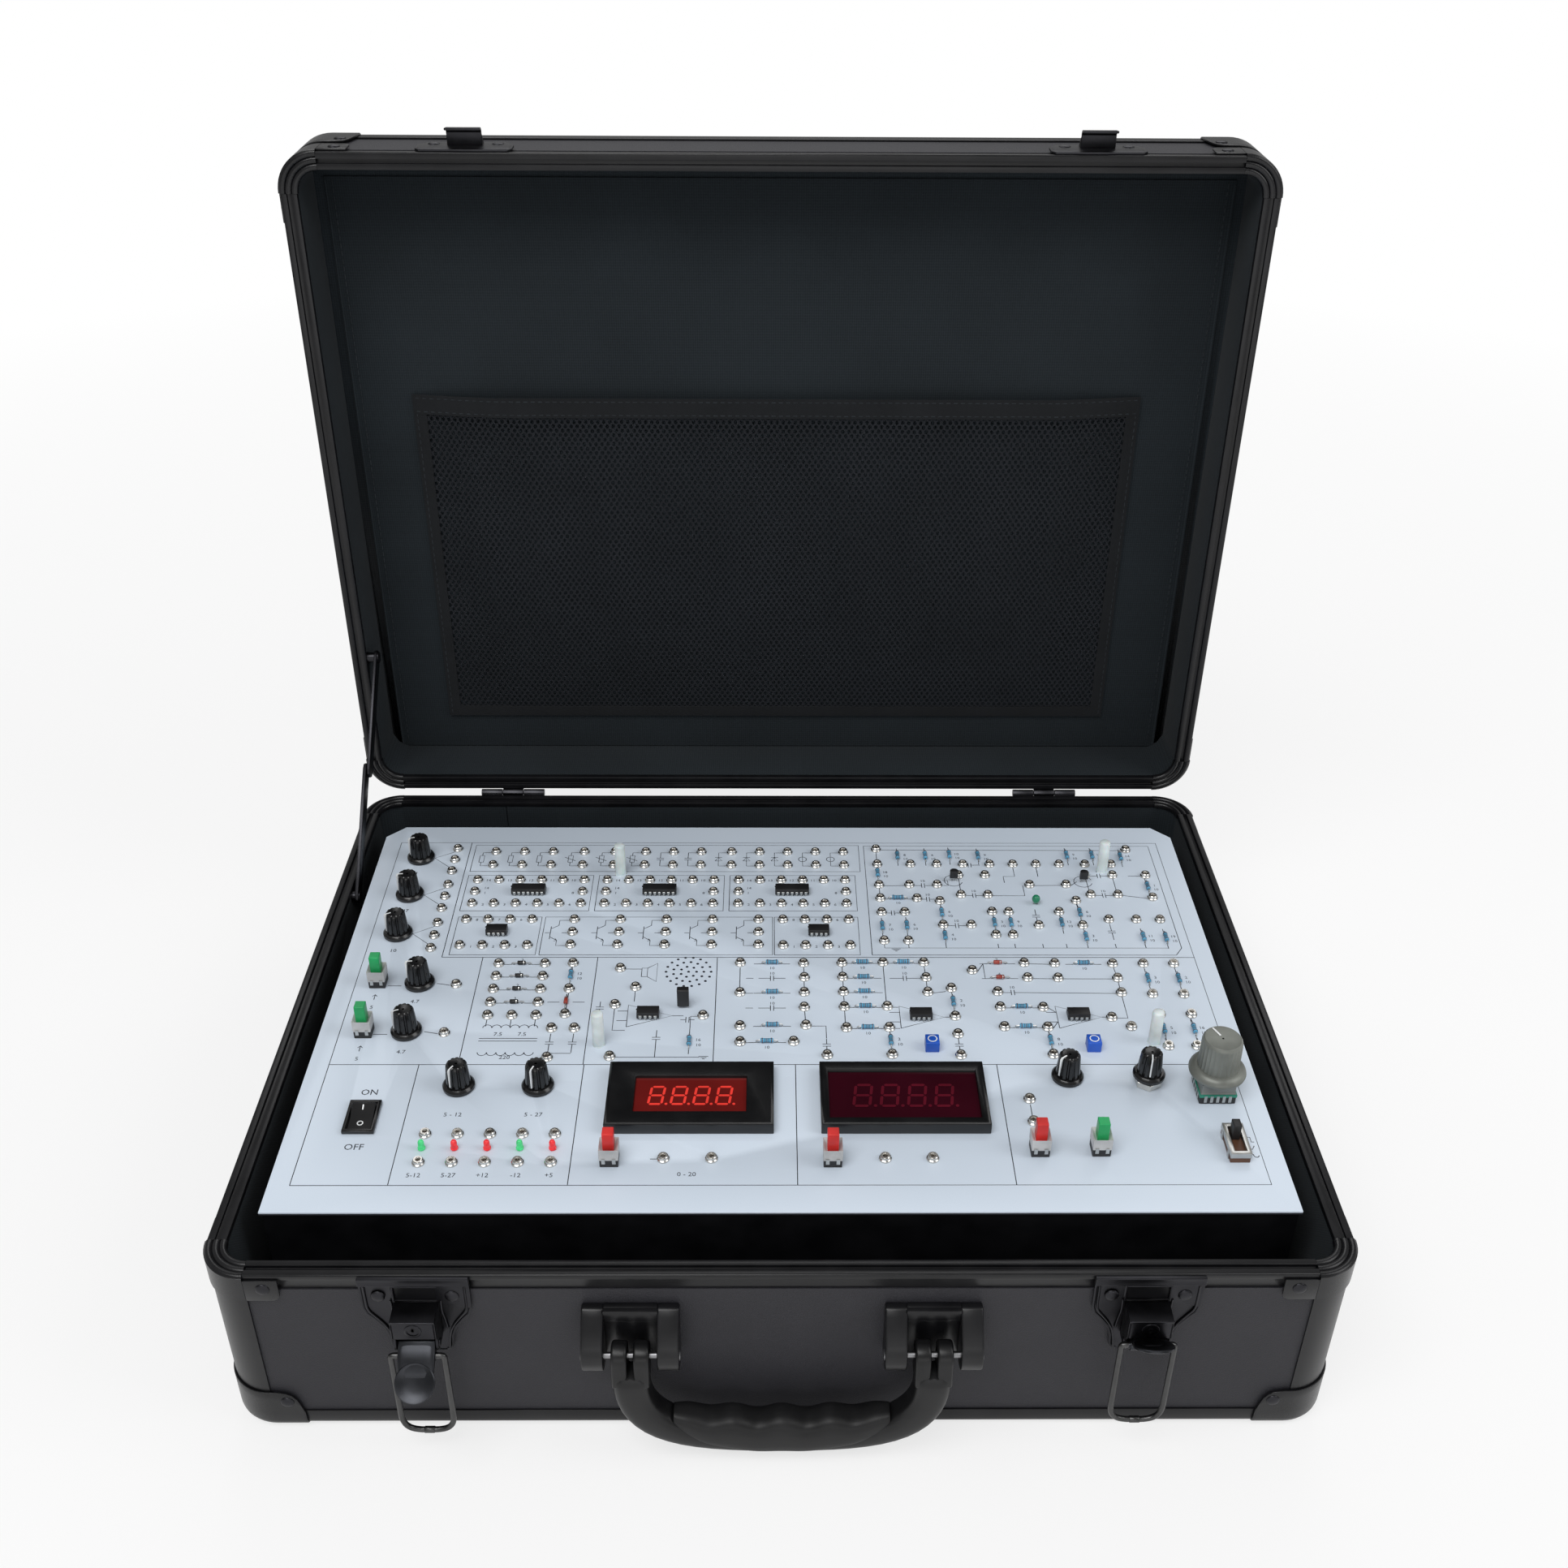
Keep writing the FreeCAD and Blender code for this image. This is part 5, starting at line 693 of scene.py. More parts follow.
rivets = {"radius": 3.1, "proud": 1.05, "rimIn": 28, "rimDrop": 7.4, "ballIn": 27, "ballUp": 18}


def domeRivet(name):                     # stands on the XY plane, pressed in a little at its rim
    r, h = rivets["radius"], rivets["proud"]
    profile = [(0, h)] + [(r * math.sin(math.radians(t)), h * math.cos(math.radians(t)) ** 0.8) for t in (20, 40, 58, 74)]
    return turned(name, profile + [(r, 0.12), (r, 0)], steps=20)


def makeRivets(isLid):
    prefix = "lid" if isLid else "base"
    fromRim, fromFoot = heights(isLid)
    made = []
    for inwards, z in ((rivets["rimIn"], fromRim(rivets["rimDrop"])), (rivets["ballIn"], fromFoot(rivets["ballUp"]))):
        side = domeRivet(prefix + "Rivet")
        moved(side, turn=90, axis="Y")
        moved(side, case["halfWidth"] + shell["skin"], case["halfDepth"] - inwards, z)
        back = domeRivet(prefix + "Rivet")
        moved(back, turn=-90, axis="X")
        moved(back, case["halfWidth"] - inwards, case["halfDepth"] + shell["skin"], z)
        made += [side, back]
    piece = mirrored(mirrored(joined(prefix + "CaseRivets", made), "X"), "Y")
    return piece


for isLid in (False, True):
    makeFrame(isLid)
    makeCorners(isLid)
print("case frame and corners made")


# The working panel: its board, the printed circuit drawings and the numbers on it.
board = {
    "halfX": 230, "halfY": 150, "top": 100, "thick": 2, "chamfer": 10, "line": 0.21, "inkRise": 0.05, "digit": 3.3,
}
sockets = [(-167.7, 5), (-167.7, -32.5)]


def rowOf(y, start, pitch, count):
    return [(start + pitch * step, y) for step in range(count)]


def columnOf(x, start, pitch, count):
    return [(x, start + pitch * step) for step in range(count)]


for firstY in (127, 92, 57):
    sockets += columnOf(-186, firstY, -11, 3)
for y in (124, 111):
    sockets += rowOf(y, -163.5, 16.5, 3) + rowOf(y, -112.5, 17.7, 3) + rowOf(y, -61, 16, 2) + rowOf(y, -27.5, 16.1, 5)
for start in (-170, -97, -23):
    sockets += rowOf(96.5, start, 12, 6) + rowOf(74.5, start, 12, 6) + rowOf(85.5, start, 60, 2)
for start in (-171, 1.7):
    sockets += rowOf(60, start, 12, 4) + rowOf(37.5, start, 12, 4)
for y in (60, 49, 38):
    sockets += rowOf(y, -112, 25.1, 5)
sockets += rowOf(112, 75, 15, 3) + rowOf(112, 120.3, 13.3, 4) + rowOf(112, 175, 15, 2) + rowOf(101.5, 101.5, 15, 2)
sockets += [
    (56, 127), (56, 112), (56, 92), (56, 79.5), (56, 66.7), (56, 41.5), (68.7, 66.8), (69, 41.5), (201, 126.6),
    (73, 92.2), (88.6, 92.3), (101.2, 82.8), (116.2, 82.7), (140.7, 92.3), (76.4, 79.4), (88.9, 77),
    (88.9, 55.4), (104.2, 55.4), (116.8, 67.2), (125.9, 67), (116.7, 46.7), (125.9, 46.7), (141, 55.1),
    (153.7, 67.1), (161.3, 92.5), (173.5, 101.5), (189, 101.5), (173.8, 83), (189, 83), (164.6, 77.3),
    (164.9, 55.1), (180, 60.3), (195, 60.2), (208, 60.2), (207.8, 101.4), (207.9, 80.4),
]
sockets += columnOf(-148, 22, -10.4, 4) + columnOf(-123.7, 22, -10.4, 4) + rowOf(-19.3, -148, 12.2, 3)
sockets += [(-109, 22.4), (-109, 1.6), (-109, -18.3), (-114.7, -29), (-103.3, -29), (-114.6, -50.6)]
sockets += [(-83.8, 18.2), (-74.8, 2.9), (-84.4, -11), (-39.2, -19.4), (-84, -49.8)]
sockets += [(-21, 22.7), (12.3, 22.3), (12.5, 10.7), (-20.8, -1.5), (12.3, -1.3), (12.1, -13), (-20.4, -27.3)]
sockets += [(12.7, -26.8), (-20.2, -39.2), (6.4, -39), (22.8, -48.8)]
sockets += columnOf(32.5, 22.7, -11.8, 4) + [(33, -28.8), (54.2, 23), (54.4, -12.4), (54.5, -28.6), (75.7, 23)]
sockets += [(76, 10.6), (76, -1.1), (88.4, 2), (88.4, -20), (88.5, -33.4), (88.5, -48.9), (54.8, -48.4)]
sockets += [
    (100.7, 16.5), (128.7, 22.6), (129, 10.5), (144.8, 22.3), (175.4, 22.1), (144.9, 10.3), (176, 10.2),
    (112.1, -0.8), (175.9, -1.5), (112.1, -12.8), (133.9, -13.1), (112.4, -28), (134.1, -28.3), (134.1, -48.4),
    (167.6, -20.8), (191.6, 22.2), (207.7, 22.1), (191.8, -2.6), (207.9, -2.7), (176.3, -27.8), (192.6, -18.4),
    (208.5, -18.3), (192.1, -42.2), (206.3, -42.2),
]
uprightResistors = [
    (68, 120), (84, 120), (98, 121), (114.4, 120), (165.8, 120.5), (180.4, 120.5), (196.7, 119), (55.7, 103),
    (55.6, 54), (69, 54.5), (89, 66), (89, 45.5), (117, 57), (126, 57), (153.7, 57), (165, 66), (165, 44.5),
    (196, 44.5), (208, 44), (207, 90.5), (-109.3, 12.5), (-45.5, -39), (54.6, -38.5), (88.4, -9), (134.1, -38.5),
    (191.7, 9.5), (207.8, 9.5), (192.2, -30), (207.4, -30),
]
acrossResistors = [
    (65.7, 79.5), (-4.3, 22.5), (-4.3, -1.4), (-4.3, -27), (-6.9, -39.1), (43.3, 22.9), (43.3, 10.7), (43.3, -0.9),
    (43.3, -12.5), (43.7, -28.7), (65, 23), (160.1, 22.2), (122.9, -12.9), (123.2, -28.1),
]
acrossDiodes = [(-136, 22), (-136, 11.6), (-136, 1.2), (-136, -9.2), (-109.6, -8.4), (114.7, 22.6), (114.7, 10.5)]
terminals = [(x, -102.5) for x in (-165, -150, -135, -120, -105)] + [(x, -120.4) for x in (-165, -150, -135, -120)]
terminals += [(-54, -118), (47.3, -118), (69, -118), (118.2, -79.6), (118.2, -94.6), (-105, -120.4), (-32, -118)]
longChips = ((-140, 85.5), (-67, 85.5), (7, 85.5))
shortChips = ((-152.7, 48.7), (21, 48.7), (-67, -19), (71, -20), (150.7, -20))


def panelLook():
    look = Look("panelSheet", (0.66, 0.745, 0.85), 0.42, **{"Coat Weight": 0.25, "Coat Roughness": 0.25})
    x, y, z = look.parts()
    cloud = look.noise(90, 3)
    speck = look.noise(0.5, 2)
    tone = (cloud * 0.5 + speck * 0.5).ramped(0.2, 0.8)
    sheet = look.blend(tone, (0.625, 0.715, 0.82), (0.685, 0.765, 0.865))
    edge = (z < 99.2)
    look.feed("Base Color", look.blend(edge, sheet, (0.03, 0.033, 0.04)))
    look.feed("Roughness", 0.36 + cloud * 0.14)
    look.bumped(speck, 0.006, 0.3)
    return look.done()


finishes["panel"] = panelLook()


def makePanel():
    sheet = softened(nodeCopy("panelBoard", "panel"), 0.25, 2, 40)
    dress(smooth(sheet, 30), finishes["panel"], "base", ["panel"])


printLines = []


def drawn(*points):
    printLines.append(points)


def boxLine(left, low, right, high):
    drawn((left, low), (right, low), (right, high), (left, high), (left, low))


def capacitorLine(x, y, reach, across):  # two plates in the middle of a lead
    gap, plate = 0.8, 2.1
    if across:
        drawn((x - reach, y), (x - gap, y))
        drawn((x - gap, y - plate), (x - gap, y + plate))
        drawn((x + gap, y - plate), (x + gap, y + plate))
        drawn((x + gap, y), (x + reach, y))
        return
    drawn((x, y - reach), (x, y - gap))
    drawn((x - plate, y - gap), (x + plate, y - gap))
    drawn((x - plate, y + gap), (x + plate, y + gap))
    drawn((x, y + gap), (x, y + reach))


def groundLine(x, y):
    for step, half in enumerate((2.4, 1.5, 0.6)):
        drawn((x - half, y - step * 0.9), (x + half, y - step * 0.9))


def amplifierLine(x, y, size):           # the triangle behind a short chip
    drawn((x - size, y - size * 0.8), (x + size * 1.15, y), (x - size, y + size * 0.8), (x - size, y - size * 0.8))
    drawn((x + size * 1.15, y), (x + size * 1.7, y))
    drawn((x - size * 1.5, y + size * 0.35), (x - size, y + size * 0.35))
    drawn((x - size * 1.5, y - size * 0.35), (x - size, y - size * 0.35))


def arcLine(x, y, radius, start, end, steps=8):
    turns = [math.radians(start + (end - start) * step / steps) for step in range(steps + 1)]
    drawn(*[(x + radius * math.cos(turn), y + radius * math.sin(turn)) for turn in turns])


def drawPanelLines():
    boxLine(-220, -134, 220, 134)
    drawn((-220, -55), (220, -55))
    drawn((-179, 28), (220, 28))
    drawn((-179, 28), (-179, 134))
    for x in (-157.3, -96.5, -33.2):
        drawn((x, -55), (x, 28))
    for x in (-176.3, -96, 7.1, 105.4):
        drawn((x, -134), (x, -55))
    boxLine(-176, 105.5, 46, 131.5)
    for left in (-176, -102, -28):
        boxLine(left, 68.5, left + 70.8, 101.7)
    boxLine(-175.6, 30, -130, 63)
    boxLine(-128, 30, -4, 63)
    boxLine(-3, 30, 42.7, 63)
    drawn((49, 30), (49, 131), (215, 131), (215, 36), (211, 30), (49, 30))
    for x, y in uprightResistors:
        drawn((x, y - 8.5), (x, y - 3.4))
        drawn((x, y + 3.4), (x, y + 8.5))
    for x, y in acrossResistors + acrossDiodes:
        drawn((x - 9.5, y), (x - 3.4, y))
        drawn((x + 3.4, y), (x + 9.5, y))
    for x, y in shortChips[2:]:
        amplifierLine(x, y, 10.5)
    drawStrip()
    drawAmplifier()
    drawModules()
    drawBottom()


def drawStrip():                         # the loose parts along the top
    for index, x in enumerate([-163.5 + 16.5 * step for step in range(3)] + [-112.5 + 17.7 * step for step in range(3)]):
        drawn((x - 3, 124), (x - 7.5, 124), (x - 7.5, 121))
        drawn((x - 3, 111), (x - 7.5, 111), (x - 7.5, 114.5))
        boxLine(x - 8.8, 114.5, x - 6.2, 121)
        if index > 2:
            drawn((x - 11, 119.5), (x - 4.5, 116))
    for x in (-61, -45):
        drawn((x - 3, 124), (x - 7.5, 124), (x - 7.5, 118.6))
        drawn((x - 3, 111), (x - 7.5, 111), (x - 7.5, 117))
        drawn((x - 9.6, 118.6), (x - 5.4, 118.6))
        drawn((x - 9.6, 117), (x - 5.4, 117))
    for step in range(5):
        x = -27.5 + 16.1 * step
        drawn((x - 3, 124), (x - 7.5, 124), (x - 7.5, 111), (x - 3, 111))
        if step < 3:
            drawn((x - 9.5, 116), (x - 5.5, 116), (x - 7.5, 119.4), (x - 9.5, 116))
            drawn((x - 9.5, 119.4), (x - 5.5, 119.4))
        else:
            arcLine(x - 7.5, 117.6, 2.3, 0, 360, 12)
    for column in range(5):
        x = -112 + 25.1 * column
        drawn((x - 3, 60), (x - 8, 60), (x - 8, 55.5), (x - 12, 52.5))
        drawn((x - 3, 38), (x - 8, 38), (x - 8, 42.5), (x - 12, 45.5))
        drawn((x - 12, 43.5), (x - 12, 54.5))
        drawn((x - 12, 49), (x - 15, 49))
        drawn((x - 9.4, 41.9), (x - 8, 42.5), (x - 8.9, 43.9))
        drawn((x - 3, 49), (x - 6, 49))


def drawAmplifier():                     # the two-stage amplifier at the right
    drawn((56, 124), (56, 115))
    drawn((59, 127), (198, 126.6))
    for x in (84, 98, 114.4, 165.8, 180.4):
        drawn((x, 127), (x, 123.5))
    capacitorLine(80.8, 92.2, 5, True)
    capacitorLine(82.6, 79.4, 3.6, True)
    capacitorLine(108.7, 82.8, 5, True)
    capacitorLine(109, 112, 5, True)
    capacitorLine(181.4, 101.5, 5, True)
    capacitorLine(181.4, 83, 5, True)
    capacitorLine(62.3, 66.8, 3.4, True)
    capacitorLine(96.5, 55.4, 5, True)
    capacitorLine(140.8, 64, 6, False)
    capacitorLine(180, 50, 7, False)
    drawn((133.5, 109), (133.5, 101), (127, 101), (127, 95))
    drawn((146.8, 109), (146.8, 101))
    drawn((59, 92), (70, 92.2))
    drawn((56, 89), (56, 82.5))
    drawn((59, 79.5), (61.5, 79.5))
    drawn((69.8, 79.5), (73.5, 79.5))
    drawn((91.6, 92.3), (95, 92.3), (95, 97), (92, 97))
    drawn((101.5, 98.5), (101.5, 85.8))
    drawn((119.2, 82.7), (137, 82.7), (137, 92.3))
    drawn((143.7, 92.3), (158.3, 92.5))
    drawn((173.5, 98.5), (173.8, 86))
    drawn((164.6, 74.3), (165, 70))
    drawn((168, 96), (164.5, 92.5))
    drawn((189, 98.5), (189, 86))
    drawn((192, 83), (204.8, 80.4))
    drawn((198, 101.5), (204.8, 101.4))
    drawn((56, 38.5), (56, 36), (208, 36), (208, 39))
    for x in (69, 89, 117, 126, 141, 153.7, 165, 180, 196):
        drawn((x, 39.5), (x, 36))
    groundLine(62, 35.2)
    arcLine(98.3, 97, 5.2, 20, 340, 14)
    arcLine(171.6, 96, 5.2, 20, 340, 14)


def drawModules():                       # rectifier, power amplifier and the operational amplifiers
    for y in (22, 11.6, 1.2, -9.2):
        drawn((-145, y), (-141, y))
        drawn((-131, y), (-126.7, y))
    for x in (-148, -135.8, -123.6):
        drawn((x, -22.3), (x, -27))
    for low, step in ((-30.5, 1), (-44, -1)):
        for index in range(6):
            arcLine(-147 + 4.6 * index, low + 2.3 * step, 2.3, 0, 180 * step, 6)
    drawn((-150, -36), (-121, -36))
    drawn((-150, -38), (-121, -38))
    for x in (-114.7, -103.3):
        capacitorLine(x, -39.5, 7, False)
    drawn((-114.7, -47), (-103.3, -47))
    drawn((-109, 19), (-109, 16))
    drawn((-109, -1.5), (-109, -15))
    boxLine(-72.5, 12, -69.5, 19)
    drawn((-69.5, 19), (-64.5, 23), (-64.5, 8), (-69.5, 12))
    drawn((-80.8, 18.2), (-72.5, 18.2))
    drawn((-74.8, 0), (-74.8, -8))
    drawn((-84.4, -14), (-84.4, -30), (-78, -30))
    capacitorLine(-92, -13, 5, False)
    capacitorLine(-62, -36, 6, False)
    capacitorLine(-47, -22, 3.6, True)
    drawn((-42.2, -19.4), (-45.5, -19.4), (-45.5, -33))
    drawn((-81, -49.8), (-40, -49.8))
    drawn((-62, -42), (-62, -49.8))
    groundLine(-38, -49.2)
    for y in (10.7, -1.4, -13):
        drawn((-17.8, y), (-14, y))
    capacitorLine(-4.3, 10.7, 7, True)
    capacitorLine(-4.3, -13, 7, True)
    drawn((-21, 19.5), (-21, 1.5))
    drawn((12.4, 19.3), (12.4, 1.7))
    drawn((12.3, -16), (12.6, -23.8))
    drawn((15.7, -26.8), (22.8, -26.8), (22.8, -36))
    capacitorLine(22.8, -41, 4.6, False)
    drawn((-17.3, -39.2), (-14, -39.2))
    for start, end in ((22.7, 10.9), (10.9, -0.9), (-0.9, -12.7), (-12.7, -28.8)):
        drawn((32.6, start - 3), (32.6, end + 3))
    drawn((54.2, 20), (54.2, -9))
    drawn((57, -12.4), (60, -12.4))
    drawn((57.5, -28.6), (60, -28.6))
    capacitorLine(65, 10.7, 8, True)
    drawn((75.8, 20), (75.9, 13.6))
    drawn((76, 7.6), (76, 1.9))
    drawn((79, -1.1), (85.4, 0))
    drawn((88.4, -1), (88.4, -3))
    drawn((88.4, -15), (88.4, -17))
    capacitorLine(88.5, -41, 5.5, False)
    drawn((103.7, 16.5), (107, 22.6))
    drawn((107, 22.6), (107, 10.5), (109, 10.5))
    drawn((131.7, 22.6), (141.8, 22.3))
    drawn((132, 10.5), (141.9, 10.3))
    capacitorLine(120, -0.8, 5, True)
    drawn((147.8, 10.3), (173, 10.2))
    drawn((125, -0.8), (172.9, -1.5))
    drawn((175.6, 19), (176, 13.2))
    drawn((176, 7.2), (176, 1.5))
    drawn((175.9, -4.5), (175.9, -20.8), (170.6, -20.8))
    drawn((136.9, -13.1), (140, -16.3))
    drawn((137.1, -28.3), (140, -23.6))
    for x in (191.7, 207.8):
        drawn((x, 19), (x, 15))
        drawn((x, 3.5), (x, 0.5))
        drawn((x, -21.5), (x, -24))
        drawn((x, -36), (x, -39))
    drawn((-183.5, 127), (-198, 118.5), (-183.5, 105))
    drawn((-183.5, 92), (-198, 83), (-183.5, 70))
    drawn((-183.5, 57), (-198, 48), (-183.5, 35))
    for y in (6.5, -31):
        drawn((-203, y - 2), (-196, y - 2))
        drawn((-178, y), (-171, y - 1.5))


def drawBottom():                        # step marks of the buttons and the waveforms
    for x, y in ((-208, -6.5), (-207.5, -45.5)):
        drawn((x, y), (x, y + 4))
        drawn((x - 1.2, y + 2.6), (x, y + 4), (x + 1.2, y + 2.6))
    drawn((214, -107.5), (215.5, -107.5), (215.5, -104.5), (217.3, -104.5), (217.3, -107.5), (218.6, -107.5))
    drawn((214, -112), (215.2, -109.6), (216.6, -112.4), (218, -110))
    arcLine(215.2, -116, 1.2, 180, 0, 6)
    arcLine(217.6, -116, 1.2, 180, 360, 6)
    drawn((118.2, -83), (118.2, -91))
    drawn((-60, -118), (-51, -118))


def makeLines():
    path = bpy.data.curves.new("panelLines", "CURVE")
    path.dimensions = "3D"
    path.bevel_depth = board["line"] * mm
    path.bevel_resolution = 0
    for points in printLines:
        line = path.splines.new("POLY")
        line.points.add(len(points) - 1)
        for point, spot in zip(line.points, points):
            point.co = (spot[0] * mm, spot[1] * mm, 0, 1)
    piece = bpy.data.objects.new("panelLines", path)
    bpy.context.scene.collection.objects.link(piece)
    pickOnly(piece)
    bpy.ops.object.convert(target="MESH")
    piece = bpy.context.object
    piece.data.transform(Matrix.Translation((0, 0, board["top"] * mm + 0.00001)) @ Matrix.Scale(0.2, 4, (0, 0, 1)))
    return dress(piece, finishes["ink"], "base")


def lettering(name, words, size, z=None):  # words as (text, x, y)
    made = []
    for text, x, y in words:
        readyObjectMode()
        bpy.ops.object.text_add()
        label = bpy.context.object
        label.data.body = text
        label.data.size = size * mm * 1.35
        label.data.align_x = "CENTER"
        label.data.align_y = "CENTER"
        label.data.resolution_u = 2
        bpy.ops.object.convert(target="MESH")
        label = bpy.context.object
        label.data.transform(Matrix.Translation((x * mm, y * mm, (z or board["top"] + board["inkRise"]) * mm)))
        made.append(label)
    return joined(name, made)


def makeNumbers():
    words = [("ON", -196.3, -74.5), ("OFF", -196.3, -110.5)]
    small = []
    for start in (-170, -97, -23):
        small += [(str(14 - step), start + 12 * step + 5.8, 96.8) for step in range(5)]
        small += [(str(step + 2), start + 12 * step + 5.8, 74.2) for step in range(5)]
        small += [("1", start + 5.5, 85), ("14", start + 5.8, 89.5), ("8", start + 54.5, 85)]
    for start in (-171, 1.7):
        small += [(str(8 - step), start + 12 * step + 5.8, 60.4) for step in range(3)]
        small += [(str(step + 1), start + 12 * step + 5.8, 37) for step in range(3)]
    for x, y in uprightResistors:
        small += [(str(int(abs(x * 7 + y)) % 19 + 1), x + 4.4, y + 1.8), ("10", x + 4.6, y - 2)]
    for x, y in acrossResistors:
        small += [("10", x, y - 3.6)]
    for x, y in acrossDiodes:
        small += [(str(int(abs(y)) % 7 + 1), x, y + 3.6)]
    for x, y in ((80.8, 96.5), (82.6, 83.6), (108.7, 87), (181.4, 105.6), (181.4, 87), (96.5, 59.6), (-4.3, 14.6),
                 (-4.3, -9.4), (65, 14.6), (120, 3.2)):
        small += [("10", x, y)]
    big = [("5 - 12", -154.4, -89.5), ("5 - 27", -116.6, -89.5), ("+12", -135, -128), ("-12", -120, -128),
           ("+5", -105, -128), ("5-12", -166, -128), ("5-27", -150.3, -128), ("0 - 20", -43, -127.5),
           ("7.5", -141, -33), ("7.5", -129, -33), ("220", -135.5, -50), ("4.7", -186.8, -8), ("4.7", -186.8, -46),
           ("1", -205.8, 103.5), ("47", -205.8, 68.5), ("10", -205.8, 33.5), ("5", -208, -12.5), ("5", -207.5, -51)]
    made = joined("panelNumbers", [
        lettering("caps", words, 3.9), lettering("small", small, 2.1), lettering("big", big, 2.7),
    ])
    dress(made, finishes["ink"], "base")


def makeSpeakerHoles():
    spots = [(0, 0)]
    for radius, count in ((4.2, 7), (8, 13), (11.8, 18)):
        spots += [(radius * math.cos(2 * math.pi * k / count), radius * math.sin(2 * math.pi * k / count))
                  for k in range(count)]
    # dark discs stand in for the grille holes: partly the black loudspeaker behind them, partly painted shade in the
    # holes
    hole = disc("speakerHole", 0.75, 99.6, 100.04, sides=10)
    made = copies("speakerHoles", hole, [(-48 + x, 16 + y, 0) for x, y in spots])
    dress(made, finishes["ink"], "base")


makePanel()
drawPanelLines()
makeLines()
makeNumbers()
makeSpeakerHoles()
print("panel made")


# What stands on the panel. Each shape is made once at the panel's middle and copied to its places.
top = board["top"]


def spun(name, profile, steps=16, x=0, y=0, z=0):
    return turned(name, profile, x, y, z, steps)


def makeSockets():
    profile = [(0.95, 0.35), (0.98, 2.1), (1.35, 2.6), (2.05, 2.6), (2.4, 2.25), (2.45, 1.2), (2.95, 0.8), (3.0, 0)]
    ring = spun("socket", profile, 12)
    # each socket's hole is closed low down by a dark disc: painted shade of the deep bore
    shadePlug = disc("socketShadePlug", 1.0, 0.1, 0.9, sides=10)
    for name, node, places in (("patchSockets", "patch_sockets", sockets), ("terminals", "supply_terminals", terminals)):
        for shape, suffix in ((ring, ""), (shadePlug, "Bores")):
            twin = shape.copy()
            twin.data = shape.data.copy()
            bpy.context.scene.collection.objects.link(twin)
            made = copies(name + suffix, twin, [(x, y, top) for x, y in places])
            finish = finishes["bore"] if suffix else finishes["nickel"]
            dress(smooth(made, 35), finish, "base", [] if suffix else [node])
    for shape in (ring, shadePlug):
        bpy.data.objects.remove(shape)


# painted shade: the dark colour of the discs in the socket holes
finishes["bore"] = plainLook("socketBoreShade", (0.035, 0.02, 0.012), 0.5)
finishes["paleBlue"] = plainLook("resistorBlue", (0.09, 0.33, 0.52), 0.4, grain=0.5)
finishes["brownBand"] = plainLook("brownBand", (0.12, 0.03, 0.012), 0.4)
finishes["darkBand"] = plainLook("darkBand", (0.015, 0.015, 0.02), 0.4)
finishes["orangeGlass"] = plainLook("orangeGlass", (0.32, 0.045, 0.03), 0.15)
finishes["tin"] = steelLook("tinnedWire", (0.6, 0.6, 0.58), 0.3, 0.05)
finishes["chip"] = plainLook("chipBlack", (0.011, 0.011, 0.012), 0.42, grain=0.3, bump=0.012)
finishes["greenBead"] = plainLook("greenBead", (0.02, 0.26, 0.13), 0.3)


def makeResistors():
    body = spun("resistor", [(0, -3.2), (0.75, -3.2), (1.15, -2.9), (1.25, -2.4), (1.05, -1.7), (1.0, 0), (1.05, 1.7),
                             (1.25, 2.4), (1.15, 2.9), (0.75, 3.2), (0, 3.2)], 10)
    moved(body, turn=90, axis="Y")
    places = [(x, y, top + 1.5, 90) for x, y in uprightResistors] + [(x, y, top + 1.5, 0) for x, y in acrossResistors]
    wire = tube("resistorWire", [(-5.2, 0, -1.5), (-5.2, 0, -0.5), (-4.8, 0, 0), (4.8, 0, 0), (5.2, 0, -0.5), (5.2, 0, -1.5)],
                0.3, 1)
    rings = []
    for offset, radius in ((-2.3, 1.28), (-0.9, 1.04), (0.0, 1.03), (0.9, 1.04), (2.3, 1.28)):
        ring = disc("band", radius, -0.22, 0.22, sides=10)
        moved(ring, turn=90, axis="Y")
        rings.append((offset, moved(ring, offset)))
    dark = joined("darkBands", [piece for offset, piece in rings if offset in (-0.9, 0.9)])
    brown = joined("brownBands", [piece for offset, piece in rings if offset not in (-0.9, 0.9)])
    made = copies("resistorBodies", body, places)
    dress(smooth(made, 50), finishes["paleBlue"], "base", ["board_components"])
    dress(smooth(copies("resistorWires", wire, places), 50), finishes["tin"], "base")
    dress(copies("resistorDarkBands", dark, places), finishes["darkBand"], "base")
    dress(copies("resistorBrownBands", brown, places), finishes["brownBand"], "base")


def makeDiodes():
    body = spun("diode", [(0, -2.1), (0.9, -2.1), (1.1, -1.9), (1.1, 1.9), (0.9, 2.1), (0, 2.1)], 10)
    moved(body, turn=90, axis="Y")
    wire = tube("diodeWire", [(-5, 0, -1.2), (-5, 0, -0.4), (-4.6, 0, 0), (4.6, 0, 0), (5, 0, -0.4), (5, 0, -1.2)], 0.3, 1)
    band = disc("diodeBand", 1.14, 1.0, 1.5, sides=10)
    moved(band, turn=90, axis="Y")
    spots = [(x, y, top + 1.2, 90 if abs(x + 109.6) < 1 else 0) for x, y in acrossDiodes]
    glass = body.copy()
    glass.data = body.data.copy()
    bpy.context.scene.collection.objects.link(glass)
    dress(smooth(copies("rectifierDiodes", body, spots[:4]), 50), finishes["chip"], "base")
    dress(smooth(copies("glassDiodes", glass, spots[4:]), 50), finishes["orangeGlass"], "base")
    dress(copies("diodeWires", wire, spots), finishes["tin"], "base")
    dress(copies("diodeBands", band, spots), finishes["tin"], "base")


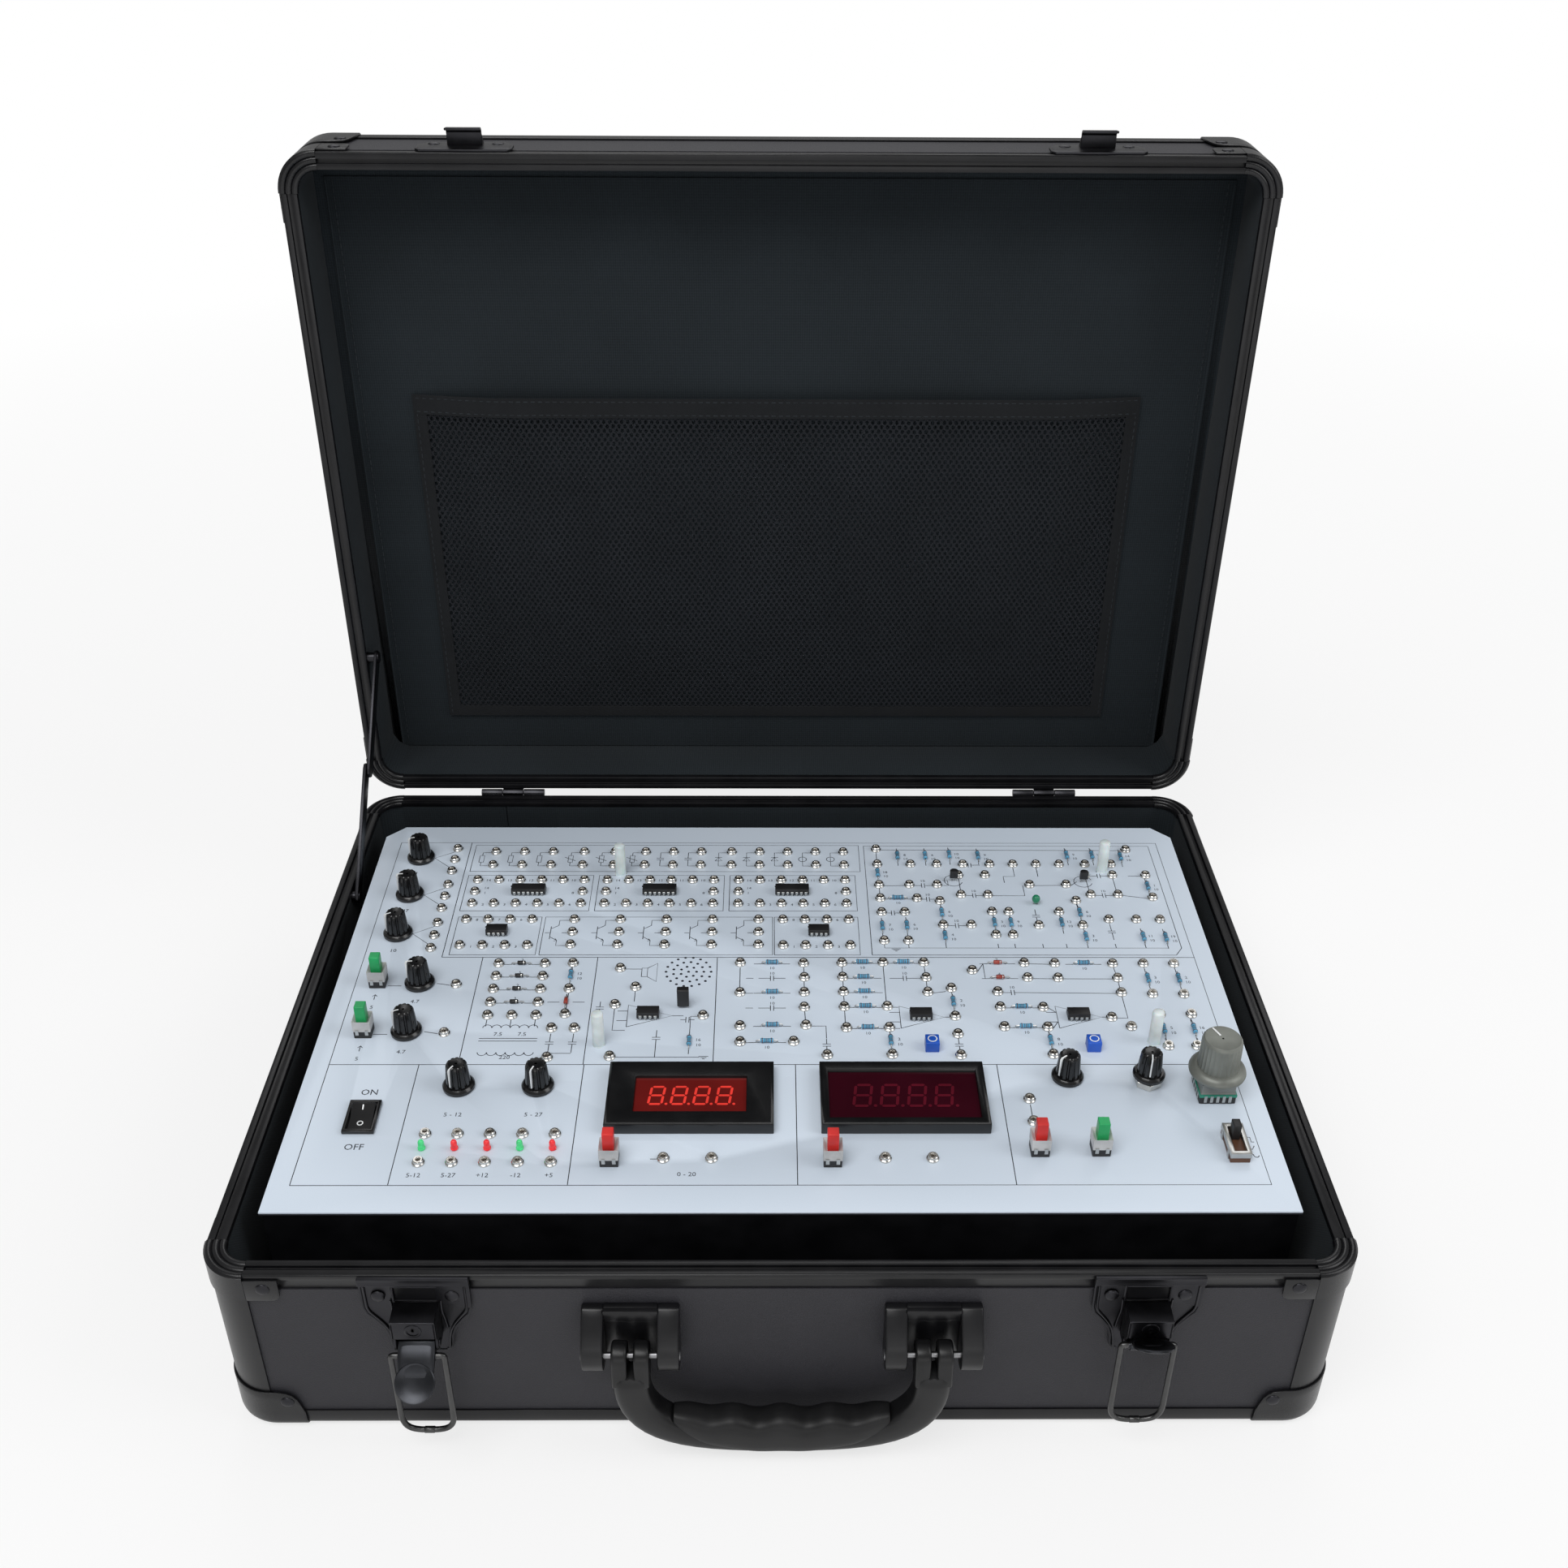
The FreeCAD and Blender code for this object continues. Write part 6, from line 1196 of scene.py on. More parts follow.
def makeUprightParts():
    for index, (x, y) in enumerate(((98.3, 97), (171.6, 96))):
        corners = [(-2.3, -1.6), (2.3, -1.6)] + [
            (2.3 * math.cos(math.radians(t)), -0.2 + 1.9 * math.sin(math.radians(t))) for t in range(0, 181, 20)
        ]
        can = softened(outlined(f"transistor{index}", corners, "XY", top + 2.6, 4.8), 0.25, 2, 40)
        dress(smooth(moved(can, x, y), 40), finishes["chip"], "base")
    legs = []
    for x, y in ((98.3, 97), (171.6, 96)):
        legs += [tube("leg", [(x + s * 0.6, y, top + 3), (x + s * 0.8, y, top + 1.6), (x + s * 1.6, y, top)], 0.25, 1)
                 for s in (-1, 0, 1)]
    legs += [tube("leg", [(141.9 + s, 75, top + 3), (141.9 + s * 1.2, 75, top)], 0.25, 1) for s in (-1, 1)]
    legs += [tube("leg", [(-49.5 + s * 1.9, -12, top + 2.5), (-49.5 + s * 1.9, -12, top)], 0.3, 1) for s in (-1, 0, 1)]
    dress(joined("uprightLegs", legs), finishes["tin"], "base")
    bead = spun("bead", [(0, 0.9), (1.1, 1.2), (2.0, 2.4), (2.3, 3.8), (1.8, 5.2), (0.9, 5.9), (0, 6)], 14, 141.9, 75, top)
    dress(smooth(bead, 60), finishes["greenBead"], "base")
    slab = softened(block("filmBlock", (-52.5, -13.8, top + 1.4), (-46.5, -10.2, top + 12)), 0.5, 3)
    dress(smooth(slab, 40), finishes["chip"], "base")


def makeChips():
    for name, leads, places in (("long", 7, longChips), ("short", 4, shortChips)):
        length = 2.54 * leads + 1.2
        half = 3.2
        body = block(name + "Chip", (-length / 2, -half, 0.9), (length / 2, half, 4.3))
        editing(body, lambda spot, normal: normal.z > 0.9, scaled(0.985, 0.9, 1))
        body = softened(body, 0.22, 2)
        notch = disc("notch", 0.85, 4.26, 4.34, -length / 2 + 0.5, 0, 12)
        dot = disc("dot", 0.5, 4.27, 4.33, -length / 2 + 1.7, -half + 1.4, 10)
        marks = joined(name + "ChipMarks", [notch, dot])
        legs = []
        for step in range(leads):
            x = (step - (leads - 1) / 2) * 2.54
            for side in (-1, 1):
                wide = block("legTop", (x - 0.72, side * half - 0.35, 1.3), (x + 0.72, side * half + 0.35, 2.8))
                slim = block("legFoot", (x - 0.3, side * half - 0.12 + side * 0.2, 0), (x + 0.3, side * half + 0.12 + side * 0.2, 1.4))
                legs += [wide, slim]
        leg = softened(joined(name + "ChipLegs", legs), 0.08, 1)
        spots = [(x, y, top) for x, y in places]
        dress(smooth(copies(name + "Chips", body, spots)), finishes["chip"], "base",
              ["chips"] if name == "long" else [])
        dress(copies(name + "ChipLegsSet", leg, spots), finishes["tin"], "base")
        dress(copies(name + "ChipMarksSet", marks, spots), finishes["matteBlack"], "base")


def lampLook(name, color):
    look = Look(name, color, 0.18, **{"Emission Strength": 0.25})
    cloud = look.noise(1.6, 2)
    tone = look.blend(cloud, tuple(c * 0.7 for c in color), tuple(min(1, c * 1.5 + 0.03) for c in color))
    look.feed("Base Color", tone)
    look.feed("Emission Color", tone)
    return look.done()


def makeLamps():
    profile = [(0, 5.6), (0.6, 5.5), (1.1, 5.1), (1.4, 4.5), (1.5, 3.9), (1.5, 1.2), (1.8, 1.1), (1.8, 0.4), (0, 0.4)]
    redPlaces = [(x, -111.5, top) for x in (-150, -135, -105)]
    greenPlaces = [(x, -111.5, top) for x in (-165, -120)]
    for name, places, color in (("redLamps", redPlaces, (0.7, 0.015, 0.02)), ("greenLamps", greenPlaces, (0.04, 0.5, 0.16))):
        made = copies(name, spun(name, profile, 12), places)
        dress(smooth(made, 50), lampLook(name + "Lens", color), "base", ["supply_lamps"])


knobSizes = {"skirt": 7.75, "lift": 0.4, "skirtHigh": 2.6, "foot": 6.2, "top": 5.0, "high": 15, "flutes": 12}


def starRow(radius, depth, count, z):    # alternating broad ridges and narrow grooves
    row = []
    for step in range(count):
        for share, pull in ((0.0, 0), (0.32, 0), (0.5, depth), (0.68, depth * 0.9), (0.84, 0)):
            turn = 2 * math.pi * (step + share) / count
            row.append(((radius - pull) * math.cos(turn), (radius - pull) * math.sin(turn), z))
    return row


def makeKnobMaster():
    k = knobSizes
    low = k["lift"]
    skirt = spun("knobSkirt", [(0, low), (k["skirt"], low), (k["skirt"], low + 1.4), (k["skirt"] - 0.7, low + 2.3),
                               (k["foot"] + 0.5, low + k["skirtHigh"]), (0, low + k["skirtHigh"])], 32)
    start = low + k["skirtHigh"]
    rows = [starRow(k["foot"] - 0.2, 0.7, k["flutes"], start - 0.4), starRow(k["foot"] - 0.5, 0.8, k["flutes"], start + 4),
            starRow(k["top"] + 0.1, 0.75, k["flutes"], k["high"] - 1.2), starRow(k["top"] - 0.35, 0.5, k["flutes"], k["high"] - 0.4),
            starRow(k["top"] - 1.2, 0.1, k["flutes"], k["high"]), starRow(k["top"] - 1.9, 0, k["flutes"], k["high"] - 0.15),
            starRow(0.6, 0, k["flutes"], k["high"] - 0.2)]
    body = lofted("knobBody", rows, closed=True)
    return smooth(joined("knob", [skirt, body]), 35)


def makeKnobs():
    places = {
        "resistance_knob_1": (-205.8, 118.5, 200), "resistance_knob_2": (-205.8, 83, 190),
        "resistance_knob_3": (-205.8, 48, 205), "source_knob_1": (-186.8, 6.5, 185), "source_knob_2": (-186.8, -31, 200),
        "negative_supply_knob": (-154.4, -70.4, 240), "positive_supply_knob": (-116.6, -70.4, 250),
        "amplitude_knob": (138.6, -64, 215), "frequency_knob": (176.7, -68, 260),
    }
    master = makeKnobMaster()
    for node, (x, y, turn) in places.items():
        lift = 5 if node == "frequency_knob" else 0
        made = copies(node + "Dressed", master.copy(), []) if False else master.copy()
        made.data = master.data.copy()
        bpy.context.scene.collection.objects.link(made)
        named(made, node + "Grip")
        dress(moved(made, x, y, top + lift), finishes["gloss"], node, [node])
        line = block(node + "Mark", (2.2, -0.32, 15.0), (4.5, 0.32, 15.12))
        edge = block(node + "MarkSide", (5.0, -0.32, 4.2), (6.15, 0.32, 14.2))
        editing(edge, lambda spot, normal: normal.z > 0.9, pushed(-0.6, 0, 0.9))
        mark = joined(node + "Pointer", [line, edge])
        moved(mark, turn=turn)
        dress(moved(mark, x, y, top + lift), finishes["white"], node)
    bpy.data.objects.remove(master)
    nut = disc("fineNut", 6.6, 0.1, 3.4, sides=6)
    editing(nut, lambda spot, normal: normal.z > 0.9, inset(0.5, 0.25))
    dress(softened(moved(nut, 176.7, -68, top), 0.25, 2), finishes["nickel"], "base")
    rings = []
    for node, (x, y, turn) in places.items():
        if node != "frequency_knob":
            rings.append((x, y, top))
    washer = spun("washer", [(3.0, 0), (4.4, 0), (4.4, 0.3), (3.0, 0.3), (3.0, 0)], 20)
    dress(smooth(copies("bushWashers", washer, rings)), finishes["tin"], "base", ["control_bodies"])
    bush = spun("fineBush", [(3.6, 0), (3.6, 4.6), (3.1, 5.0), (0, 5.0)], 20, 176.7, -68, top)
    dress(smooth(bush), finishes["brass"], "base")


makeSockets()
makeResistors()
makeDiodes()
makeUprightParts()
makeChips()
makeLamps()
makeKnobs()
print("sockets, parts and knobs made")


# The selector, push buttons, rocker, slide switch, meters, trimmers and posts.
def fluteRow(radius, depth, count, z, x=0, y=0):
    row = []
    for step in range(count):
        for share, pull in ((0.0, 0), (0.5, depth)):
            turn = 2 * math.pi * (step + share) / count
            row.append((x + (radius - pull) * math.cos(turn), y + (radius - pull) * math.sin(turn), z))
    return row


def makeSelector():
    x, y = 207, -74
    plate = block("selectorPlate", (x - 8.6, y - 8.6, top + 0.1), (x + 8.6, y + 8.6, top + 4.2))
    dress(softened(plate, 0.3, 2), finishes["matteBlack"], "base", ["control_bodies"])
    laminate = block("selectorBoard", (x - 8.9, y - 8.9, top + 4.2), (x + 8.9, y + 8.9, top + 5.8))
    dress(softened(laminate, 0.15, 1), finishes["greenBoard"], "base")
    wafer = block("selectorWafer", (x - 8.5, y - 8.5, top + 5.8), (x + 8.5, y + 8.5, top + 11.7))
    editing(wafer, lambda spot, normal: abs(normal.y) > 0.9 or abs(normal.x) > 0.9, inset(0.8, -0.5))
    dress(softened(wafer, 0.2, 2), finishes["greyPlastic"], "base")
    pads = []
    for step in range(5):
        for side in (-1, 1):
            pads.append(block("pad", (x - 6.6 + step * 2.9, y + side * 8.95 - 0.15, top + 1.4),
                              (x - 5.2 + step * 2.9, y + side * 8.95 + 0.15, top + 5.2)))
            pads.append(block("pad", (x + side * 8.95 - 0.15, y - 6.6 + step * 2.9, top + 1.4),
                              (x + side * 8.95 + 0.15, y - 5.2 + step * 2.9, top + 5.2)))
    dress(joined("selectorPads", pads), finishes["tin"], "base")
    low = top + 12.6
    skirt = spun("selectorSkirt", [(0, 0), (12.2, 0), (13.3, 0.9), (13.5, 1.8), (13.2, 2.8), (11.6, 4.6), (10.2, 5.0), (0, 5)],
                 48, x, y, low)
    rows = [fluteRow(10.1, 0.25, 30, low + 4.6, x, y), fluteRow(9.75, 0.45, 30, low + 7, x, y),
            fluteRow(9.6, 0.45, 30, top + 31.6, x, y), fluteRow(9.3, 0.2, 30, top + 33, x, y),
            fluteRow(8.4, 0, 30, top + 33.9, x, y), fluteRow(7.9, 0, 30, top + 33.7, x, y),
            fluteRow(0.5, 0, 30, top + 33.6, x, y)]
    grip = lofted("selectorGrip", rows, closed=True)
    made = smooth(joined("selectorCap", [skirt, grip]), 40)
    dress(made, finishes["selector"], "selector_knob", ["selector_knob"])
    mark = block("selectorMark", (-0.4, 2, 33.75), (0.4, 8, 33.95))
    moved(mark, turn=25)
    dress(moved(mark, x, y, top), finishes["white"], "selector_knob")


finishes["greenBoard"] = plainLook("selectorLaminate", (0.02, 0.24, 0.16), 0.35)
finishes["greyPlastic"] = plainLook("selectorPlastic", (0.2, 0.21, 0.2), 0.45)
finishes["paleGrey"] = plainLook("paleGreyPlastic", (0.52, 0.52, 0.52), 0.45)
finishes["brownBase"] = plainLook("brownBase", (0.11, 0.045, 0.02), 0.5)


def makeButtons():
    places = {
        "source_button_1": (-208, 6.5, "green"), "source_button_2": (-207.5, -32, "green"),
        "voltmeter_button": (-78.3, -119, "red"), "frequency_meter_button": (23.2, -119.3, "red"),
        "generator_power_button": (118.3, -113, "red"), "attenuation_button": (146.3, -112.7, "green"),
    }
    housings, frames, feet = [], [], []
    for node, (x, y, color) in places.items():
        body = block("buttonBody", (x - 4.4, y - 4.4, top + 4.2), (x + 4.4, y + 4.4, top + 10.8))
        editing(body, lambda spot, normal: normal.z > 0.9, inset(1.5, -2.2))
        editing(body, lambda spot, normal: normal.y < -0.9 and spot.z > top + 4.3, inset(1.2, -0.35))
        housings.append(softened(body, 0.3, 2))
        foot = block("buttonFoot", (x - 4.2, y - 4.2, top), (x + 4.2, y + 4.2, top + 4.3))
        editing(foot, lambda spot, normal: abs(normal.y) > 0.9, inset(1.4, -0.5))
        feet.append(softened(foot, 0.25, 1))
        for side in (-1, 1):
            frames.append(block("buttonClip", (x + side * 2.4 - 0.8, y - 4.62, top + 2.4), (x + side * 2.4 + 0.8, y - 4.35, top + 5.4)))
        cap = block(node + "Cap", (x - 2.6, y - 2.6, top + 7.2), (x + 2.6, y + 2.6, top + 18.7))
        editing(cap, lambda spot, normal: normal.z > 0.9, inset(0.35, 0.1))
        cap = softened(cap, 0.9, 4, 60)
        dress(smooth(cap, 40), finishes[color], node, [node])
    dress(smooth(joined("buttonHousings", housings)), finishes["paleGrey"], "base", ["switch_bodies"])
    dress(smooth(joined("buttonFeet", feet)), finishes["matteBlack"], "base")
    dress(joined("buttonClips", frames), finishes["tin"], "base")


def makeRocker():
    x, y = -196.3, -91.8
    bezel = block("rockerBezel", (x - 7.5, y - 10.5, top), (x + 7.5, y + 10.5, top + 2.0))
    editing(bezel, lambda spot, normal: normal.z > 0.9, inset(1.5, 0.3))
    editing(bezel, lambda spot, normal: normal.z > 0.9 and abs(spot.x - x) < 2 and abs(spot.y - y) < 2, inset(0.25, -1.6))
    dress(smooth(softened(bezel, 0.3, 2)), finishes["gloss"], "base")
    paddle = softened(nodeCopy("rockerPaddle", "power_rocker"), 0.4, 3, 25)
    dress(smooth(paddle, 40), finishes["gloss"], "power_rocker", ["power_rocker"])
    spots = [vertex.co.z / mm for vertex in paddle.data.vertices]
    bar = block("rockerOnMark", (-0.3, -1.3, 0), (0.3, 1.3, 0.08))
    ring = spun("rockerOffMark", [(1.0, 0), (1.5, 0), (1.5, 0.08), (1.0, 0.08), (1.0, 0)], 24)
    tilt = math.radians(12)
    marks = []
    for piece, side in ((bar, 1), (ring, -1)):
        reach = 4.2
        hit, spot, normal, index = paddle.ray_cast(Vector((x, y + side * reach, top + 20)) * mm, Vector((0, 0, -1)))
        lean = math.degrees(math.atan2(-normal.y, normal.z)) if hit else 0
        height = spot.z / mm if hit else top + 3
        moved(piece, turn=lean, axis="X")
        marks.append(moved(piece, x, y + side * reach, height + 0.03))
    dress(joined("rockerMarks", marks), finishes["white"], "power_rocker")


def makeSlide():
    x, y = 209, -111
    base = block("slideBase", (x - 4.6, y - 9.6, top), (x + 4.6, y + 9.6, top + 3.4))
    dress(softened(base, 0.3, 2), finishes["brownBase"], "base")
    shell = block("slideShell", (x - 4.9, y - 10, top + 3.0), (x + 4.9, y + 10, top + 6))
    editing(shell, lambda spot, normal: normal.z > 0.9, inset(2.2, 0))
    editing(shell, lambda spot, normal: normal.z > 0.9 and abs(spot.x - x) < 1 and abs(spot.y - y) < 1, inset(0.05, -3))
    dress(smooth(softened(shell, 0.35, 2)), finishes["tin"], "base")
    lugs = [block("slideLug", (x + side * 4.9 - 0.2, y + along - 1.1, top), (x + side * 4.9 + 0.2, y + along + 1.1, top + 4.4))
            for side in (-1, 1) for along in (-6, 6)]
    dress(joined("slideLugs", lugs), finishes["tin"], "base")
    tab = softened(nodeCopy("slideTab", "waveform_slide"), 0.35, 3, 30)
    editing(tab, lambda spot, normal: normal.z > 0.9, inset(0.5, -0.25))
    dress(smooth(tab), finishes["matteBlack"], "waveform_slide", ["waveform_slide"])


segments = {"wide": 6.6, "high": 12.2, "stroke": 1.25}


def digitStrokes(x, y, z, size=1.0):     # the seven strokes of one figure, leaning a little
    w, h, s = segments["wide"] * size, segments["high"] * size, segments["stroke"] * size
    made = []
    for row in (-1, 0, 1):
        flat = block("stroke", (x - w / 2 + s * 0.8, y + row * h / 2 - s / 2, z), (x + w / 2 - s * 0.8, y + row * h / 2 + s / 2, z + 0.1))
        editing(flat, lambda spot, normal: normal.x > 0.9, pushed(s * 0.45, 0, 0), scaled(1, 0.2, 1))
        editing(flat, lambda spot, normal: normal.x < -0.9, pushed(-s * 0.45, 0, 0), scaled(1, 0.2, 1))
        made.append(flat)
    for side in (-1, 1):
        for half in (-1, 1):
            middle = y + half * h / 4
            flat = block("stroke", (x + side * w / 2 - s / 2, middle - h / 4 + s * 0.8, z), (x + side * w / 2 + s / 2, middle + h / 4 - s * 0.8, z + 0.1))
            editing(flat, lambda spot, normal: normal.y > 0.9, pushed(0, s * 0.45, 0), scaled(0.2, 1, 1))
            editing(flat, lambda spot, normal: normal.y < -0.9, pushed(0, -s * 0.45, 0), scaled(0.2, 1, 1))
            made.append(flat)
    piece = joined("figure", made)
    lean = Matrix.Identity(4)
    lean[0][1] = 0.12
    shift = Matrix.Translation((x * mm, y * mm, 0))
    piece.data.transform(shift @ lean @ shift.inverted())
    return piece


# colour and emission for a meter's glass and its digits; on the glass the emission is painted glow
def windowLook(name, color, glow):
    look = Look(name, color, 0.12, **{"Emission Strength": glow, "Specular IOR Level": 0.25})
    cloud = look.noise(26, 2)
    tone = look.blend(cloud, tuple(c * 0.7 for c in color), tuple(c * 1.25 for c in color))
    look.feed("Base Color", tone)
    look.feed("Emission Color", tone)
    return look.done()


def makeMeters():
    # the last value is the glass's emission strength: painted glow, since the glass is no lamp
    for name, x, wide, deep, color, digit, glow in (
        ("voltmeter", -43, 53, 24, (0.115, 0.008, 0.007), (0.5, 0.03, 0.022), 0.22),
        ("frequencyMeter", 58, 71, 32, (0.028, 0.002, 0.006), (0.075, 0.005, 0.012), 0.1),
    ):
        y = -80.7
        case = block(name + "Bezel", (x - 39.5, y - 21.5, top), (x + 39.5, y + 21.5, top + 6))
        middle = lambda spot, normal: normal.z > 0.9 and abs(spot.x - x) < 1 and abs(spot.y - y) < 1
        editing(case, middle, inset(1.8, 0))
        editing(case, middle, inset(0.5, -0.5))
        editing(case, middle, scaled(wide / 74.4, deep / 38.4, 1))
        editing(case, middle, inset(0.02, -1.9))
        case = softened(case, 0.35, 2, 30)
        dress(smooth(case, 30), finishes["gloss"], "base", ["meter_bezels"])
        pane = block(name + "Window", (x - wide / 2, y - deep / 2, top + 2.6), (x + wide / 2, y + deep / 2, top + 3.9))
        editing(pane, lambda spot, normal: normal.z > 0.9, inset(0.6, 0.02))
        dress(softened(pane, 0.15, 1), windowLook(name + "Glass", color, glow), "base", ["meter_windows"])
        size = 0.95 if wide < 60 else 1.15
        figures = [digitStrokes(x + (step - 1.5) * 11.2 * size, y, top + 3.93, size) for step in range(4)]
        dots = [disc("dot", 0.75 * size, top + 3.93, top + 4.03, x + (step - 1.5) * 11.2 * size + 4.9 * size, y - 6 * size, 10)
                for step in range(4)]
        dress(joined(name + "Figures", figures + dots), windowLook(name + "Glow", digit, 0.8 if wide < 60 else 0.3), "base")


def makeTrimmers():
    for index, (x, y) in enumerate(((74.7, -43), (154.6, -43)), 1):
        body = block(f"trimmer{index}", (x - 3.4, y - 3.4, top), (x + 3.4, y + 3.4, top + 6))
        editing(body, lambda spot, normal: normal.z > 0.9, inset(0.5, 0.12))
        dress(smooth(softened(body, 0.3, 2)), finishes["blue"], "base", ["trimmer_bodies"])
        screw = softened(nodeCopy(f"trimmerScrew{index}", f"trimmer_screw_{index}"), 0.1, 2, 40)
        dress(screw, finishes["brass"], f"trimmer_screw_{index}", [f"trimmer_screw_{index}"])
        mark = spun(f"trimmerRing{index}", [(1.9, 6.1), (2.4, 6.1), (2.4, 6.2), (1.9, 6.2), (1.9, 6.1)], 20, x, y, top)
        dress(mark, finishes["white"], "base")


def makePosts():
    post = spun("post", [(0, 20), (2.2, 20), (2.7, 19.7), (3.0, 19), (3.0, 0.5), (3.3, 0.3), (3.3, 0)], 24)
    posts = copies("posts", post, [(x, y, top) for x, y in ((-90, 103.5), (-90, -40), (184, 107), (185.5, -39))])
    dress(smooth(posts), finishes["milk"], "base", ["standoffs"])


makeSelector()
makeButtons()
makeRocker()
makeSlide()
makeMeters()
makeTrimmers()
makePosts()
print("controls made")


# Latches, hasps, handle, hinges, stays and rivets.
latch = {
    "x": 156, "plateY": -186.2, "face": -185, "low": 54, "knee": 80, "high": 99.5, "half": 23.5, "lowHalf": 13.5,
    "window": (9, 85.6, 93.6), "housing": (9.5, 12.2, 74.4, 84.8), "wall": 1.2, "pivotY": -193, "pivotZ": 67.5,
    "eye": 2.4, "arm": 5.5, "reach": 16.5, "spoon": 8.7, "width": 16, "wire": 1.3, "bail": 11.5, "bailLong": 50.2,
    "leftAngle": 45, "rightAngle": 125,
}


def cutBy(piece, cutter):
    finished(piece, ("BOOLEAN", {"operation": "DIFFERENCE", "object": cutter, "solver": "EXACT"}))
    bpy.data.objects.remove(cutter)
    return piece


def capped(piece):
    pickOnly(piece)
    bpy.ops.object.mode_set(mode="EDIT")
    bpy.ops.mesh.select_all(action="DESELECT")
    bpy.ops.mesh.select_non_manifold()
    bpy.ops.mesh.edge_face_add()
    bpy.ops.mesh.select_all(action="SELECT")
    bpy.ops.mesh.normals_make_consistent(inside=False)
    bpy.ops.object.mode_set(mode="OBJECT")
    return piece


def bothSides(piece):                    # made at the right, copied to the left without turning it over
    twin = piece.copy()
    twin.data = piece.data.copy()
    bpy.context.scene.collection.objects.link(twin)
    moved(twin, -2 * latch["x"])
    return joined(piece.name, [piece, twin])


def frontRivets(name, places):           # dome heads that face the front
    made = []
    for x, y, z in places:
        head = moved(domeRivet(name), turn=90, axis="X")
        made.append(moved(head, x, y, z))
    return joined(name, made)


def makeLatchPlates():
    l = latch
    c, low, high = l["x"], l["low"], l["high"]
    side = [(10.5, low), (12.8, low + 0.8), (13.6, low + 3), (14, low + 9), (15.6, low + 14.5), (19.2, low + 19.5),
            (22.2, low + 23), (23.4, low + 27), (23.5, high)]
    outline = [(c + a, z) for a, z in side] + [(c - a, z) for a, z in reversed(side)]
    plate = outlined("latchPlate", outline, "XZ", l["plateY"], 1.2)
    half, first, last = l["window"]
    cutBy(plate, block("cutter", (c - half, -190, first), (c + half, -180, last)))
    front = lambda spot, normal: normal.y < -0.9
    editing(plate, front, inset(0.9, 0))
    editing(plate, lambda spot, normal: normal.y < -0.9 and abs(spot.z - 75) < 25 and abs(spot.x - c) < 20
            and spot.y < l["plateY"] + 0.01 and faceIsWide(spot, c), inset(0.35, -0.4))
    plate = softened(plate, 0.2, 2, 25)
    lip = block("latchLip", (c - 23.6, l["plateY"] - 1.1, 95.4), (c + 23.6, l["face"], 99.6))
    editing(lip, lambda spot, normal: normal.y < -0.9, inset(0.8, -0.3))
    lip = softened(lip, 0.4, 3)
    ribs = []
    for mirror in (-1, 1):
        path = [(c + mirror * a, l["plateY"] - 0.05, z) for a, z in
                ((11.6, 56), (12.2, 63), (14, 69.6), (18, 75.5), (20.9, 79.5), (21.3, 84), (21.3, 94.8))]
        ribs.append(tube("latchRib", path, 0.55, 2, smoothLine=True))
        path = [(c + mirror * a, l["plateY"] - 0.02, z) for a, z in
                ((10.6, 86), (10.2, 80), (11.4, 74), (12.0, 68))]
        ribs.append(tube("latchRib", path, 0.5, 2, smoothLine=True))
    dark = block("latchWindowBack", (c - half - 1, -185.05, first - 1), (c + half + 1, -184.85, last + 1))
    editing(dark, front, inset(0.5, 0.02))
    width, out, foot, top = l["housing"]
    front = l["face"] - out
    ear = 3.2
    cheekLine = [(l["plateY"], top), (front + 0.6, top), (front, top - 0.6), (front, foot), (-195.6, 72.2),
                 (l["pivotY"] - ear, l["pivotZ"] + 1.4)]
    cheekLine += [(l["pivotY"] - ear * math.cos(math.radians(t)), l["pivotZ"] - ear * math.sin(math.radians(t)))
                  for t in range(0, 91, 15)]
    cheekLine += [(l["plateY"], l["pivotZ"] - ear)]
    cheeks = [outlined("cheek", cheekLine, "YZ", c + width - 1.2, 1.2), outlined("cheek", cheekLine, "YZ", c - width, 1.2)]
    cover = block("cover", (c - width, front, foot), (c + width, front + 1.2, top))
    editing(cover, lambda spot, normal: normal.z < -0.9, pushed(0, 0.4, -0.5))
    roof = block("roof", (c - width, front - 0.25, top - 1.0), (c + width, l["plateY"], top + 0.1))
    box = softened(joined("latchHousing", [*cheeks, cover, roof]), 0.28, 3, 40)
    pins = []
    for mirror in (-1, 1):
        pin = domeRivet("pinHead")
        pin.data.transform(Matrix.Scale(0.62, 4))
        moved(pin, turn=90 * mirror, axis="Y")
        pins.append(moved(pin, c + mirror * width, l["pivotY"], l["pivotZ"]))
    shaft = disc("pinShaft", 1.1, -8.4, 8.4, sides=14)
    moved(shaft, turn=90, axis="Y")
    pins.append(moved(shaft, c, l["pivotY"], l["pivotZ"]))
    whole = bothSides(joined("latchPlates", [plate, lip, *ribs, box, *pins]))
    dress(smooth(whole, 35), finishes["darkSteel"], "base", ["latch_plates"])
    dress(bothSides(dark), finishes["trayBlack"], "base")
    for x, name, open in ((-c, "latchLockLeft", False), (c, "latchLockRight", True)):
        ring = turned(name, [(2.6, 0.45), (3.2, 0.5), (3.7, 0.3), (3.8, 0), (2.6, 0)], steps=28)
        face = turned(name + "Face", [(0, 0.15), (2.55, 0.15), (2.65, 0), (0, 0)], steps=24)
        lock = joined(name, [ring, face])
        moved(lock, turn=90, axis="X")
        dress(smooth(moved(lock, x, front, 79.6)), finishes["darkSteel"], "base")
        # the keyhole is a flat dark inlay on the lock's face: painted shade of the recessed keyway
        hole = disc(name + "Hole", 1.0, 0.14, 0.2, 0, 0.6, 16)
        slot = block(name + "Slot", (-0.5, -2.2 if open else -0.4, 0.14), (0.5, 0.3 if open else 1.9, 0.2))
        key = joined(name + "Key", [hole, slot])
        moved(key, turn=90, axis="X")
        dress(moved(key, x, front, 79.6), finishes["trayBlack"], "base")


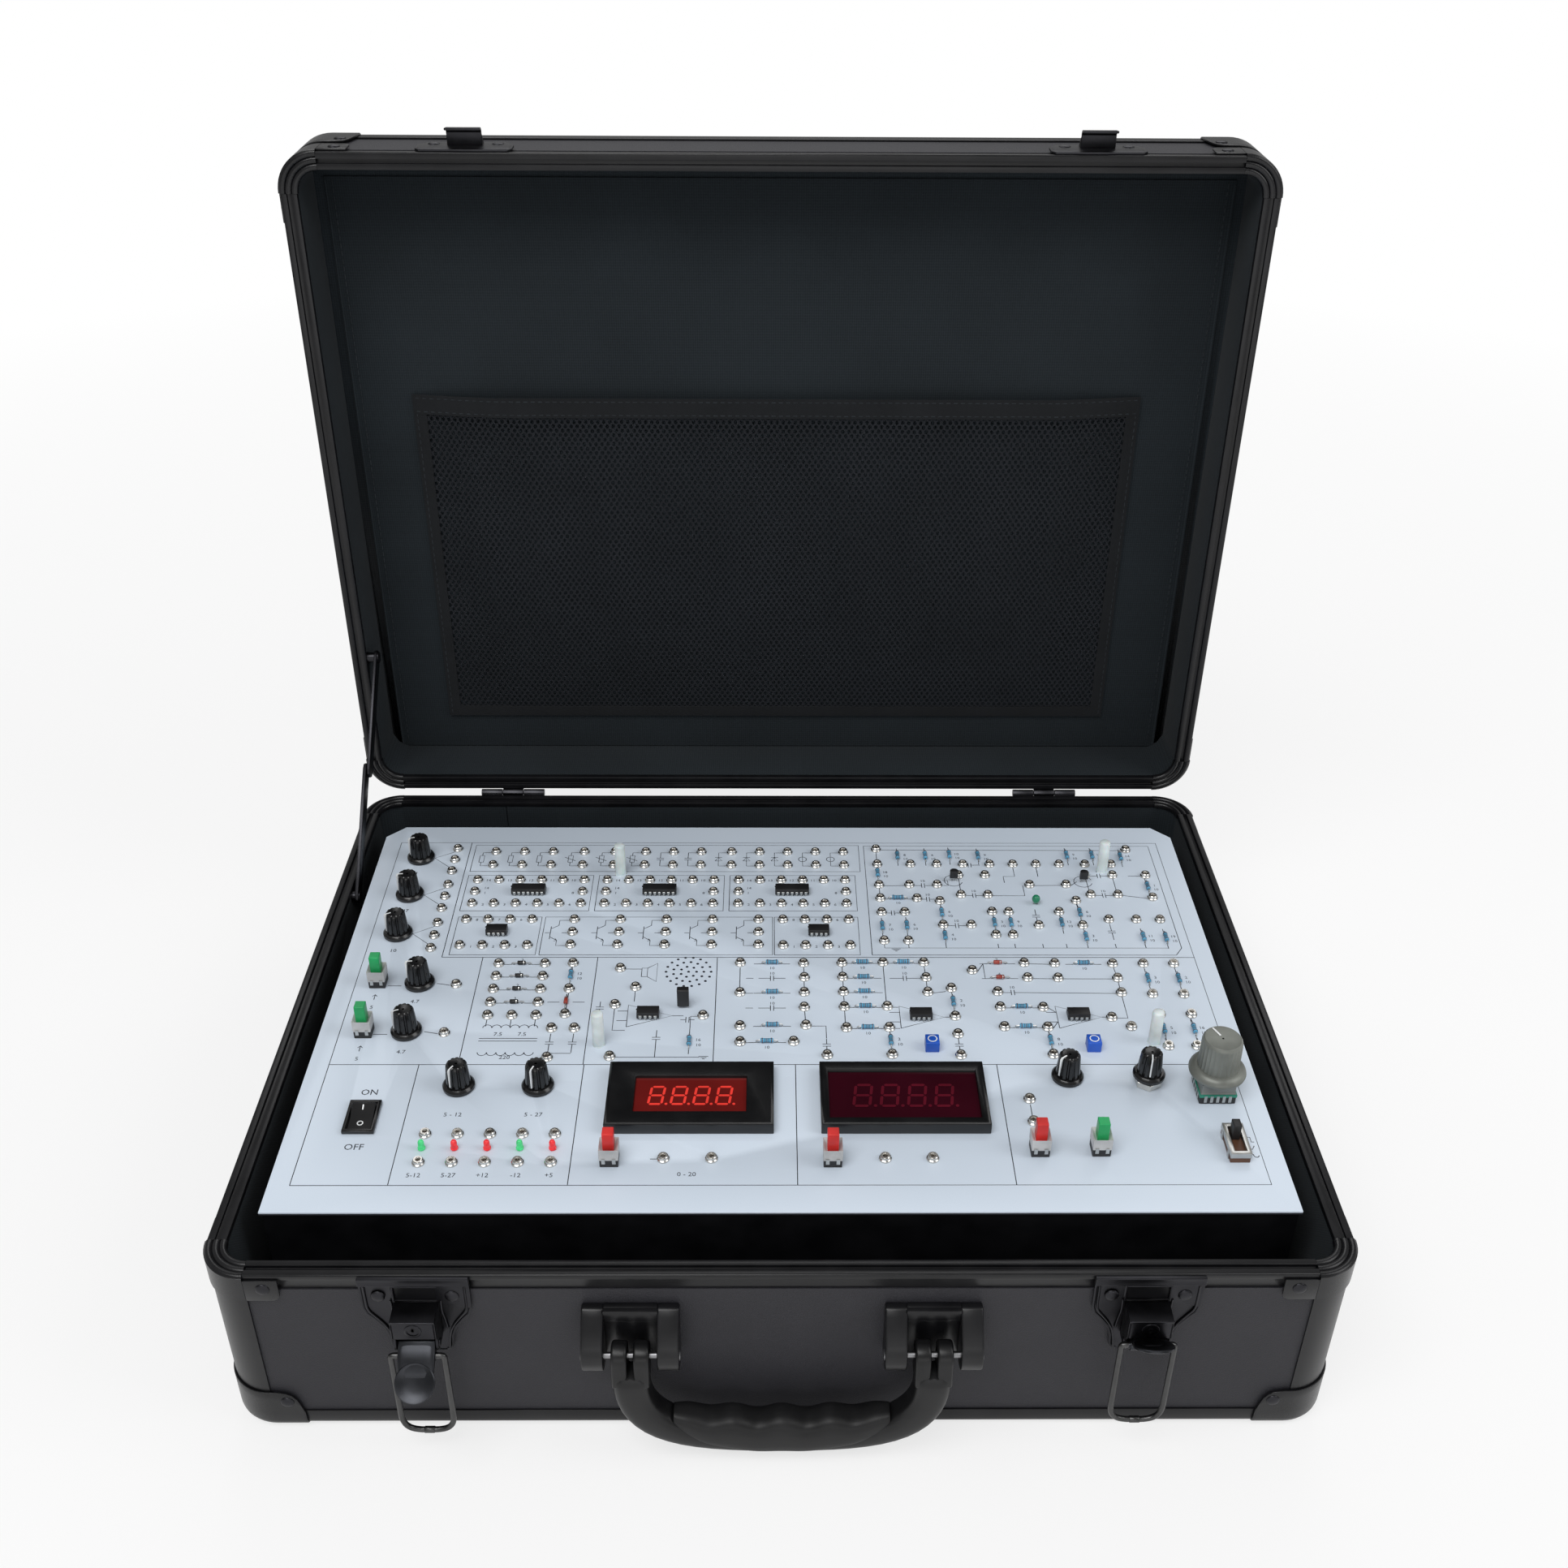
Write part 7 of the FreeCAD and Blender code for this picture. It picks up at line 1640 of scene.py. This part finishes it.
def faceIsWide(spot, centre):            # the plate's main front face, not the rim that the first inset left
    return abs(spot.x - centre) < 3


def hangLever(piece, x, angle):          # made hanging straight down from its pin
    moved(piece, turn=-angle, axis="X")
    return moved(piece, x, latch["pivotY"], latch["pivotZ"])


def makeLever(side, x, angle):
    l = latch
    eye, arm, half = l["eye"], l["arm"], l["width"] / 2
    capsule = [(eye * math.cos(math.radians(t)), eye * math.sin(math.radians(t))) for t in range(0, 181, 15)]
    capsule += [(eye * math.cos(math.radians(t)), -arm + eye * math.sin(math.radians(t))) for t in range(180, 361, 15)]
    link = softened(outlined("link", capsule, "YZ", -half, 2 * half), 0.35, 2, 40)
    rows = []
    for z, wide, out in ((1.2, 8.0, 0.35), (-0.5, 8.05, 0.1), (-3, 8.1, -0.35), (-6, 8.15, -0.75), (-9, 8.1, -0.7),
                         (-12, 7.9, -0.3), (-14.5, 7.7, 0.1)):
        row = []
        for step in range(-6, 7):
            share = step / 6
            row.append((wide * math.sin(share * math.pi / 2) if abs(share) < 1 else wide * share,
                        -eye + out + 1.7 * abs(share) ** 5, z))
        rows.append(row)
    tongue = lofted("tongue", rows)
    finished(tongue, ("SOLIDIFY", {"thickness": 0.9 * mm, "offset": -1}),
             ("BEVEL", {"width": 0.25 * mm, "segments": 2, "limit_method": "ANGLE"}))
    r = l["spoon"]
    dish = turned("spoon", [(0, -0.55), (3.5, -0.45), (6.3, 0.0), (7.6, 0.5), (8.3, 0.6), (r, 0.25), (r, -0.5), (8.2, -0.8),
                            (6.4, -0.9), (0, -1.4)], steps=40)
    moved(dish, turn=90, axis="X")
    moved(dish, 0, -eye - 0.2, -l["reach"])
    balls = []
    for mirror in (-1, 1):
        ball = turned("ball", [(0, 1.5), (0.9, 1.25), (1.45, 0.5), (1.5, 0), (0, 0)], steps=16)
        moved(ball, turn=90 * mirror, axis="Y")
        balls.append(moved(ball, mirror * (half - 0.2), 0.2, -arm))
    lever = joined(f"latchLever{side}", [link, tongue, dish, *balls])
    hangLever(lever, x, angle)
    node = f"latch_lever_{side.lower()}"
    dress(smooth(lever, 40), finishes["leverSteel"], node, [node])


def makeBail(side, x, angle):
    l = latch
    leg, long = l["bail"], l["bailLong"]
    half = [(-3.5, 0), (-8.6, 0), (-10.4, 0), (-leg, -0.6), (-leg, -2.4), (-leg, -6), (-leg, -22), (-leg, -37),
            (-leg, -42.2), (-10.5, -46.4), (-8, -49.2), (-4, -long), (-1.5, -long)]
    points = [(a, 0, b) for a, b in half] + [(-a, 0, b) for a, b in reversed(half)]
    wire = tube(f"latchBail{side}", points, l["wire"], 3, smoothLine=True)
    sleeve = turned("sleeve", [(1.3, -2.4), (1.55, -2.1), (1.55, 2.1), (1.3, 2.4), (1.3, -2.4)], steps=16)
    moved(sleeve, turn=90, axis="Y")
    moved(sleeve, 0, 0, -long)
    loop = joined(f"latchBail{side}", [wire, sleeve])
    turn = math.radians(angle)
    moved(loop, x, l["pivotY"] - l["arm"] * math.sin(turn), l["pivotZ"] - l["arm"] * math.cos(turn))
    node = f"latch_bail_{side.lower()}"
    dress(smooth(loop, 60), finishes["wireSteel"], node, [node])


def makeHasps():
    l = latch
    c, rim = l["x"], case["lidRim"]
    low, high, half = rim + 1.4, rim + 18, 23.75
    outline = [(c - half + 2, low), (c - half, low + 2), (c - half, high - 6), (c - half + 5, high),
               (c + half - 5, high), (c + half, high - 6), (c + half, low + 2), (c + half - 2, low)]
    plate = outlined("haspPlate", outline, "XZ", l["plateY"], 1.2)
    editing(plate, lambda spot, normal: normal.y < -0.9, inset(1.0, 0), inset(0.3, 0.25))
    plate = softened(plate, 0.2, 2, 25)
    top, out, skin = rim + 10.2, l["face"] - 10, 1.2
    bend = [(l["plateY"] + 0.3, top), (out + 1.6, top), (out + 0.5, top - 0.4), (out, top - 1.5), (out - 0.6, top - 6.5),
            (out - 0.6 + skin, top - 6.5), (out + skin + 0.1, top - 2.2), (out + skin + 1.2, top - skin),
            (l["plateY"] + 0.3, top - skin)]
    hook = softened(outlined("haspHook", bend, "YZ", c - 8.65, 17.3), 0.35, 2, 40)
    gussets = []
    for mirror in (-1, 1):
        corner = [(l["plateY"], top + 0.1), (l["plateY"] - 5.5, top + 0.1), (l["plateY"], top + 5)]
        start = c + (8.65 - 1.0 if mirror > 0 else -8.65)
        gussets.append(softened(outlined("gusset", corner, "YZ", start, 1.0), 0.2, 1))
    hasp = bothSides(joined("lidHasps", [plate, hook, *gussets]))
    dress(smooth(layOpen(hasp), 35), finishes["darkSteel"], "lid", ["lid_hasps"])


def stayPin(name, node, y, z):           # boss, shank and head on the case's left wall, at a strap's pivot
    low, high = [corner[0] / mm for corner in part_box(node)]
    wall = -241.8
    profile = [(3, 0), (3, low - 0.2 - wall), (2, low - 0.2 - wall), (2, high + 0.1 - wall), (3.4, high + 0.1 - wall),
               (3.4, high + 0.45 - wall), (2.9, high + 0.85 - wall), (1.6, high + 1.0 - wall), (0, high + 1.02 - wall)]
    pin = turned(name, profile, steps=20)
    moved(pin, turn=90, axis="Y")
    return moved(pin, wall, y, z)


def makeCaseRivets():
    l = latch
    third = 2 * l["half"] / 3
    spots = [(side * l["x"] + way * third, l["plateY"], 88.6) for side in (-1, 1) for way in (-1, 1)]
    front = frontRivets("latchRivets", spots)
    base = joined("baseRivets", [makeRivets(False), front, stayPin("stayBasePin", "stay_lower", 88.7, 95)])
    dress(smooth(base, 50), finishes["darkSteel"], "base", ["base_rivets"])
    spots = [(side * l["x"] + way * 47.5 / 3, l["plateY"], case["lidRim"] + 13) for side in (-1, 1) for way in (-1, 1)]
    pin = stayPin("stayLidPin", "stay_upper", 96.65, case["lidRim"] + 4.35)
    lid = joined("lidRivets", [makeRivets(True), frontRivets("haspRivets", spots), pin])
    dress(smooth(layOpen(lid), 50), finishes["darkSteel"], "lid", ["lid_rivets"])


handle = {
    "mount": 65, "half": 21, "gap": 11.5, "low": 52, "high": 82, "pinY": -196, "pinZ": 62.5, "root": 16.4, "eye": 6.4,
    "middle": -2.25, "thick": 15, "stations": [
        (65, -6, 16.2, 12.6), (65, -12, 16.4, 13), (64.7, -19, 16.4, 13.4), (63, -27, 16.4, 13.8), (59, -34.5, 16.2, 14),
        (52.5, -41, 15.2, 14), (43, -46, 13.4, 14), (30, -49.3, 11.6, 14), (15, -50.7, 10.6, 14), (0, -51.1, 10.2, 14),
    ],
}


def roundedRow(centre, across, wide, thick, power=3.2, count=20):
    row = []
    for step in range(count):
        turn = 2 * math.pi * (step + 0.5) / count
        c, s = math.cos(turn), math.sin(turn)
        a = math.copysign(abs(c) ** (2 / power), c) * wide / 2
        b = math.copysign(abs(s) ** (2 / power), s) * thick / 2
        row.append(tuple(centre + across * a + Vector((0, 1, 0)) * b))
    return row


def makeHandle():
    h = handle
    stations = h["stations"] + [(-x, z, w, t) for x, z, w, t in reversed(h["stations"][:-1])]
    middle = Vector((0, h["pinY"] + h["middle"], h["pinZ"]))
    rows = []
    for index, (x, z, wide, thick) in enumerate(stations):
        before = stations[max(index - 1, 0)]
        after = stations[min(index + 1, len(stations) - 1)]
        along = Vector((after[0] - before[0], 0, after[1] - before[1])).normalized()
        across = Vector((-along.z, 0, along.x))
        rows.append(roundedRow(middle + Vector((x, 0, z)), across, wide, thick))
    band = capped(lofted("handleBand", rows, closed=True))
    finished(band, ("SUBSURF", {"levels": 1, "render_levels": 1}))
    lobes = []
    eye = h["eye"]
    outline = [(eye * math.cos(math.radians(t)), eye * math.sin(math.radians(t))) for t in range(0, 181, 12)]
    outline += [(-eye - 0.6, -6), (-eye - 1.4, -13), (eye - 1.4, -13), (eye - 0.4, -6)]
    for centre in (-h["mount"], h["mount"]):
        for mirror in (-1, 1):
            low = 1.3 if mirror > 0 else -8.2
            lobe = softened(outlined("lobe", outline, "YZ", low, 6.9), 1.3, 4, 40)
            lobes.append(moved(lobe, centre, h["pinY"], h["pinZ"]))
    frame = joined("handleFrame", [band, *lobes])
    dress(smooth(frame, 40), finishes["handle"], "handle", ["handle"])
    rows = []
    for step in range(-30, 31):
        x = step * 1.58
        share = abs(x) / 47.5
        top = -36.4 + 1.5 * math.cos(2 * math.pi * x / 21.6) * (1 - share ** 4) + 3.6 * share ** 3
        bottom = -56.4 + 14.5 * share ** 2.6
        squeeze = 1 - 0.35 * share ** 6
        centre = middle + Vector((x, -0.2, (top + bottom) / 2))
        rows.append(roundedRow(centre, Vector((0, 0, -1)), top - bottom, 15 * squeeze, 3.4, 24))
    grip = capped(lofted("handleGrip", rows, closed=True))
    dress(smooth(softened(grip, 0.6, 2, 60), 50), finishes["grip"], "handle")


def makeMounts():
    h = handle
    pinY, pinZ = h["pinY"], h["pinZ"]
    line = [(-184, h["low"]), (-184, h["high"]), (-187.6, h["high"]), (-190.4, h["high"] - 2.6), (-198.4, 70.5),
            (-200.4, 66.8), (-201, 62.5), (-200.4, 58), (-198.4, 55), (-195, 53.2), (-190, h["low"])]
    cheeks = []
    for start in (-h["half"], h["gap"]):
        cheek = outlined("cheek", line, "YZ", h["mount"] + start, 9.5)
        editing(cheek, lambda spot, normal: normal.y < -0.5 and spot.z < 68, inset(1.0, -0.15))
        cheeks.append(softened(cheek, 0.9, 3, 30))
    plate = block("mountPlate", (h["mount"] - 11.6, -187, h["low"]), (h["mount"] + 11.6, -184, h["high"]))
    lip = block("mountLip", (h["mount"] - 11.8, -189.2, h["high"] - 6.4), (h["mount"] + 11.8, -184, h["high"] - 0.2))
    plate = softened(joined("mountPlate", [plate, lip]), 0.5, 2)
    mounts = joined("handleMounts", [*cheeks, plate])
    mounts = mirrored(mounts, "X")
    dress(smooth(mounts, 35), finishes["blackMetal"], "base", ["handle_mounts"])
    pins = []
    for centre in (-h["mount"], h["mount"]):
        pin = softened(disc("handlePin", 1.4, -12, 12, sides=20), 0.2, 1)
        moved(pin, turn=90, axis="Y")
        pins.append(moved(pin, centre, pinY, pinZ))
        for mirror in (-1, 1):
            cap = turned("pinCap", [(0, 0.5), (2.2, 0.4), (2.6, 0), (0, 0)], steps=18)
            moved(cap, turn=90 * mirror, axis="Y")
            pins.append(moved(cap, centre + mirror * h["half"], pinY, pinZ))
    dress(smooth(joined("handlePins", pins)), finishes["steel"], "base")


def makeSmallIron():
    for node, body in (("base_hinge_leaves", "base"), ("lid_hinge_leaves", "lid")):
        leaf = softened(nodeCopy(node.replace("_", "") + "Dressed", node), 0.2, 2, 30)
        dress(smooth(leaf), finishes["darkSteel"], body, [node])
    screws = []
    for side in (-1, 1):
        for along in (-13, 0, 13):
            head = turned("hingeScrew", [(0, 0.55), (1.4, 0.45), (2.1, 0.1), (2.1, 0), (0, 0)], steps=16)
            slot = block("slot", (-1.6, -0.22, 0.5), (1.6, 0.22, 0.62))
            screw = moved(joined("hingeScrew", [head, slot]), turn=-90, axis="X")
            screws.append(moved(screw, side * 162 + along, 186.2, 86))
    lidScrews = []
    for screw in screws:
        twin = screw.copy()
        twin.data = screw.data.copy()
        bpy.context.scene.collection.objects.link(twin)
        lidScrews.append(moved(twin, 0, 0, 2 * 100.15 - 2 * 86))
    dress(smooth(joined("baseHingeScrews", screws)), finishes["steel"], "base")
    dress(smooth(layOpen(joined("lidHingeScrews", lidScrews))), finishes["steel"], "lid")
    for node in ("stay_lower", "stay_upper"):
        strap = softened(nodeCopy(node.replace("_", "") + "Strap", node), 0.25, 2, 30)
        dress(smooth(strap), finishes["darkSteel"], node, [node])
    tray = softened(nodeCopy("chassisTray", "chassis_box"), 0.5, 2, 30)
    dress(smooth(tray), finishes["trayBlack"], "base", ["chassis_box"])


def makeInlet():
    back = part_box("mains_inlet")[1].y / mm if hasattr(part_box("mains_inlet")[1], "y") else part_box("mains_inlet")[1][1] / mm
    body = softened(nodeCopy("mainsInlet", "mains_inlet"), 0.4, 2, 30)
    dress(smooth(body), finishes["matteBlack"], "base", ["mains_inlet"])
    pins = []
    for x, z in ((0, 4), (-7, -1.5), (7, -1.5)):
        pins.append(softened(block("inletPin", (-150 + x - 1, back - 16, 44 + z - 2), (-150 + x + 1, back - 3, 44 + z + 2)),
                             0.5, 2))
    for x in (-20, 20):
        head = turned("inletScrew", [(0, 0.8), (1.8, 0.7), (2.8, 0.2), (2.8, 0), (0, 0)], steps=18)
        slot = joined("slot", [block("slot", (-1.8, -0.3, 0.7), (1.8, 0.3, 0.86)), block("slot", (-0.3, -1.8, 0.7), (0.3, 1.8, 0.86))])
        screw = moved(joined("inletScrew", [head, slot]), turn=-90, axis="X")
        pins.append(moved(screw, -150 + x, back, 44))
    dress(smooth(joined("inletMetal", pins)), finishes["steel"], "base")


finishes["leverSteel"] = steelLook("leverSteel", (0.05, 0.052, 0.058), 0.27)
finishes["wireSteel"] = steelLook("wireSteel", (0.1, 0.1, 0.1), 0.28)
finishes["grip"] = plainLook("gripPlastic", (0.005, 0.005, 0.0055), 0.48, grain=0.5, bump=0.03, **{"Specular IOR Level": 0.35})
makeLatchPlates()
for side, sign, angle in (("Left", -1, latch["leftAngle"]), ("Right", 1, latch["rightAngle"])):
    makeLever(side, sign * latch["x"], angle)
    makeBail(side, sign * latch["x"], angle)
makeHasps()
makeCaseRivets()
makeHandle()
makeMounts()
makeSmallIron()
makeInlet()
print("latches, handle, hinges and stays made")


# Lining and the net pocket of the lid.
pocket = {
    "left": -202.5, "right": 199, "low": 134.15, "high": 338.15, "back": 223.9, "bulge": 7.6, "hem": 11, "tape": 7,
    "pitch": 3.3, "columns": 150, "rows": 60,
}


def makeLining():
    for prefix in ("base", "lid"):
        cards = softened(nodeCopy(prefix + "LiningCards", prefix + "_lining"), 0.7, 3, 30)
        dress(smooth(cards), finishes["lining"], prefix, [prefix + "_lining"])


def stitches(name, spots, length, turn):
    stitch = softened(block("stitch", (-length / 2, -0.28, 0), (length / 2, 0.28, 0.4)), 0.14, 1)
    moved(stitch, turn=90, axis="X")
    if turn:
        moved(stitch, turn=90, axis="Y")
    return copies(name, stitch, spots)


def pocketStand(x, z):                   # how far the net stands off its seams
    p = pocket
    across = (x - p["left"]) / (p["right"] - p["left"])
    up = (z - p["low"]) / (p["high"] - p["low"])
    side = min(1, 9 * across, 9 * (1 - across))
    swell = p["bulge"] * math.sin(math.pi / 2 * min(1, up * 1.15)) ** 0.7
    ease = math.sin(math.pi * min(1, up)) ** 0.8
    folds = 0
    for centre, depth, width, lean in (
        (0.07, 1.4, 0.022, 0.05), (0.155, 2.0, 0.026, 0.03), (0.24, 1.5, 0.024, 0.09), (0.345, 1.6, 0.03, -0.05),
        (0.47, 1.7, 0.028, 0.02), (0.585, 1.5, 0.03, 0.06), (0.69, 1.8, 0.026, -0.03), (0.8, 1.5, 0.03, -0.06),
        (0.9, 1.7, 0.024, -0.04),
    ):
        off = across - centre - lean * (1 - up) * (1 - up)
        folds += depth * math.exp(-((off / (width * (1.6 - up))) ** 2))
    wave = 0.5 * math.sin(2 * math.pi * (across * 11 + up * 0.7))
    return 0.5 + side * max(0, swell * 0.8 + (folds - 0.9 + wave) * ease)


def clothSheet(name, left, right, low, high, columns, rows, lift):
    readyObjectMode()
    bpy.ops.mesh.primitive_grid_add(x_subdivisions=columns, y_subdivisions=rows, size=1)
    sheet = named(bpy.context.object, name)
    for vertex in sheet.data.vertices:
        x = left + (vertex.co.x + 0.5) * (right - left)
        z = low + (vertex.co.y + 0.5) * (high - low)
        vertex.co = Vector((x, pocket["back"] - pocketStand(x, z) - lift, z)) * mm
    settle(sheet)
    return sheet


def netLook():
    look = Look("pocketNet", (0.016, 0.018, 0.02), 0.85, **{"Sheen Weight": 0.05, "Specular IOR Level": 0.2})
    x, y, z = look.parts()
    pitch, tall = pocket["pitch"], pocket["pitch"] * 1.55
    holes = []
    for shift in (0, 0.5):
        a = (x / pitch + shift) % 1 - 0.5
        b = (z / tall + shift) % 1 - 0.5
        holes.append((a * pitch) * (a * pitch) + (b * (tall * 0.8)) * (b * (tall * 0.8)))
    near = holes[0].lowest(holes[1])
    thread = near.ramped(0.78, 1.12)
    fuzz = look.noise(0.3, 2)
    cloud = look.noise(50, 3)
    look.feed("Alpha", thread)
    look.feed("Base Color", look.blend((fuzz * 0.6 + cloud * 0.6 - 0.1).clipped(), (0.003, 0.0035, 0.0045), (0.018, 0.02, 0.025)))
    look.feed("Roughness", 0.72 + fuzz * 0.25)
    return look.done()


def clothLook(name, dark, pale, size):
    look = Look(name, pale, 0.88, **{"Sheen Weight": 0.05, "Specular IOR Level": 0.2})
    x, y, z = look.parts()
    weave = ((x / size * 6.283).wave() * (z / size * 6.283).wave()) * 0.5 + 0.5
    fuzz = look.noise(0.4, 3)
    cloud = look.noise(25, 3)
    look.feed("Base Color", look.blend((weave * 0.4 + fuzz * 0.4 + cloud * 0.5 - 0.15).clipped(), dark, pale))
    look.bumped(weave + fuzz * 0.5, 0.1, 0.7)
    return look.done()


def makePocket():
    p = pocket
    net = clothSheet("netPocket", p["left"] + 2, p["right"] - 2, p["low"] + 1, p["high"] - 2, p["columns"], p["rows"], 0.3)
    dress(smooth(net, 60), netLook(), "lid", ["lid_mesh_pocket"])
    tape = clothLook("bindingCloth", (0.003, 0.0035, 0.004), (0.015, 0.0165, 0.019), 0.9)
    hem = clothSheet("pocketHem", p["left"], p["right"], p["high"] - p["hem"], p["high"], 130, 6, 0.75)
    left = clothSheet("pocketLeftTape", p["left"], p["left"] + p["tape"], p["low"], p["high"], 5, 70, 0.6)
    right = clothSheet("pocketRightTape", p["right"] - p["tape"], p["right"], p["low"], p["high"], 5, 70, 0.6)
    low = clothSheet("pocketLowTape", p["left"], p["right"], p["low"], p["low"] + p["tape"], 130, 5, 0.65)
    edging = joined("pocketEdging", [hem, left, right, low])
    finished(edging, ("SOLIDIFY", {"thickness": 0.55 * mm, "offset": 0}))
    dress(smooth(edging, 50), tape, "lid")
    spots = []
    for level in (p["high"] - 1.8, p["high"] - p["hem"] + 1.6):
        for step in range(100):
            x = p["left"] + 3 + step * (p["right"] - p["left"] - 6) / 99
            spots.append((x, p["back"] - pocketStand(x, level) - 0.75, level))
    sewn = stitches("pocketStitches", spots, 2.4, False)
    upright = []
    for x in (p["left"] + 1.8, p["right"] - 1.8):
        for step in range(50):
            z = p["low"] + 3 + step * (p["high"] - p["low"] - 6) / 49
            upright.append((x, p["back"] - pocketStand(x, z) - 0.6, z))
    sides = stitches("pocketSideStitches", upright, 2.4, True)
    dress(joined("pocketStitches", [sewn, sides]), finishes["thread"], "lid")
    area = sum(face.area for face in net.data.polygons)
    print("net area", round(area, 5))


def makePadSeams():
    spots = []
    for x in (-230.5, 230.5):
        for step in range(84):
            spots.append((x, 224.05, 118 + step * 4))
    dress(stitches("padStitches", spots, 2.6, True), finishes["thread"], "lid")
    cords = []
    for x in (-234.2, 234.2):
        cords.append(tube("padPiping", [(x, 224.6, 113), (x, 224.4, 180), (x, 224.4, 380), (x, 224.6, 451)], 0.8, 2))
    dress(smooth(joined("padPiping", cords), 60), finishes["lining"], "lid")


finishes["thread"] = plainLook("sewingThread", (0.022, 0.026, 0.03), 0.85, **{"Specular IOR Level": 0.2})
makeLining()
makePocket()
makePadSeams()
print("lining and net pocket made")


# Camera, light and floor.
view = {
    "place": (-5.84, -658.88, 652.16), "down": 0.5754, "side": -0.0106, "roll": -0.0070, "lens": 37.97,
    "shiftY": 0.00297,
}


def setCamera():
    readyObjectMode()
    bpy.ops.object.camera_add()
    camera = bpy.context.object
    turn = Matrix.Rotation(view["side"], 4, "Z") @ Matrix.Rotation(-view["down"], 4, "X")
    turn = turn @ Matrix.Rotation(view["roll"], 4, "Y") @ Matrix.Rotation(math.radians(90), 4, "X")
    camera.matrix_world = Matrix.Translation([c * mm for c in view["place"]]) @ turn
    camera.data.sensor_fit = "AUTO"
    camera.data.sensor_width = 36
    camera.data.lens = view["lens"]
    camera.data.shift_y = view["shiftY"]
    camera.data.clip_start = 0.01
    camera.data.clip_end = 60
    bpy.context.scene.camera = camera


def addLamp(name, place, aim, size, power, color=(1, 1, 1)):
    readyObjectMode()
    bpy.ops.object.light_add(type="AREA", location=place)
    lamp = bpy.context.object
    lamp.name = name
    lamp.rotation_euler = (Vector(aim) - Vector(place)).to_track_quat("-Z", "Y").to_euler()
    lamp.data.shape = "RECTANGLE"
    lamp.data.size, lamp.data.size_y = size
    lamp.data.energy = power
    lamp.data.color = color


def setStage():
    readyObjectMode()
    bpy.ops.mesh.primitive_plane_add(size=40, location=(0, 0, 0))
    floor = named(bpy.context.object, "floor")
    look = Look("paleFloor", (0.9, 0.9, 0.9), 0.7)
    paths = look.tree.nodes.new("ShaderNodeLightPath")
    glow = look.tree.nodes.new("ShaderNodeEmission")
    mix = look.tree.nodes.new("ShaderNodeMixShader")
    output = look.tree.nodes["Material Output"]
    seen = Signal(look, paths.outputs["Is Camera Ray"])
    mirrored = Signal(look, paths.outputs["Is Glossy Ray"])
    x, y, z = look.parts()
    away = (x * x + y * y) ** 0.5
    share = seen * (0.72 + away.ramped(600, 1700) * 0.28) + mirrored * 0.3
    look.tree.links.new(share.socket, mix.inputs[0])
    look.tree.links.new(look.shader.outputs[0], mix.inputs[1])
    look.tree.links.new(glow.outputs[0], mix.inputs[2])
    look.tree.links.new(mix.outputs[0], output.inputs["Surface"])
    floor.data.materials.append(look.done())
    world = bpy.data.worlds.new("studio")
    world.use_nodes = True
    bpy.context.scene.world = world
    tree = world.node_tree
    base = tree.nodes["Background"]
    base.inputs["Color"].default_value = (1, 1, 1, 1)
    paths = tree.nodes.new("ShaderNodeLightPath")
    total = tree.nodes.new("ShaderNodeMath")
    total.operation = "MULTIPLY_ADD"
    tree.links.new(paths.outputs["Is Camera Ray"], total.inputs[0])
    total.inputs[1].default_value = 0.68
    total.inputs[2].default_value = 0.32
    tree.links.new(total.outputs[0], base.inputs["Strength"])
    addLamp("keySoftbox", (-0.5, -0.9, 1.9), (0, 0.05, 0.1), (1.4, 0.9), 21)
    addLamp("rightSoftbox", (1.5, -0.4, 1.3), (0, 0.05, 0.15), (0.9, 1.2), 9.5)
    addLamp("backSoftbox", (0.1, 1.3, 1.7), (0, 0, 0.2), (1.8, 0.7), 9.5)
    addLamp("frontFill", (0.1, -2.2, 0.5), (0, 0, 0.1), (2.2, 0.8), 7)
    settings = bpy.context.scene.view_settings
    settings.view_transform = "Standard"


setCamera()
setStage()
print("stage set")
